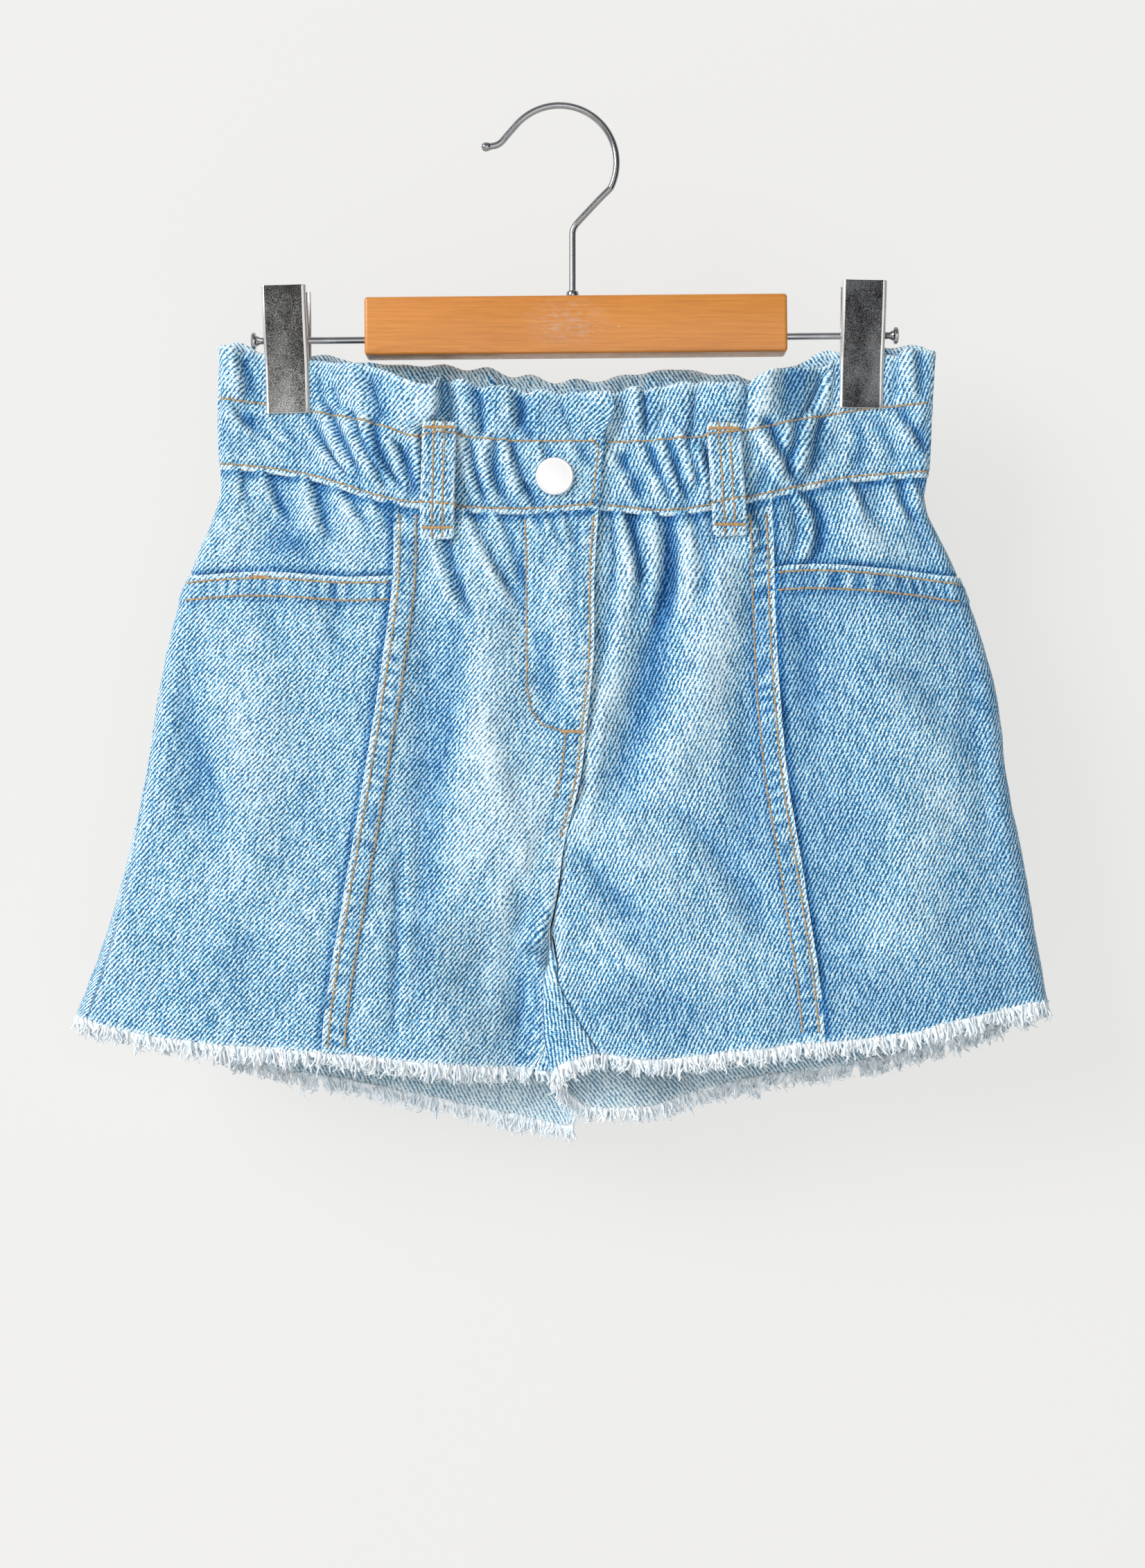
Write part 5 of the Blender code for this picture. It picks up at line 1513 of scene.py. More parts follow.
@dataclass(frozen=True)
class Border:
    """Finish of one edge of a panel."""

    way: Fastening
    width: float = 0      # of a lapped strip
    proud: float = 0      # how far it stands out
    reach: float = 0      # how far the cloth runs past the seam
    sunk: float = 0       # how far the run-on lies in


DIP = Border(Fastening.PLAIN)
CUT = Border(Fastening.RAW)


@dataclass(frozen=True)
class Panel:
    """A piece of cloth between two upright seams, an upper edge and a lower edge."""

    name: str
    side: Side
    start: Seam
    end: Seam
    top: Edge
    low: Edge
    borders: tuple            # of the start, the end, the top and the low edge
    columns: int
    rows: tuple               # count of rows above and below the crotch; (n, 0) without it
    grain: float              # turn of the cloth's grain, degrees
    flat: tuple               # flat width and length, metres
    area: float               # flat area, square metres
    seed: int
    tone: float = 0         # how much darker or paler the panel's colour is made
    facing: float = FRONT
    turned_grain: float = 0   # of the part that comes round the inner fold
    mesh: float = 1.3         # usual width of the grid's cells

    def seams(self, z: Array) -> tuple[Array, Array, Array]:
        """Paths of the first and the last seam, and the way between them."""
        first, last = self.start(float(self.side), z), self.end(float(self.side), z)
        return first, last, np.sign(last - first)

    def trim(self, z: Array, share: Array) -> Array:
        """Path of a point between the seams, with the run-on of each.

        Args:
            z: Height, in millimetres.
            share: Share of the way between the seams.

        Returns:
            The path.
        """
        first, last, way = self.seams(z)
        begin, finish = (-border.reach if border.reach else TUBE.gap / 2
                         for border in self.borders[:2])
        return mix(first + way * begin, last - way * finish, share)

    def edge_heights(self, height: Edge, share: Array, guess: float) -> Array:
        """Height of an edge at each column.

        Args:
            height: The edge.
            share: Each column's share of the way between the seams.
            guess: A height near it.

        Returns:
            The heights.
        """
        z = np.full_like(share, guess)
        side = float(self.side)
        for _round in range(TUBE.edge_rounds):
            x, layer, spread, _outer, _inner = TUBE.ring(side, z, self.trim(z, share))
            z = height(side, x, layer * spread)
        return z

    def shares(self, count: int) -> Array:
        """Places across the grid, with close ones at both ends for the rolled edge.

        Args:
            count: How many even places.

        Returns:
            The places, from 0 to 1.
        """
        close = np.array((0, 0.3, 0.8)) / (count * self.mesh)
        inner = np.linspace(close[-1], 1 - close[-1], count)
        return np.concatenate([close[:-1], inner, 1 - close[:-1][::-1]])

    def grid(self) -> tuple[Array, Array, Array, Array]:
        """Heights, paths, and heights of the upper and lower edges of each column.

        Returns:
            The four arrays.
        """
        share = self.shares(self.columns)
        top = self.edge_heights(self.top, share, TUBE.waist_about) + self.borders[2].reach
        low = self.edge_heights(self.low, share, TUBE.hem_about) - self.borders[3].reach
        upper, lower = self.rows
        if not lower:
            z = mix(top, low, self.shares(upper)[:, None])
        else:
            below = 1 - self.shares(lower)[::-1]
            below = below[below > 0.004]        # the crotch's own row is there already
            z = np.concatenate([mix(top, TUBE.crotch_z, np.linspace(0, 1, upper)[:, None]),
                                mix(TUBE.crotch_z, low, below[:, None])])
        return z, self.trim(z, share), top, low

    def distances(self, z: Array, path: Array, top: Array, low: Array) -> list[Array]:
        """Distance of each point from the four seams; negative on a run-on.

        Args:
            z: Height, in millimetres.
            path: Length of cloth from the outer fold, below 0 on the front.
            top: The upper edge's heights.
            low: The lower edge's heights.

        Returns:
            Distances from the start, the end, the top and the low edge.
        """
        first, last, way = self.seams(z)
        return [way * (path - first), way * (last - path),
                top - self.borders[2].reach - z, z - low - self.borders[3].reach]

    def edge_form(self, gaps: Sequence[Array], runs: Sequence[Array]) -> tuple[Array, Array]:
        """Offset and tone that the seams give: worn pale edges, painted shade in dips, under laps
        and beside strips, and the puckers' painted light and shade.

        Args:
            gaps: Distances from the four seams.
            runs: Places along the four seams.

        Returns:
            The offset and the tone of wear and painted light.
        """
        lift, wear = np.zeros((2, *gaps[0].shape))
        for number, (border, gap, run) in enumerate(zip(self.borders, gaps, runs)):
            if border.way is Fastening.PLAIN:
                lift -= 0.55 * bump(gap, 0.9)
                # painted shade in the seam's dip, paler beside it
                wear += 0.35 * bump(gap - 1.8, 1.3) - 0.5 * bump(gap, 0.8)
            elif border.way is Fastening.UNDER:
                lift -= (border.sunk + 0.15) * (1 - rise(gap, -0.4, 1.6))
                # painted shadow where the cloth runs under its neighbour's edge
                wear -= 0.8 * bump(gap - 0.8, 2)
            elif border.way is Fastening.LAPPED:
                on_strip = 1 - rise(gap, border.width - 0.9, border.width + 0.9)
                lift += border.proud * on_strip
                waver = Ripple(38, self.seed + 17 * number).at(run, gap * 0)
                rope = np.sin(2 * math.pi * (run / 6.8 + gap / 19 + 0.55 * waver))
                window = rise(gap, 1.6, 3.4)
                window = window * (1 - rise(gap, border.width - 2.2, border.width + 1.2))
                uneven = 0.7 + 0.5 * Ripple(26, self.seed + 5).at(run, gap)
                lift += 0.24 * rope * window * uneven
                # painted light and shade on the puckers; the pale fold edge is wear
                wear += window * (0.42 * rope * uneven - 0.16)
                wear += 0.7 * (1 - rise(gap, 0.9, 2.6))
                lift -= 0.28 * bump(gap - 2.9, 0.8) + 0.2 * bump(gap - border.width + 0.3, 0.9)
                # painted shade just past the strip
                wear -= 0.45 * bump(gap - border.width - 1.2, 1.3)
            elif border.way is Fastening.RAW:
                wear += 0.5 * (1 - rise(gap, 0.2, 2.6))
        return lift, wear

    def build(self, palette: Palette) -> Object:
        """Build the panel's wall.

        Args:
            palette: The materials.

        Returns:
            The object.
        """
        side = float(self.side)
        z, path, top, low = self.grid()
        sides = np.full_like(z, side)
        base = TUBE.point(sides, z, path)
        guide = TUBE.normal(sides, z, path)
        x, layer, _spread, from_outer, from_inner = TUBE.ring(side, z, path)
        calm = TUBE.calm(z, from_outer, from_inner)
        fine = relief(layer, FINE_FRONT_FOLDS, FINE_BACK_FOLDS, x, z)
        soft_calm = rise(from_outer, 0, 14) * (1 - rise(z, -176, -160))
        soft = 0.62 * Ripple(42, self.seed).at(path, z) * soft_calm
        soft += 0.13 * Ripple(15, self.seed + 3).at(path, z)
        pleats, pleat_tone = self.pleats(x, z, layer)
        gaps = self.distances(z, path, top, low)
        lift, wear = self.edge_form(gaps, (z, z, path, path))
        seam_calm = rise(np.minimum(gaps[0], gaps[1]), -1, 9)
        form = (fine * calm + pleats) * mix(0.35, 1, seam_calm) + soft
        middle = base + guide * form[..., None]
        normal = grid_normal(middle, guide)
        edge = np.min(gaps, axis=0) + max(border.reach for border in self.borders)
        skin = rolled(edge, 0.8, 0.12)
        half = TUBE.denim / 2
        folds = relief(layer, FRONT_FOLDS, BACK_FOLDS, x, z) * calm
        shown = np.where(layer > 0, BACK_FOLD_LIGHT_SHARE, 1)
        # painted light and shade following the folds' height, partly fading along them, with the
        # gather ends' painted tone
        wear = wear + shown * (0.13 * folds + 0.3 * fine * calm) + pleat_tone
        # random tone, then the painted patches of broad light and shade, partly uneven washing
        wear = wear + 0.06 * Ripple(60, self.seed + 9).at(path, z) + washed(x, z, layer)
        if self.borders[1] is FLY_LAP:
            flap, tone = fly_flap(x, z)
            middle = middle + guide * flap[..., None]
            wear = wear + tone
        across = side * path - self.facing * TUBE.outer_x(side, z)
        shell = Shell(middle, normal, half * skin + lift, half * skin,
                      self.cloth_uv(across, z, self.grain),
                      np.clip(wear + self.tone, -1, 1))
        girth, _fold = TUBE.half_girth(side, np.full_like(z, BACK), z)
        if self.turned_grain:
            shell.turned_uv = self.cloth_uv(x, z, self.turned_grain)
            shell.turned = (path > girth).astype(float)
        outside, inside = (TUBE.keep_apart(middle + normal * out[..., None], side, layer)
                           for out in (shell.out, -shell.into))
        shell.middle = (outside + inside) / 2
        shell.normal = unit(outside - inside)
        shell.out = np.linalg.norm(outside - inside, axis=-1) / 2
        shell.into = shell.out
        return shell.build(self.name, palette.cloth)

    @staticmethod
    def cloth_uv(across: Array, along: Array, grain: float) -> Array:
        """Cloth coordinates, turned to the panel's grain.

        Args:
            across: Place across the piece.
            along: Place up it.
            grain: The turn, in degrees.

        Returns:
            The coordinates, in millimetres.
        """
        turn = math.radians(grain)
        return np.stack([across * math.cos(turn) + along * math.sin(turn),
                         along * math.cos(turn) - across * math.sin(turn)], axis=-1)

    def pleats(self, x: Array, z: Array, layer: Array) -> tuple[Array, Array]:
        """Short ends of the gathers, running on below the waistband: form and tone, which paints
        light on crests and shade in grooves.

        Args:
            x: Place across, in millimetres.
            z: Height, in millimetres.
            layer: Front or back.

        Returns:
            The form and the tone.
        """
        rng = np.random.RandomState(self.seed + 40)
        total, tone = np.zeros((2, *x.shape))
        if self.facing < 0:
            for fold in GATHER_ENDS:
                t = way_down(fold, z)
                form, shade = crease(x - bowed(fold, t), np.maximum(t, 0.12), fold.width,
                                     fold.height)
                total += form
                tone += shade
            return total, tone
        place, end = TUBE.band_ends
        while place < end:
            place += rng.uniform(7.5, 12.5)
            height = rng.uniform(0.9, 2.8)
            length = rng.uniform(16, 66)
            lean = rng.uniform(0.1, 0.42)
            width = rng.uniform(1.7, 2.9)
            drop = waist_edge(0.0, np.full(1, place), layer.reshape(-1)[:1])[0] - z
            off = x - place - lean * drop
            steep = np.where(off < 0, off / (width * 1.7), off / (width * 0.8))
            fade = 1 - rise(drop, length * 0.1, length)
            total += height * fade * (np.exp(-steep ** 2) - 0.5 * bump(off - 1.4 - width, 2.2))
            # painted light on the crest, painted shade in the groove
            tone += 0.3 * height * fade * (bump(off + 0.6, 2) - 1.2 * bump(off - width, 1.7))
        clear = 1 - rise(TUBE.clip_nearness(x, TUBE.band_about, (13, 30)), 0.2, 1)
        return total * clear, tone * clear


UNDER_BAND = Border(Fastening.UNDER, reach=2)
UNDER_STRIP = Border(Fastening.UNDER, reach=2.4, sunk=0.1)
UNDER_HEM = Border(Fastening.UNDER, reach=6, sunk=1.3)
PRINCESS_LAP = Border(Fastening.LAPPED, width=10, proud=0.95)
POCKET_LAP = Border(Fastening.LAPPED, width=11.4, proud=0.8)
FLY_LAP = Border(Fastening.LAPPED, width=7.6, proud=0.45)
CENTRE_LAP = Border(Fastening.LAPPED, width=8, proud=0.7)


def panels() -> list[Panel]:
    """The eight panels of the body.

    Returns:
        The panels.
    """
    made = []
    for right, side in enumerate(Side):
        word = "_" + side.name.lower()
        made += [
            Panel("front_centre" + word, side, princess_seam, partial(inner_seam, FRONT),
                  waist_edge, hem_edge, (PRINCESS_LAP, (FLY_LAP, DIP)[right], UNDER_BAND, CUT),
                  78, (142, 44), (-5.5, 8)[right], (0.125, 0.262), 0.0262, 11 + right,
                  (0.06, -0.06)[right]),
            Panel("pocket_yoke" + word, side, side_seam, princess_seam, waist_edge, pocket_edge,
                  (DIP, UNDER_STRIP, UNDER_BAND, UNDER_HEM), 64, (38, 0), (-10, 13)[right],
                  (0.105, 0.055), 0.0051, 21 + right, (0.03, -0.12)[right]),
            Panel("side_panel" + word, side, side_seam, princess_seam, pocket_edge, hem_edge,
                  (DIP, UNDER_STRIP, POCKET_LAP, CUT), 76, (158, 0), (-9.5, 7.5)[right],
                  (0.118, 0.218), 0.0218, 31 + right, (0, -0.3)[right]),
            Panel("back" + word, side, side_seam, partial(inner_seam, BACK), waist_edge,
                  hem_edge, (DIP, (CENTRE_LAP, DIP)[right], UNDER_BAND, CUT), 132, (118, 52),
                  (6, -6)[right], (0.262, 0.295), 0.0585, 41 + right, -0.05, BACK,
                  (20, 41)[right])]
    return made


# --- waistband

@dataclass(frozen=True)
class Waistband:
    """One piece of the gathered band with its free ruffle."""

    where: str
    length: float
    flat: tuple
    grain: float
    seed: int
    thick: float = 2
    tall: float = 54
    rows: int = 60
    step: float = 0.6
    slant: float = 13
    nominal: float = 200
    buttoned: tuple = (23, 30)
    stitch_low: float = 0.05
    stitch_high: float = 0.585
    ruffle_wave: float = 1.5

    @property
    def name(self) -> str:
        """Name of the piece."""
        return "waistband_" + self.where

    @property
    def facing(self) -> float:
        """Front or back."""
        return BACK if self.where == "back" else FRONT

    def place(self, share: Array, z: Array) -> tuple[Array, Array]:
        """Side and path of a share of the band's length.

        Args:
            share: Share of the length.
            z: Height, in millimetres.

        Returns:
            The side and the path.
        """
        layer = np.full_like(z, self.facing)
        left, right = (TUBE.run_to_centre(float(side), layer, z) for side in Side)
        if self.where == "front_left":
            return -np.ones_like(z), -share * left
        if self.where == "front_right":
            return np.ones_like(z), -share * (right + curve(LAPS, "under", z))
        along = share * (left + right)
        on_right = along > left
        return np.where(on_right, 1, -1), np.where(on_right, left + right - along, along)

    def hand_placed(self, x: Array, height: Array) -> tuple[Array, Array]:
        """The front's gathers: form and tone, which paints light and shade on them.

        Args:
            x: Place across, in millimetres.
            height: Share of the band's height.

        Returns:
            The form and the tone.
        """
        lift, tone = np.zeros((2, *x.shape))
        for row in CASING_GATHERS + RUFFLE_GATHERS:
            if row.top < 0.7:
                row = row._replace(width=1.2 * row.width, height=0.95 * row.height)
            t = (row.top - height) / (row.top - row.low)
            line = bowed(row, np.clip(t, -0.2, 1.2))
            form, shade = crease(x - line, t, row.width, row.height)
            lift += form
            tone += shade
        return lift, tone

    def notches(self, x: Array) -> Array:
        """How far the front's free edge dips where the ruffle's hollows reach it.

        Args:
            x: Place across, in millimetres.

        Returns:
            The dip, in millimetres.
        """
        dip = np.zeros_like(x)
        if self.where != "back":
            for row in RUFFLE_GATHERS:
                if row.top > 0.9:
                    wide = 2.6 if row.height < 0 else 4.5
                    dip -= 0.75 * row.height * bump(x - row.top_x, wide)
        return dip

    def repeated(self, share: Array, height: Array) -> tuple[Array, Array]:
        """The back's gathers, alike but not the same: form and tone, which paints light and shade
        on them.

        Args:
            share: Share of the length.
            height: Share of the band's height.

        Returns:
            The form and the tone.
        """
        leaned = share + (height - 0.5) * self.slant / self.nominal
        along = leaned * self.length + 0.8 * Ripple(30, self.seed + 2).at(
            share * self.length, height * 55)
        rng = np.random.RandomState(self.seed)
        lift, tone = np.zeros((2, *along.shape))
        place = 3
        while place < self.length - 3:
            rows = ((rng.uniform(0.52, 0.64), rng.uniform(0.04, 0.2), rng.uniform(2, 3.2)),
                    (rng.uniform(0.86, 1.04), 0.58, rng.uniform(-2.6, 2)))
            for top, low, tall in rows:
                t = (top - height) / (top - low)
                form, shade = crease(along - place, t, rng.uniform(1.8, 2.6), tall)
                lift += form
                tone += shade
            place += rng.uniform(7, 14)
        return lift, tone

    def form(self, x: Array, share: Array, height: Array) -> tuple[Array, Array]:
        """Gathers' lift and tone at a place x, a share of the length and of the height.

        Args:
            x: Place across, in millimetres.
            share: Share of the length.
            height: Share of the band's height.

        Returns:
            The lift and the tone, which paints light and shade on the gathers and ripples.
        """
        low, high = self.stitch_low, self.stitch_high
        casing = rise(height, low, low + 0.14) * (1 - rise(height, high - 0.15, high))
        ruffle = rise(height, high, high + 0.3)
        lift, tone = (self.repeated(share, height) if self.where == "back"
                      else self.hand_placed(x, height))
        run = share * self.length
        broad = Ripple(24, self.seed + 30).at(run, height * 20)
        lift += self.ruffle_wave * ruffle * broad + 0.7 * casing * broad
        fine = Ripple(8, self.seed + 31).at(run + 18 * height, height * 16)
        near = bump(height - high, 0.1) + bump(height - low, 0.08)
        lift += 0.34 * fine * (casing + 0.4 * ruffle) + 0.5 * near * fine
        # painted light and shade following the ripples' height; the casing a little darker
        wear = tone + 0.1 * broad * ruffle + 0.16 * fine * (casing + near) - 0.1 * casing
        return lift, wear

    def build(self, palette: Palette) -> Object:
        """Build the band piece's wall.

        Args:
            palette: The materials.

        Returns:
            The object.
        """
        columns = int(self.length / self.step)
        ends = TUBE.gap / 2 / self.nominal
        share = np.linspace(ends, 1 - ends, columns)[None, :]
        close = np.array((0, 0.007, 0.016))
        height = np.concatenate([close[:-1], np.linspace(close[-1], 1 - close[-1], self.rows),
                                 1 - close[:-1][::-1]])[:, None]
        share, height = np.broadcast_arrays(share, height)
        z = np.full(share.shape, float(TUBE.band_about))
        rough = Ripple(20, self.seed + 6).at(share * self.length, share * 0)
        rough = rough * (1.9 if self.where == "back" else 0.7)
        for _round in range(10):
            side, path = self.place(share, z)
            x, layer, spread, _outer, _inner = TUBE.ring(side, z, path)
            low = rim_height(WAIST, x, layer * spread) + TUBE.gap / 2
            high = rim_height(RUFFLE, x, layer * spread) + rough - self.notches(x)
            z = mix(low, high, height)
        side, path = self.place(share, z)
        base = TUBE.point(side, z, path)
        guide = TUBE.normal(side, z, path)
        lift, wear = self.form(x, share, height)
        calm = 1 - TUBE.clip_nearness(x, z, TUBE.flat_x)
        calm = calm * mix(0.4, 1, rise(share, 0, 0.02) * (1 - rise(share, 0.98, 1)))
        from_edge = side * (x - TUBE.centre_x(layer, z))
        over = (1 - rise(from_edge, *self.buttoned)) * (layer < 0)
        over = over * (1 - rise(height, self.stitch_high, self.stitch_high + 0.2))
        lift = lift * calm * mix(1, 0.5, over)
        shift, hill, shade = self.tuck(x, height)
        base[..., 0] += shift
        lift = lift + hill
        room = np.maximum(np.abs(base[..., 1]) - self.thick / 2 - TUBE.gap / 2, 0)
        lift = np.maximum(lift, -room)
        if self.where == "front_left":
            end = rise(share, 0.93, 1) * rise(height, 0.5, 0.7)
            lift = lift + 1.3 * end
            base[..., 0] += 3.2 * end * bump(height - 0.84, 0.13)
            base[..., 0] -= 1.2 * end * bump(height - 0.6, 0.06)
        middle = base + guide * lift[..., None]
        normal = grid_normal(middle, guide)
        from_low, from_high = height * self.tall, (1 - height) * self.tall
        half = self.thick / 2 * rolled(np.minimum(from_low, from_high), 1.1, 0.1)
        sewn = 0.35 * bump(height - self.stitch_low, 0.012)
        sewn = sewn + 0.3 * bump(height - self.stitch_high, 0.013)
        out = half * 1.15 - sewn
        # painted light and shade of the gathers and the tuck's painted shadow; pale worn edges; a
        # darker line just above the lower stitching
        wear = wear * mix(0.4, 1, calm) + shade + 0.7 * (1 - rise(from_low, 1, 2.3))
        wear = wear + 0.5 * (1 - rise(from_high, 0.9, 2.4)) - 0.3 * bump(from_low - 3.4, 1)
        wear = wear + 0.12 * Ripple(34, self.seed + 8).at(path, z)
        # the back's ruffle painted paler: painted light where it lies in shade behind the front
        # ruffle and under the bar
        if self.where == "back":
            wear = wear + 0.35 * rise(height, 0.6, 0.75)
        across = side * path - self.facing * TUBE.outer_x(side, z)
        shell = Shell(middle, normal, out, half, Panel.cloth_uv(across, z, self.grain),
                      np.clip(wear, -1, 1))
        return shell.build(self.name, palette.band)

    def tuck(self, x: Array, height: Array) -> tuple[Array, Array, Array]:
        """The large fold of the ruffle beside the left belt loop: shift, lift and tone, the tone
        painting light on the lobe and a shadow under its edge.

        Args:
            x: Place across, in millimetres.
            height: Share of the band's height.

        Returns:
            The shift, the lift and the tone.
        """
        if self.where != "front_left":
            return tuple(np.zeros((3, *x.shape)))
        off = x + 61.5 + 9 * (1 - rise(height, 0.6, 0.8))
        hill = np.where(off < 0, bump(off, 11), bump(off, 6)) * rise(height, 0.6, 0.78)
        under = bump(off - 6.8, 2.4) * rise(height, 0.58, 0.72)
        # painted light on the lobe, painted shadow under its edge
        return 4.2 * hill, 5 * hill, 0.25 * hill - 0.85 * under


BANDS = (
    Waistband("front_left", 175, (0.215, 0.058), -4, 61),
    Waistband("front_right", 160, (0.200, 0.058), 9, 62),
    Waistband("back", 330, (0.395, 0.062), 2, 63, step=0.85),
)


# --- belt loops

@dataclass(frozen=True)
class BeltLoop:
    """A folded strip, sewn at both ends and bowed between them."""

    name: str
    layer: float
    top_x: float
    top_z: float
    low_x: float
    low_z: float
    width: float = 15.3
    run: float = 52
    thick: float = 1.8
    stand: float = 2.4
    casing_wave: float = 1.9
    room: float = 0.3
    front_seam: tuple = (-192, -186)
    back_seam: tuple = (-181, -174)
    stitch_in: float = 4.6
    corner: float = 2.4

    @property
    def flat(self) -> tuple[float, float]:
        """Width and length of what shows of the strip, in metres."""
        return self.width * MM, (self.top_z - self.low_z + 2 * self.stand) * MM

    @property
    def over(self) -> str:
        """The band it is sewn to.

        Returns:
            The band's name.
        """
        if self.layer == BACK:
            return "waistband_back"
        return "waistband_front_left" if self.top_x < 0 else "waistband_front_right"

    def build(self, palette: Palette) -> Object:
        """Build the loop's strip.

        Args:
            palette: The materials.

        Returns:
            The object.
        """
        rows = np.linspace(0, 1, 64)[:, None]
        columns = np.linspace(-0.5, 0.5, 22)[None, :]
        z = mix(self.top_z, self.low_z, rows) + 0 * columns
        z = z + 0.5 * np.sin(columns * 5) * (rows - 0.5)
        end = np.clip(np.minimum(rows, 1 - rows) * self.run / self.corner, 0, 1)
        narrow = 1 - self.corner * 2 / self.width * (1 - np.sqrt(end * (2 - end)))
        x = mix(self.top_x, self.low_x, rows) + columns * self.width * narrow
        side = np.where(x > TUBE.centre_x(np.full_like(z, self.layer), z), 1.0, -1.0)
        base = TUBE.point(side, z, self.layer * TUBE.run_at(side, z, x))
        seam = self.front_seam if self.layer < 0 else self.back_seam
        cloth = mix(TUBE.denim / 2, Waistband.thick / 2 + self.casing_wave + self.room,
                    rise(z, *seam))
        bow = self.stand * np.sin(math.pi * np.clip(rows, 0, 1)) ** 0.5 + 0 * columns
        ripple = 0.22 * np.sin(rows * 19 + columns * 3) + 0.15 * np.sin(rows * 43)
        out = cloth + TUBE.gap + bow + ripple + self.thick / 2
        middle = base + out[..., None] * (0, self.layer, 0)
        normal = grid_normal(middle, np.array((0, self.layer, 0)))
        from_side = (0.5 - np.abs(columns)) * self.width + 0 * rows
        from_end = np.minimum(rows, 1 - rows) * self.run + 0 * columns
        sewn = 0.25 * bump(np.abs(columns) * self.width - self.stitch_in / 2, 0.6)
        rope = np.sin(2 * math.pi * (rows * self.run / 4.6 + np.abs(columns) * 2))
        beside = rise(np.abs(columns) * self.width, 3, 4.4)
        half = self.thick / 2 * rolled(np.minimum(from_side, from_end), 0.9, 0.1)
        # pale worn edges and ends, painted light and shade on the puckers, a darker band a little
        # in from each end
        wear = 0.75 * (1 - rise(from_side, 0.8, 2.2)) + 0.3 * rope * beside
        wear = wear + 0.6 * (1 - rise(from_end, 1, 3)) - 0.4 * bump(from_end - 6, 2)
        shell = Shell(middle, normal, half - sewn + 0.15 * rope * beside, half,
                      Panel.cloth_uv(x, z, 2), np.clip(wear, -1, 1))
        return shell.build(self.name, palette.band)


LOOPS = (
    BeltLoop("belt_loop_left", FRONT, -53.3, -145, -54.6, -197.6),
    BeltLoop("belt_loop_right", FRONT, 73.3, -145.6, 76.5, -196),
    BeltLoop("belt_loop_back", BACK, 7.4, -143.5, 7, -188),
)


# --- sewing

class Surface:
    """The dressed cloth, for laying thread on it from the front or from the back."""

    def __init__(self, pieces: Sequence[Object]) -> None:
        """Take the meshes of the cloth pieces."""
        depsgraph = bpy.context.evaluated_depsgraph_get()
        self.trees = [BVHTree.FromObject(piece, depsgraph) for piece in pieces]

    def hit(self, x: float, z: float, layer: float) -> Optional[tuple[Vector, Vector]]:
        """Nearest cloth on a layer at x, z (millimetres), and the direction out of it.

        Args:
            x: Place across, in millimetres.
            z: Height, in millimetres.
            layer: Front or back.

        Returns:
            The place in metres and the direction, or None off the cloth.
        """
        away = 100
        start = Vector((x, layer * away, z)) * MM
        best = None
        for tree in self.trees:
            place, normal, _index, distance = tree.ray_cast(start, Vector((0, -layer, 0)))
            if place and distance < away * MM and (best is None or distance < best[2]):
                best = (place, normal, distance)
        return best and best[:2]

    def lay(self, line: Sequence[tuple], layer: float, above: float = 0.1,
            spacing: float = 0.75) -> list[tuple[Vector, Vector]]:
        """Lay a line of (x, z) on the cloth.

        Args:
            line: Its corners, in millimetres.
            layer: Front or back.
            above: How far above the cloth it lies.
            spacing: Between its points.

        Returns:
            Points in metres and the directions out of the cloth.
        """
        corners = np.array(line, dtype=float)
        lengths = np.linalg.norm(np.diff(corners, axis=0), axis=1)
        run = np.concatenate([[0], np.cumsum(lengths)])
        places = np.arange(0, run[-1], spacing)
        made = []
        for x, z in zip(*(np.interp(places, run, column) for column in corners.T)):
            found = self.hit(x, z, layer)
            if found:
                place, normal = found
                made.append((place + normal * above * MM, normal))
        return made


def stitch_tree() -> Tree:
    """Geometry nodes: a thread's stitches along edges that carry the direction out.

    Returns:
        The tree.
    """
    g = new_tree("stitch_line", "Geometry", {
        "Line": ("Geometry", None), "Stitch": ("Object", None), "Pitch": ("Float", 0.0029),
        "Turn": ("Float", 0), "Length": ("Float", 1), "Width": ("Float", 1), "Seed": ("Int", 5),
        "Thread": ("Material", None)}, ("Sewing",))
    given = g.node("NodeGroupInput").outputs
    line = g.node("GeometryNodeMeshToCurve", {0: given["Line"]}).outputs[0]
    even = g.node("GeometryNodeResampleCurve", {"Curve": line, "Length": given["Pitch"]},
                  mode="LENGTH").outputs[0]
    tangent = g.node("GeometryNodeInputTangent").outputs[0]
    turn = g.node("FunctionNodeAxesToRotation",
                  {0: g.named("outward", "FLOAT_VECTOR"), 1: tangent},
                  primary_axis="Z", secondary_axis="X").outputs[0]
    wobble = g.node("FunctionNodeRandomValue", {2: -0.09, 3: 0.09, "Seed": given["Seed"]},
                    data_type="FLOAT").outputs[1]
    turn = g.turned(turn, {2: g.add(given["Turn"], wobble)})
    stitch = g.node("GeometryNodeObjectInfo", {"Object": given["Stitch"]}).outputs["Geometry"]
    g.hang(even, stitch, turn, {0: given["Length"], 1: given["Width"], 2: given["Width"]},
           given["Thread"])
    return g.tree


def set_inputs(modifier: bpy.types.Modifier, values: dict) -> None:
    """Set a geometry nodes modifier's inputs by their sockets' identifiers.

    Args:
        modifier: The modifier.
        values: The inputs' values, by name.
    """
    for item in modifier.node_group.interface.items_tree:
        if getattr(item, "in_out", "") == "INPUT" and item.name in values:
            modifier[item.identifier] = values[item.name]


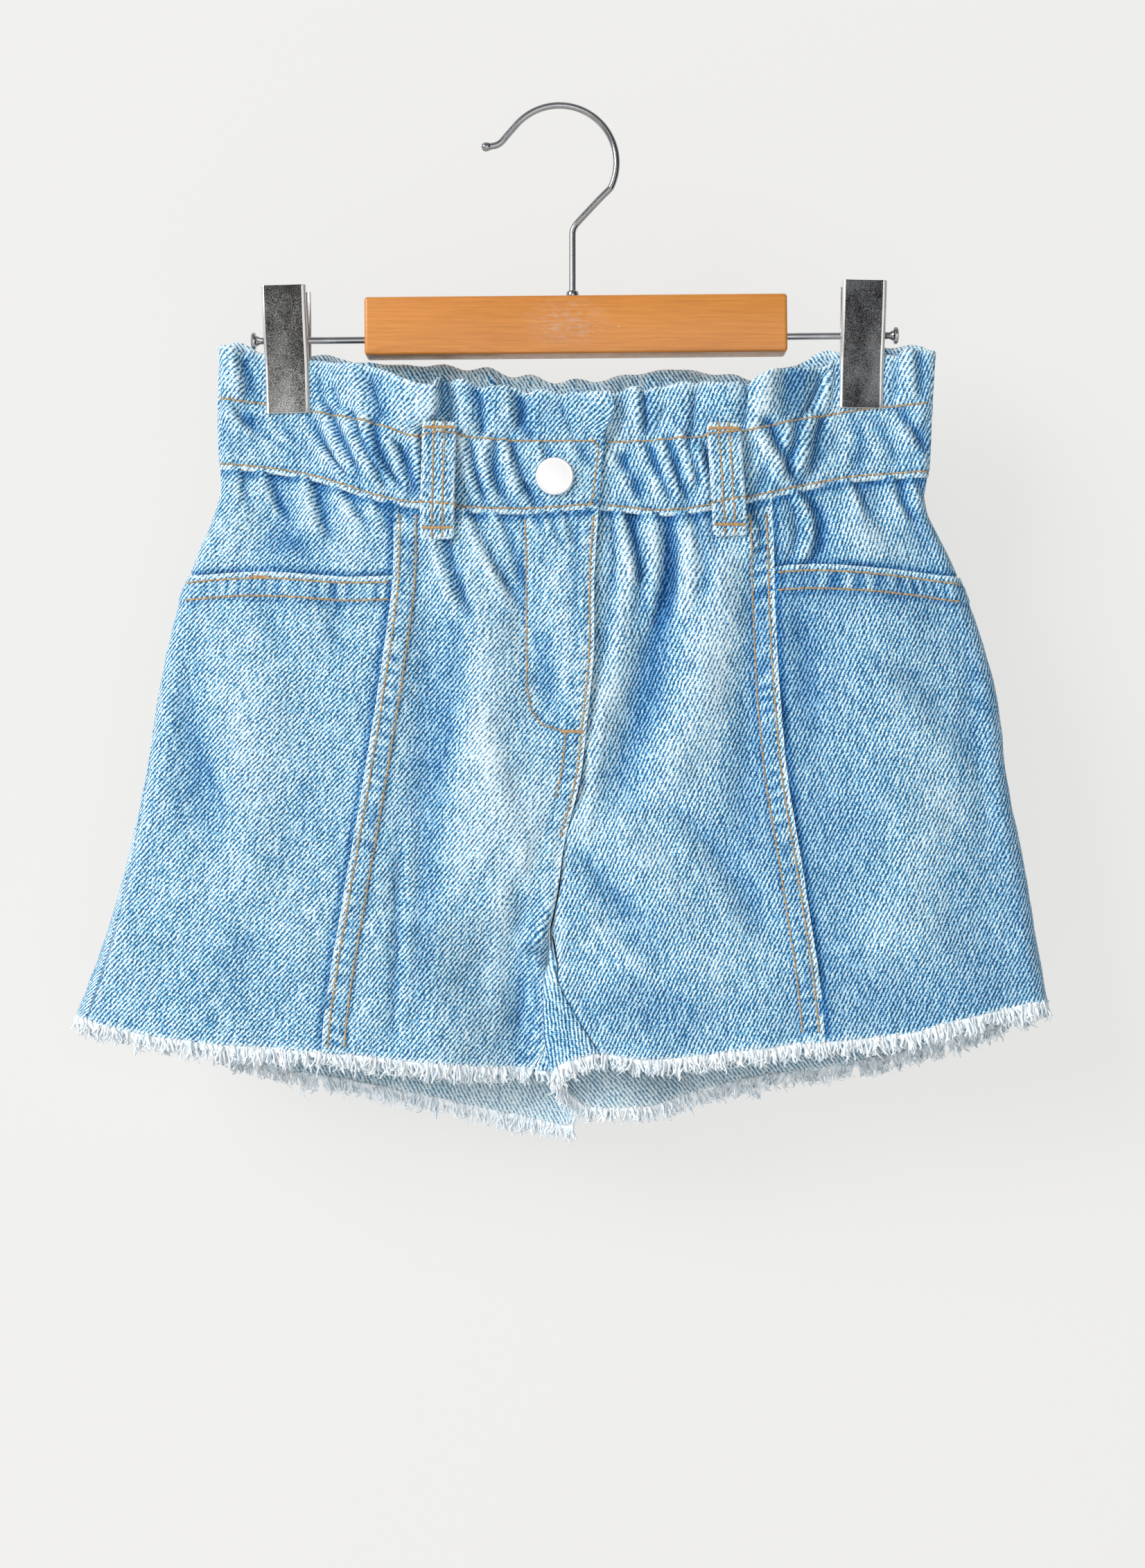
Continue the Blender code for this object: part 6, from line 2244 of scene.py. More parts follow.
def realised(name: str, source: Object) -> Object:
    """Turn an object with live modifiers into a plain mesh object and drop the source.

    Args:
        name: The new object's name.
        source: The object.

    Returns:
        The new object.
    """
    depsgraph = bpy.context.evaluated_depsgraph_get()
    mesh = bpy.data.meshes.new_from_object(source.evaluated_get(depsgraph))
    bpy.data.meshes.remove(source.data)
    mesh.name = name
    return link(name, mesh)


class SeamKind(Enum):
    """Kind of sewing: running stitches or a dense bar."""

    RUNNING = 0
    BARTACK = 1


class SeamLine(NamedTuple):
    """A line of sewing."""

    kind: SeamKind
    layer: float
    line: tuple


@dataclass
class Sewing:
    """All thread of the garment, laid on the dressed cloth."""

    surface: Surface
    pitch: float = 2.9
    bar_pitch: float = 0.52
    stitch_length: float = 2.75
    stitch_wide: float = 0.47       # half a thread's width
    bar_height: float = 1.45
    longest_step: float = 4         # a wider gap breaks the thread

    def stitch(self) -> Object:
        """One stitch: a short thread whose ends dive into the cloth.

        Returns:
            The object.
        """
        rings = ((-0.5, -0.30, 0.5), (-0.34, 0.08, 0.95), (0, 0.17, 1), (0.34, 0.08, 0.95),
                 (0.5, -0.30, 0.5))
        along, height, swell = np.array(rings).T[..., None]
        middles = along * (self.stitch_length, 0, 0) + height * (0, 0, 1)
        radii = self.stitch_wide * swell
        mesh = tube_mesh("stitch_form", middles, radii * (0, 1, 0), radii * (0, 0, 0.7), 5)
        return link("stitch_form", mesh)

    def thread_lines(self, name: str, lines: Sequence[SeamLine]) -> Optional[Object]:
        """Edges along the sewing lines, with the direction out at each point.

        Args:
            name: The object's name.
            lines: The lines.

        Returns:
            The object, or None if no line lies on the cloth.
        """
        points, edges, ways = [], [], []
        for seam in lines:
            laid = self.surface.lay(seam.line, seam.layer)
            first = len(points)
            for number, (place, normal) in enumerate(laid):
                if number and (place - points[-1]).length < self.longest_step * MM:
                    edges.append((first + number - 1, first + number))
                points.append(place)
                ways.append(normal)
        if not points:
            return None
        mesh = new_mesh(name, points, [], edges)
        store(mesh, "outward", np.array(ways), "FLOAT_VECTOR")
        return link(name, mesh)

    def build(self, name: str, lines: Sequence[SeamLine], palette: Palette,
              tree: Tree, form: Object) -> list[Object]:
        """Sew a set of lines.

        Args:
            name: The piece's name.
            lines: Its lines.
            palette: The materials.
            tree: The stitch tree.
            form: The single stitch.

        Returns:
            The finished pieces.
        """
        made = []
        for kind in SeamKind:
            chosen = [line for line in lines if line.kind is kind]
            piece_name = name if kind is SeamKind.RUNNING else name + "_bartacks"
            source = self.thread_lines(piece_name + "_lines", chosen)
            if source is None:
                continue
            modifier = source.modifiers.new("sew", "NODES")
            modifier.node_group = tree
            values = {"Stitch": form, "Thread": palette.thread, "Pitch": self.pitch * MM}
            if kind is SeamKind.BARTACK:
                values.update({"Pitch": self.bar_pitch * MM, "Turn": QUARTER,
                               "Length": self.bar_height / self.stitch_length})
            set_inputs(modifier, values)
            made.append(realised(piece_name, source))
        return made


def level(start: float, end: float, place: Callable[[float], float]) -> tuple:
    """Points (x, place(x)) from one x to another, about 4 mm apart."""
    count = max(2, int(abs(end - start) / 4))
    return tuple((float(x), float(place(x))) for x in np.linspace(start, end, count))


def down(top: float, foot: float, place: Callable[[float], float]) -> tuple:
    """Points (place(z), z) from one height down to another."""
    return tuple((x, z) for z, x in level(top, foot, place))


def beside(rows: Sequence[Mark], offset: float) -> Callable[[float], float]:
    """x of an upright seam, moved sideways."""
    return lambda z: curve(rows, "x", z) + offset


def below_pocket(offset: float) -> Callable[[float], float]:
    """Height below the pocket opening's edge on the front."""
    return lambda x: curve(POCKET, "front", x, "x") - offset


def on_band(value: str, share: float) -> Callable[[float], float]:
    """Height of a share of the waistband, on the front or the back."""
    return lambda x: mix(curve(WAIST, value, x, "x"), curve(RUFFLE, value, x, "x"), share)


def rows_on(layer: float, *lines: tuple) -> list[SeamLine]:
    """Rows of running stitches."""
    return [SeamLine(SeamKind.RUNNING, layer, line) for line in lines]


def bar_on(layer: float, *line: tuple) -> SeamLine:
    """A bartack."""
    return SeamLine(SeamKind.BARTACK, layer, line)


@dataclass(frozen=True)
class SewingPlan:
    """Where the garment is sewn."""

    near: float = 2.9            # first row from a lapped edge
    far: float = 10.2            # second row
    hem_left: float = -424
    hem_right: float = -418

    def waistband(self) -> list[SeamLine]:
        """Rows above and below the gathered casing, and the buttoned end's own row.

        Returns:
            The lines.
        """
        made = []
        for share in (Waistband.stitch_low, Waistband.stitch_high):
            front = on_band("front", share)
            made += rows_on(FRONT, level(-152.5, 15, front), level(23, 166, front))
            made += rows_on(BACK, level(-151, 165, on_band("back", share)))
        high = float(on_band("front", Waistband.stitch_high)(15.5))
        low = float(on_band("front", 0.06)(13.8))
        return made + rows_on(FRONT, ((15, high), (17, high - 1.5), (17.4, high - 5),
                                      (15.2, low + 3), (14.2, low)))

    def princess(self) -> list[SeamLine]:
        """Two rows beside each princess seam.

        Returns:
            The lines.
        """
        return rows_on(FRONT, *(
            down(-187, low, beside(seam, way * offset))
            for seam, way, low in ((PRINCESS_LEFT, 1, self.hem_left),
                                   (PRINCESS_RIGHT, -1, self.hem_right))
            for offset in (self.near, self.far)))

    def pockets(self) -> list[SeamLine]:
        """Two rows below each pocket opening, with a short bar.

        Returns:
            The lines.
        """
        made = rows_on(FRONT, *(level(start, end, below_pocket(offset))
                                for start, end in ((-167.5, -77.5), (99.5, 180))
                                for offset in (2.8, 10.6)))
        return made + [bar_on(FRONT, *level(-138, -130, below_pocket(2.2)))]

    def fly(self) -> list[SeamLine]:
        """The fly's edge row, its J and the rows down the centre seam.

        Returns:
            The lines.
        """
        jay = ((-15.2, -189), (-14.6, -206), (-14.6, -247), (-14.4, -264),
               (-12.6, -274), (-7.6, -280.4), (0.6, -283), (10, -283.5))
        made = rows_on(FRONT, down(-188, -330, beside(CENTRE_FRONT, -2.3)),
                       down(-284.5, -312, beside(CENTRE_FRONT, -9.3)), jay)
        return made + [bar_on(FRONT, (1.2, -283.4), (9.8, -283.6))]

    def loops(self) -> list[SeamLine]:
        """Two rows and two bars on each belt loop.

        Returns:
            The lines.
        """
        made = []
        for loop in LOOPS:
            for offset in (-2.3, 2.3):
                made += rows_on(loop.layer, tuple(
                    (mix(loop.top_x, loop.low_x, t) + offset, mix(loop.top_z, loop.low_z, t))
                    for t in np.linspace(0.02, 0.97, 12)))
            for t in (0.055, 0.9):
                x, z = mix(loop.top_x, loop.low_x, t), mix(loop.top_z, loop.low_z, t)
                made.append(bar_on(loop.layer, (x - 6.4, z), (x + 6.4, z)))
        return made

    def back(self) -> list[SeamLine]:
        """Two rows beside the centre back seam."""
        return rows_on(BACK, *(down(-178, -366, beside(CENTRE_BACK, offset))
                               for offset in (-2.6, -8.4)))


# --- fringe

@dataclass(frozen=True)
class Fringe:
    """The frayed edge of one hem piece: a narrow strip and the loose yarns on it."""

    name: str
    panel: str
    layer: float
    side: Side
    length: float
    seed: int
    inset: float = 0.6
    density: float = 3.2          # yarns for each millimetre
    tuft: float = 2.3
    strip: float = 2.2

    def path(self, share: Array, z: Array) -> Array:
        """Path of a share of the hem's length.

        Args:
            share: Share of the length.
            z: Height, in millimetres.

        Returns:
            The path.
        """
        side = float(self.side)
        first, last = side_seam(side, z), inner_seam(self.layer, side, z)
        inset = np.sign(last - first) * self.inset
        return mix(first + inset, last - inset, share)

    def hem(self, share: Array) -> Array:
        """Height of the hem at each share.

        Args:
            share: Share of the length.

        Returns:
            The heights.
        """
        z = np.full_like(share, TUBE.hem_about)
        side = float(self.side)
        for _round in range(TUBE.edge_rounds):
            x, layer, spread, _outer, _inner = TUBE.ring(side, z, self.path(share, z))
            z = hem_edge(side, x, layer * spread)
        return z

    def on_hem(self, share: Array, drop: Array) -> tuple[Array, Array]:
        """Points below the hem's edge, in metres, and the directions out of the cloth.

        Args:
            share: Share of the length.
            drop: How far below the edge, in millimetres.

        Returns:
            The points and the directions.
        """
        z = self.hem(share) - drop
        side = np.full_like(z, float(self.side))
        path = self.path(share, z)
        return TUBE.point(side, z, path) * MM, TUBE.normal(side, z, path)

    def strip_object(self, palette: Palette) -> Object:
        """The strip under the cut edge, uneven and soft.

        Args:
            palette: The materials.

        Returns:
            The object.
        """
        share = np.linspace(0, 1, int(self.length / 1.1))
        rng = np.random.RandomState(self.seed)
        ragged = rng.uniform(-0.6, 0.6, len(share))
        levels = [self.on_hem(share, drop + ragged * (0.5 + 0.3 * number))
                  for number, drop in enumerate((-0.5, 0, 0.6, 1.5, self.strip))]
        middle, normal = (np.array(grid) for grid in zip(*levels))
        middle = middle / MM
        thick = np.array((0.15, 0.38, 0.5, 0.45, 0.25))[:, None]
        thick = thick * (1 + 0.25 * rng.uniform(-1, 1, middle.shape[:2]))
        flat = np.zeros((*middle.shape[:2], 2))
        shell = Shell(middle, normal, thick, thick, flat, np.zeros(middle.shape[:2]))
        return shell.build(self.name + "_strip", (palette.frayed,) * 3)

    def roots(self) -> Object:
        """Points on the hem from which yarns hang, with their direction out.

        Returns:
            The object, which has points only.
        """
        rng = np.random.RandomState(self.seed + 1)
        count = int(self.length * self.density)
        tufts = int(self.length / self.tuft)
        own = np.sort(rng.randint(0, tufts, count))
        share = np.clip((own + 0.5 + rng.normal(0, 0.3, count)) / tufts, 0, 1)
        place, normal = self.on_hem(share, rng.uniform(-1.1, 1.2, count))
        place = place + normal * (rng.uniform(-0.9, 1, count) * MM)[:, None]
        mesh = new_mesh(self.name + "_roots", place.tolist(), [])
        store(mesh, "outward", normal, "FLOAT_VECTOR")
        for key, of_tuft, of_yarn in (("long", (0.72, 1.12), (-0.16, 0.14)),
                                      ("lean", (-0.34, 0.34), (-0.2, 0.2)),
                                      ("swing", (-0.16, 0.1), (-0.12, 0.12))):
            store(mesh, key, rng.uniform(*of_tuft, tufts)[own] + rng.uniform(*of_yarn, count))
        return link(self.name + "_roots", mesh)

    def build(self, palette: Palette, tree: Tree,
              yarns: bpy.types.Collection) -> Object:
        """Hang the yarns and join them with the strip.

        Args:
            palette: The materials.
            tree: The fringe's tree.
            yarns: The yarns' forms.

        Returns:
            The object.
        """
        source = self.roots()
        modifier = source.modifiers.new("hang", "NODES")
        modifier.node_group = tree
        set_inputs(modifier, {"Yarns": yarns, "Seed": self.seed, "Cotton": palette.frayed})
        hung = realised(self.name, source)
        strip = self.strip_object(palette)
        work = bmesh.new()
        work.from_mesh(hung.data)
        work.from_mesh(strip.data)
        for face in work.faces:
            face.material_index = 0
        mesh = bpy.data.meshes.new(self.name)
        work.to_mesh(mesh)
        work.free()
        mesh.shade_smooth()
        for leftover in (hung, strip):
            bpy.data.objects.remove(leftover, do_unlink=True)
        return link(self.name, mesh, (palette.frayed,))


def yarn_forms(count: int = 7, seed: int = 71) -> bpy.types.Collection:
    """A few curled yarns of different shapes, hanging down from their origin.

    Args:
        count: How many.
        seed: Of their shapes.

    Returns:
        A collection with the yarns.
    """
    rng = np.random.RandomState(seed)
    collection = bpy.data.collections.new("yarn_forms")
    bpy.context.scene.collection.children.link(collection)
    for number in range(count):
        length = rng.uniform(6.8, 9.6)
        radius = rng.uniform(0.5, 0.68)
        bend = rng.uniform(-2, 2)
        curl = rng.uniform(0.9, 2.4)
        turn = rng.uniform(0, 2 * math.pi)
        t = np.linspace(0, 1, 8)
        hook = curl * 0.8 * np.maximum(0, t - 0.7) * 3
        middles = np.stack([bend * t ** 2 + curl * 0.6 * np.sin(turn + 5 * t) * t,
                            0.8 * curl * np.sin(turn * 2 + 4 * t) * t - 0.7 * t,
                            -length * t + hook], axis=-1)
        swell = radius * (1 - 0.25 * t ** 4) * (1 + 0.2 * np.sin(9 * t + turn))
        mesh = tube_mesh("yarn_form_%d" % number, middles, swell[:, None] * (1, 0, 0),
                         swell[:, None] * (0, 1, 0), 4, t)
        collection.objects.link(bpy.data.objects.new(mesh.name, mesh))
    return collection


def fringe_tree() -> Tree:
    """Geometry nodes: yarns of a few forms hung from points, each turned and sized.

    Returns:
        The tree.
    """
    g = new_tree("hanging_yarns", "Geometry", {
        "Roots": ("Geometry", None), "Yarns": ("Collection", None), "Seed": ("Int", 3),
        "Cotton": ("Material", None)}, ("Hung",))
    given = g.node("NodeGroupInput").outputs
    forms = g.node("GeometryNodeCollectionInfo", {
        "Collection": given["Yarns"], "Separate Children": True, "Reset Children": True})
    facing = g.node("FunctionNodeAxesToRotation",
                    {0: (0, 0, 1), 1: g.named("outward", "FLOAT_VECTOR")},
                    primary_axis="Z", secondary_axis="Y").outputs[0]
    spin = g.node("FunctionNodeRandomValue", {2: -3.1, 3: 3.1, "Seed": given["Seed"]}).outputs[1]
    turn = g.turned(facing, {0: g.named("swing"), 1: g.named("lean")})
    turn = g.turned(turn, {2: spin})
    g.hang(given["Roots"], forms.outputs[0], turn, {0: 1, 1: 1, 2: g.named("long")},
           given["Cotton"], **{"Pick Instance": True})
    return g.tree


FRINGES = (
    Fringe("fringe_front_left", "front_centre_left", FRONT, Side.LEFT, 205, 81),
    Fringe("fringe_front_right", "front_centre_right", FRONT, Side.RIGHT, 205, 82),
    Fringe("fringe_back_left", "back_left", BACK, Side.LEFT, 250, 83),
    Fringe("fringe_back_right", "back_right", BACK, Side.RIGHT, 250, 84),
)


# --- turned and swept parts

def turned_mesh(name: str, profile: Sequence[tuple], segments: int) -> Mesh:
    """Turn a profile of (radius, height) in millimetres round Z; a 0 radius closes an end.

    Args:
        name: The mesh's name.
        profile: The profile.
        segments: How many steps go round.

    Returns:
        The mesh.
    """
    points, rings = [], []
    for radius, height in profile:
        if radius == 0:
            rings.append([len(points)])
            points.append((0, 0, height * MM))
            continue
        rings.append(list(range(len(points), len(points) + segments)))
        for step in range(segments):
            angle = 2 * math.pi * step / segments
            points.append((radius * math.cos(angle) * MM, radius * math.sin(angle) * MM,
                           height * MM))
    faces = []
    pairs = list(zip(rings, rings[1:]))
    if profile[0][0] != 0:
        pairs.append((rings[-1], rings[0]))
    for lower, upper in pairs:
        for step in range(segments):
            after = (step + 1) % segments
            corners = [lower[step % len(lower)], lower[after % len(lower)],
                       upper[after % len(upper)], upper[step % len(upper)]]
            faces.append(tuple(dict.fromkeys(corners)))
    mesh = new_mesh(name, points, faces)
    outward(mesh)
    mesh.shade_smooth()
    mesh.set_sharp_from_angle(angle=math.radians(38))
    return mesh


def rounded(profile: Sequence[tuple], rounds: int = 2) -> list[tuple]:
    """Cut the corners of an open profile, keeping its ends.

    Args:
        profile: The profile.
        rounds: How many times.

    Returns:
        The new profile.
    """
    line = [tuple(point) for point in profile]
    for _round in range(rounds):
        new = [line[0]]
        for here, there in zip(line, line[1:]):
            new.append(tuple(mix(a, b, 0.25) for a, b in zip(here, there)))
            new.append(tuple(mix(a, b, 0.75) for a, b in zip(here, there)))
        new.append(line[-1])
        line = new
    return line


@dataclass(frozen=True)
class Hanger:
    """The clip hanger: hook, collar, wooden bar, rods and clips."""

    tilt: float = math.radians(0.5)
    bar_centre: tuple = (7.5, 0, -99.3)
    bar_size: tuple = (191, 15, 26.2)
    bar_round: float = 1.5
    wire: float = 1.5
    rod: float = 1.55
    rod_depth: float = 16
    rod_z: float = -104.4
    rod_ends: tuple = (-140, 154)
    knob_radius: float = 3.9
    knob_thick: float = 2.2
    stem_x: float = 6
    stem_depth: float = 12
    hook_radius: float = 26
    hook_start: float = math.radians(-27)
    hook_end: float = math.radians(141)
    clip_width: float = 20
    clip_sheet: float = 0.9
    clip_leans: tuple = (math.radians(-1.1), math.radians(1.6))
    clip_round: float = 1.3
    flange: float = 3.4
    edge_round: float = 0.18

    def tilted(self) -> Matrix:
        """Turn of the bar, rods and clips about the stem.

        Returns:
            The turn.
        """
        pivot = Vector((self.stem_x, 0, self.bar_centre[2])) * MM
        return (Matrix.Translation(pivot) @ Matrix.Rotation(-self.tilt, 4, "Y")
                @ Matrix.Translation(-pivot))

    def hook(self, palette: Palette) -> Object:
        """The wire hook with its ball end.

        Args:
            palette: The materials.

        Returns:
            The object.
        """
        centre = self.wire - self.hook_radius
        foot = self.bar_centre[2] + self.bar_size[2] / 2 - self.stem_depth
        stem = [(self.stem_x, z) for z in (foot, -80, -60, -54.5)]
        bend = [(9.6, -50.3), (14.6, -45), (19.4, -39.9)]
        arc = [(self.hook_radius * math.cos(angle), centre + self.hook_radius * math.sin(angle))
               for angle in np.linspace(self.hook_start, self.hook_end, 61)]
        tip = [(-23.6, -12), (-26.4, -15.4), (-28.6, -16.7), (-31.2, -17.15)]
        line = [(x, z, 1) for x, z in rounded(stem + bend + arc + tip)]
        line += [(-31.6, -17.2, 1.1), (-32.2, -17.25, 1.27), (-33, -17.35, 1.36),
                 (-33.9, -17.45, 1.34), (-34.6, -17.5, 1.18), (-35.1, -17.55, 0.85),
                 (-35.35, -17.6, 0.3)]
        mesh = self.sweep("hook", line, 20)
        return link("hook", mesh, (palette.chrome,))

    def sweep(self, name: str, line: Sequence[tuple], sides: int) -> Mesh:
        """A round wire along points (x, z, times its radius) in the middle plane.

        Args:
            name: The mesh's name.
            line: The points.
            sides: Points of a ring.

        Returns:
            The mesh.
        """
        x, z, swell = np.array(line).T
        tx, tz = unit(np.gradient(np.stack([x, z], axis=-1), axis=0)).T
        reach, flat = self.wire * swell, np.zeros_like(x)
        mesh = tube_mesh(name, np.stack([x, flat, z], axis=-1),
                         np.stack([-tz * reach, flat, tx * reach], axis=-1),
                         np.stack([flat, reach, flat], axis=-1), sides)
        mesh.set_sharp_from_angle(angle=math.radians(60))
        return mesh

    def collar(self, palette: Palette) -> Object:
        """The collar over the stem's hole.

        Args:
            palette: The materials.

        Returns:
            The object.
        """
        profile = ((1.8, 0), (2.4, 0), (2.75, 0.15), (2.9, 0.55), (2.9, 1.5), (2.75, 2.3),
                   (2.35, 2.9), (1.95, 3.1), (1.8, 3.1))
        mesh = turned_mesh("hook_collar", profile, 40)
        foot = self.bar_centre[2] + self.bar_size[2] / 2 + TUBE.gap
        mesh.transform(Matrix.Translation(Vector((self.stem_x, 0, foot)) * MM))
        return link("hook_collar", mesh, (palette.chrome,))

    def bar(self, palette: Palette) -> Object:
        """The wooden bar with softly broken edges.

        Args:
            palette: The materials.

        Returns:
            The object.
        """
        mesh = bpy.data.meshes.new("wood_bar")
        work = bmesh.new()
        size = Vector(self.bar_size) * MM
        bmesh.ops.create_cube(work, size=1, matrix=Matrix.Diagonal((*size, 1)))
        bmesh.ops.bevel(work, geom=list(work.edges), offset=self.bar_round * MM, segments=5,
                        profile=0.5, affect="EDGES")
        work.to_mesh(mesh)
        work.free()
        mesh.shade_smooth()
        mesh.set_sharp_from_angle(angle=math.radians(30))
        mesh.transform(self.tilted() @ Matrix.Translation(Vector(self.bar_centre) * MM))
        return link("wood_bar", mesh, (palette.wood,))

    def rods(self, palette: Palette) -> list[Object]:
        """The two rods with their flat heads.

        Args:
            palette: The materials.

        Returns:
            The left rod and the right one.
        """
        made = []
        for word, sign, end in (("left", -1, self.rod_ends[0]), ("right", 1, self.rod_ends[1])):
            start = self.bar_centre[0] + sign * (self.bar_size[0] / 2 - self.rod_depth)
            length = abs(end - start)
            head, rod, knob = length - self.knob_thick, self.rod, self.knob_radius
            profile = [(0, 0), (rod, 0), (rod, head - 1.8), (rod + 0.45, head - 1.2),
                       (rod + 0.8, head - 0.2), (knob - 1, head), (knob - 0.2, head + 0.25),
                       (knob, head + 0.8), (knob - 0.1, head + 1.5), (knob - 0.7, length - 0.15),
                       (knob - 1.6, length), (0, length)]
            mesh = turned_mesh("rod_" + word, profile, 36)
            turn = Matrix.Rotation(sign * QUARTER, 4, "Y")
            place = Matrix.Translation(Vector((start, 0, self.rod_z)) * MM)
            mesh.transform(self.tilted() @ place @ turn)
            made.append(link("rod_" + word, mesh, (palette.chrome,)))
        return made

    def clip_line(self) -> list[tuple]:
        """Side profile of a plate: distance from the middle plane and height over the rod."""
        return rounded([(8.5, 23.6), (8.1, 14), (7.6, 9), (6.2, 0), (4.6, -7), (3.75, -12.5),
                        (3.75, -31.4), (4.15, -33.4)])

    def plate(self, name: str, sign: float, shift: float,
              finishes: Sequence[Material]) -> Object:
        """One bent plate with rolled long edges and the ears that hold the rod.

        Args:
            name: The piece's name.
            sign: -1 in front, 1 behind.
            shift: Place of its middle across.
            finishes: Its materials.

        Returns:
            The object.
        """
        half = self.clip_width / 2
        round_by = self.clip_round
        section = [(-half, 1)]
        for angle in np.linspace(math.pi, QUARTER, 5):
            section.append((-half + round_by + round_by * math.cos(angle),
                            round_by - round_by * math.sin(angle)))
        face = [(-half + round_by + 0.6, 0.02), (-half * 0.35, 0.16), (half * 0.35, 0.16),
                (half - round_by - 0.6, 0.02)]
        section += face + [(-x, depth) for x, depth in section[::-1]]
        last = len(section) - 1
        work = bmesh.new()
        rows = []
        for distance, height in self.clip_line():
            depth = self.flange * (0.55 + 0.45 * float(bump(height - 1, 9)))
            rows.append([work.verts.new(Vector((
                x + shift, sign * (distance - (depth if number in (0, last) else inward)),
                height)) * MM) for number, (x, inward) in enumerate(section)])
        for upper, lower in zip(rows, rows[1:]):
            for number in range(last):
                made = work.faces.new((upper[number], lower[number], lower[number + 1],
                                       upper[number + 1]))
                # the rolled edges and rim take the near-white finish that paints their glint
                flat = 5 <= number <= last - 7 and lower is not rows[-1]
                made.material_index = 0 if flat else 1
        mesh = bpy.data.meshes.new(name)
        if sign > 0:
            bmesh.ops.reverse_faces(work, faces=work.faces)
        work.to_mesh(mesh)
        work.free()
        mesh.shade_smooth()
        source = link(name, mesh, finishes)
        solid = source.modifiers.new("sheet", "SOLIDIFY")
        solid.thickness = self.clip_sheet * MM
        solid.offset = -1
        solid.material_offset_rim = 1
        bevel = source.modifiers.new("soft_edge", "BEVEL")
        bevel.width = self.edge_round * MM
        bevel.segments = 2
        bevel.limit_method = "ANGLE"
        bevel.angle_limit = math.radians(50)
        return realised(name, source)

    def clips(self, palette: Palette) -> list[Object]:
        """Both trouser clips, front and back plates.

        Args:
            palette: The materials.

        Returns:
            The four plates.
        """
        made = []
        for word, centre, lean in zip(("left", "right"), TUBE.clip_centres, self.clip_leans):
            for place, sign, shift in (("front", FRONT, 0), ("back", BACK, 0.6)):
                piece = self.plate("clip_%s_%s" % (word, place), sign, shift,
                                   (palette.clips[word], palette.clip_edge))
                where = Matrix.Translation(Vector((centre, 0, self.rod_z)) * MM)
                piece.data.transform(self.tilted() @ where @ Matrix.Rotation(lean, 4, "Y"))
                made.append(piece)
        return made

    def build(self, palette: Palette) -> None:
        """Build the whole hanger.

        Args:
            palette: The materials.
        """
        settle(self.hook(palette), ("hook",))
        settle(self.collar(palette), ("hook_collar",))
        settle(self.bar(palette), ("wood_bar",))
        for slot, pieces in (("chrome", self.rods(palette)),
                             ("clip_steel", self.clips(palette))):
            for piece in pieces:
                settle(piece, (piece.name.split(".")[0],))


# --- button

@dataclass(frozen=True)
class Button:
    """The jeans button: a flat dished cap with a rolled rim."""

    x: float = -2
    z: float = -169.4
    radius: float = 8.5

    def build(self, palette: Palette) -> Object:
        """Build the button on the band.

        Args:
            palette: The materials.

        Returns:
            The object.
        """
        r = self.radius
        profile = ((0, 0), (2.6, 0), (2.8, 1.2), (r - 1.2, 1.35), (r - 0.35, 1.6),
                   (r, 2.1), (r - 0.1, 2.6), (r - 0.35, 2.9), (r - 0.7, 3), (r - 0.95, 2.95),
                   (r - 1.15, 2.9), (r - 1.6, 2.93), (4, 3.08), (2, 3.14), (0, 3.16))
        mesh = turned_mesh("button", profile, 72)
        z = np.array([self.z])
        side = np.array([-1])
        path = -TUBE.run_at(side, z, np.array([self.x]))
        face = TUBE.point(side, z, path)[0]
        out = Waistband.thick / 2 + TUBE.gap
        turn = Matrix.Rotation(QUARTER, 4, "X")
        place = Matrix.Translation(Vector((self.x, face[1] - out, self.z)) * MM)
        mesh.transform(place @ turn)
        return link("button", mesh, (palette.silver,))


# --- garment

@dataclass
class Shorts:
    """The garment: panels, waistband, loops, sewing, frayed hems and button."""

    palette: Palette
    plan: SewingPlan = field(default_factory=SewingPlan)

    def build(self) -> None:
        cloth = []
        fringes = self.fringes()
        for panel in panels():
            piece = panel.build(self.palette)
            settle(piece, (panel.name,))
            cloth.append(piece)
        for band in BANDS:
            piece = band.build(self.palette)
            settle(piece, (band.name,))
            cloth.append(piece)
        for loop in LOOPS:
            piece = loop.build(self.palette)
            settle(piece, (loop.name,))
            cloth.append(piece)
        self.sew(cloth)
        settle(Button().build(self.palette), ("button",))

    def fringes(self) -> dict:
        """Build the frayed edges, by the panel each hangs from.

        Returns:
            The fringes, by the panel's name.
        """
        tree = fringe_tree()
        forms = yarn_forms()
        made = {}
        for fringe in FRINGES:
            piece = fringe.build(self.palette, tree, forms)
            settle(piece, (fringe.name,))
            made[fringe.panel] = piece
        for form in list(forms.objects):
            bpy.data.objects.remove(form, do_unlink=True)
        bpy.data.collections.remove(forms)
        return made

    def sew(self, cloth: Sequence[Object]) -> None:
        """Lay all the thread.

        Args:
            cloth: The pieces it is laid on.
        """
        sewing = Sewing(Surface(cloth))
        tree = stitch_tree()
        form = sewing.stitch()
        plan = self.plan
        for lines in (plan.waistband, plan.princess, plan.pockets, plan.fly, plan.loops,
                      plan.back):
            for piece in sewing.build("thread_" + lines.__name__, lines(), self.palette, tree,
                                      form):
                settle(piece, ())
        bpy.data.objects.remove(form, do_unlink=True)


# --- stage

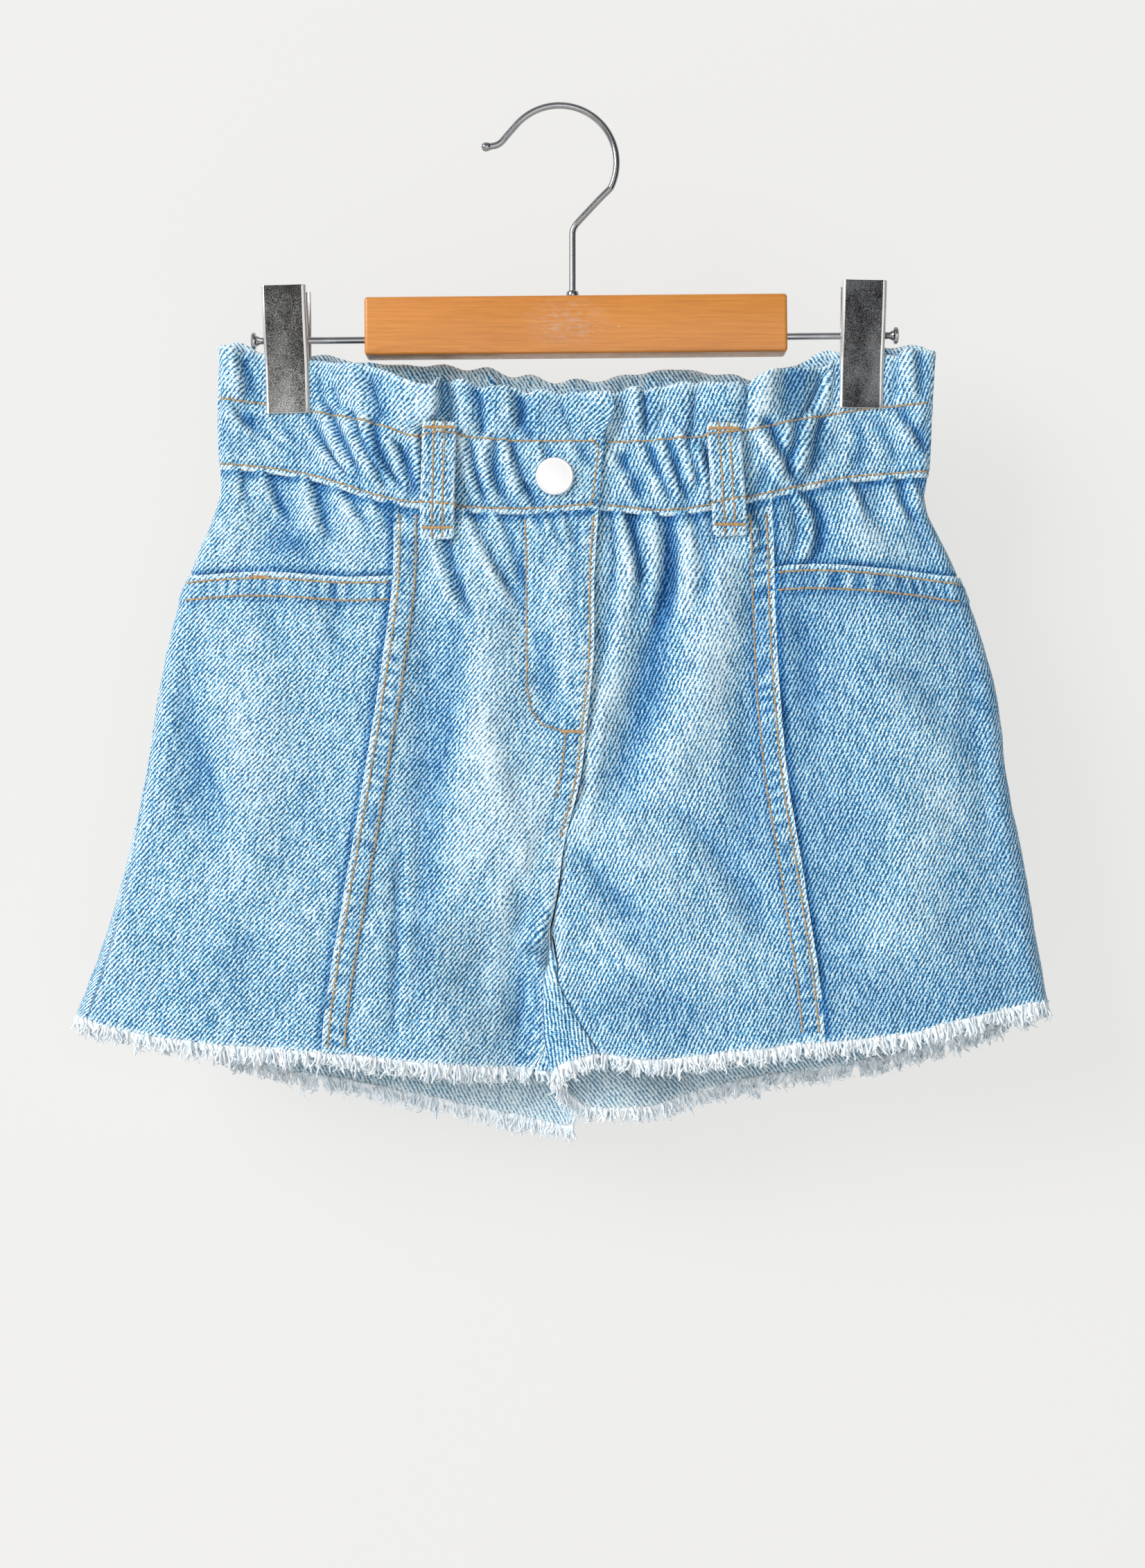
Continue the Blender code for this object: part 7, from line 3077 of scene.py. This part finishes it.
@dataclass(frozen=True)
class Lamp:
    """A soft area light."""

    name: str
    place: tuple
    aim: tuple
    size: float
    power: float
    colour: tuple = (1, 1, 1)

    def build(self) -> None:
        """Add the light."""
        data = bpy.data.lights.new(self.name, "AREA")
        data.shape = "SQUARE"
        data.size = self.size
        data.energy = self.power
        data.color = self.colour
        lamp = link(self.name, data)
        lamp.location = self.place
        way = Vector(self.aim) - Vector(self.place)
        lamp.rotation_mode = "QUATERNION"
        lamp.rotation_quaternion = way.to_track_quat("-Z", "Y")


@dataclass(frozen=True)
class Studio:
    """Pale wall and floor in one sweep, soft light and the camera."""

    wall_y: float = 0.075
    floor_z: float = -1.15
    width: float = 5
    top: float = 1.6
    reach: float = 2.6
    bend: float = 0.35
    camera_x: float = 0.005985
    camera_z: float = -0.30697
    distance: float = 0.99
    lens: float = 50
    world: float = 0.23
    lamps: tuple = (
        Lamp("key_light", (-2.9, -2.7, 1.5), (0, 0, -0.28), 2.2, 156),
        Lamp("fill_light", (0.3, -2.3, -0.5), (0, 0, -0.3), 2, 17),
        Lamp("back_light", (0.9, 1.9, 0.6), (0, 0, -0.3), 1.2, 22),
    )

    def sweep(self, palette: Palette) -> None:
        """Wall, curve and floor as one sheet.

        Args:
            palette: The materials.
        """
        profile = [(self.wall_y, self.top)]
        for angle in np.linspace(0, QUARTER, 15):
            profile.append((self.wall_y - self.bend * (1 - math.cos(angle)),
                            self.floor_z + self.bend * (1 - math.sin(angle))))
        profile.append((-self.reach, self.floor_z))
        points = [(side * self.width / 2, y, z) for y, z in profile for side in (-1, 1)]
        faces = [(low, low + 2, low + 3, low + 1) for low in range(0, len(points) - 2, 2)]
        mesh = new_mesh("backdrop", points, faces)
        mesh.shade_smooth()
        link("backdrop", mesh, (palette.paper,))

    def build(self, palette: Palette) -> None:
        """Make the stage, the lights and the camera.

        Args:
            palette: The materials.
        """
        scene = bpy.context.scene
        data = bpy.data.cameras.new("camera")
        data.lens = self.lens
        camera = link("camera", data)
        camera.location = (self.camera_x, -self.distance, self.camera_z)
        camera.rotation_euler = (QUARTER, 0, 0)
        scene.camera = camera
        self.sweep(palette)
        for lamp in self.lamps:
            lamp.build()
        world = bpy.data.worlds.new("studio")
        scene.world = world
        world.use_nodes = True
        sky = Graph(world.node_tree)
        way = sky.node("ShaderNodeTexCoord").outputs["Generated"]
        parts = sky.node("ShaderNodeSeparateXYZ", {0: way}).outputs
        tilt = sky.add(parts[0], sky.times(parts[2], -0.5))
        room = sky.ramp(sky.remap(tilt, -0.45, 0.45), ((0, (1.5, 1.52, 1.55)),
                                                       (1, (0.38, 0.385, 0.39))))
        sky.feed(world.node_tree.nodes["Background"], {0: room, 1: self.world})
        scene.view_settings.view_transform = "Standard"
        scene.view_settings.look = "None"
        scene.view_settings.exposure = 0


def main() -> None:
    """Build the studio, the garment and the hanger."""
    logging.basicConfig(level=logging.INFO, format="%(name)s: %(message)s")
    palette = Palette()
    Studio().build(palette)
    Shorts(palette).build()
    Hanger().build(palette)


if __name__ == "__main__":
    main()
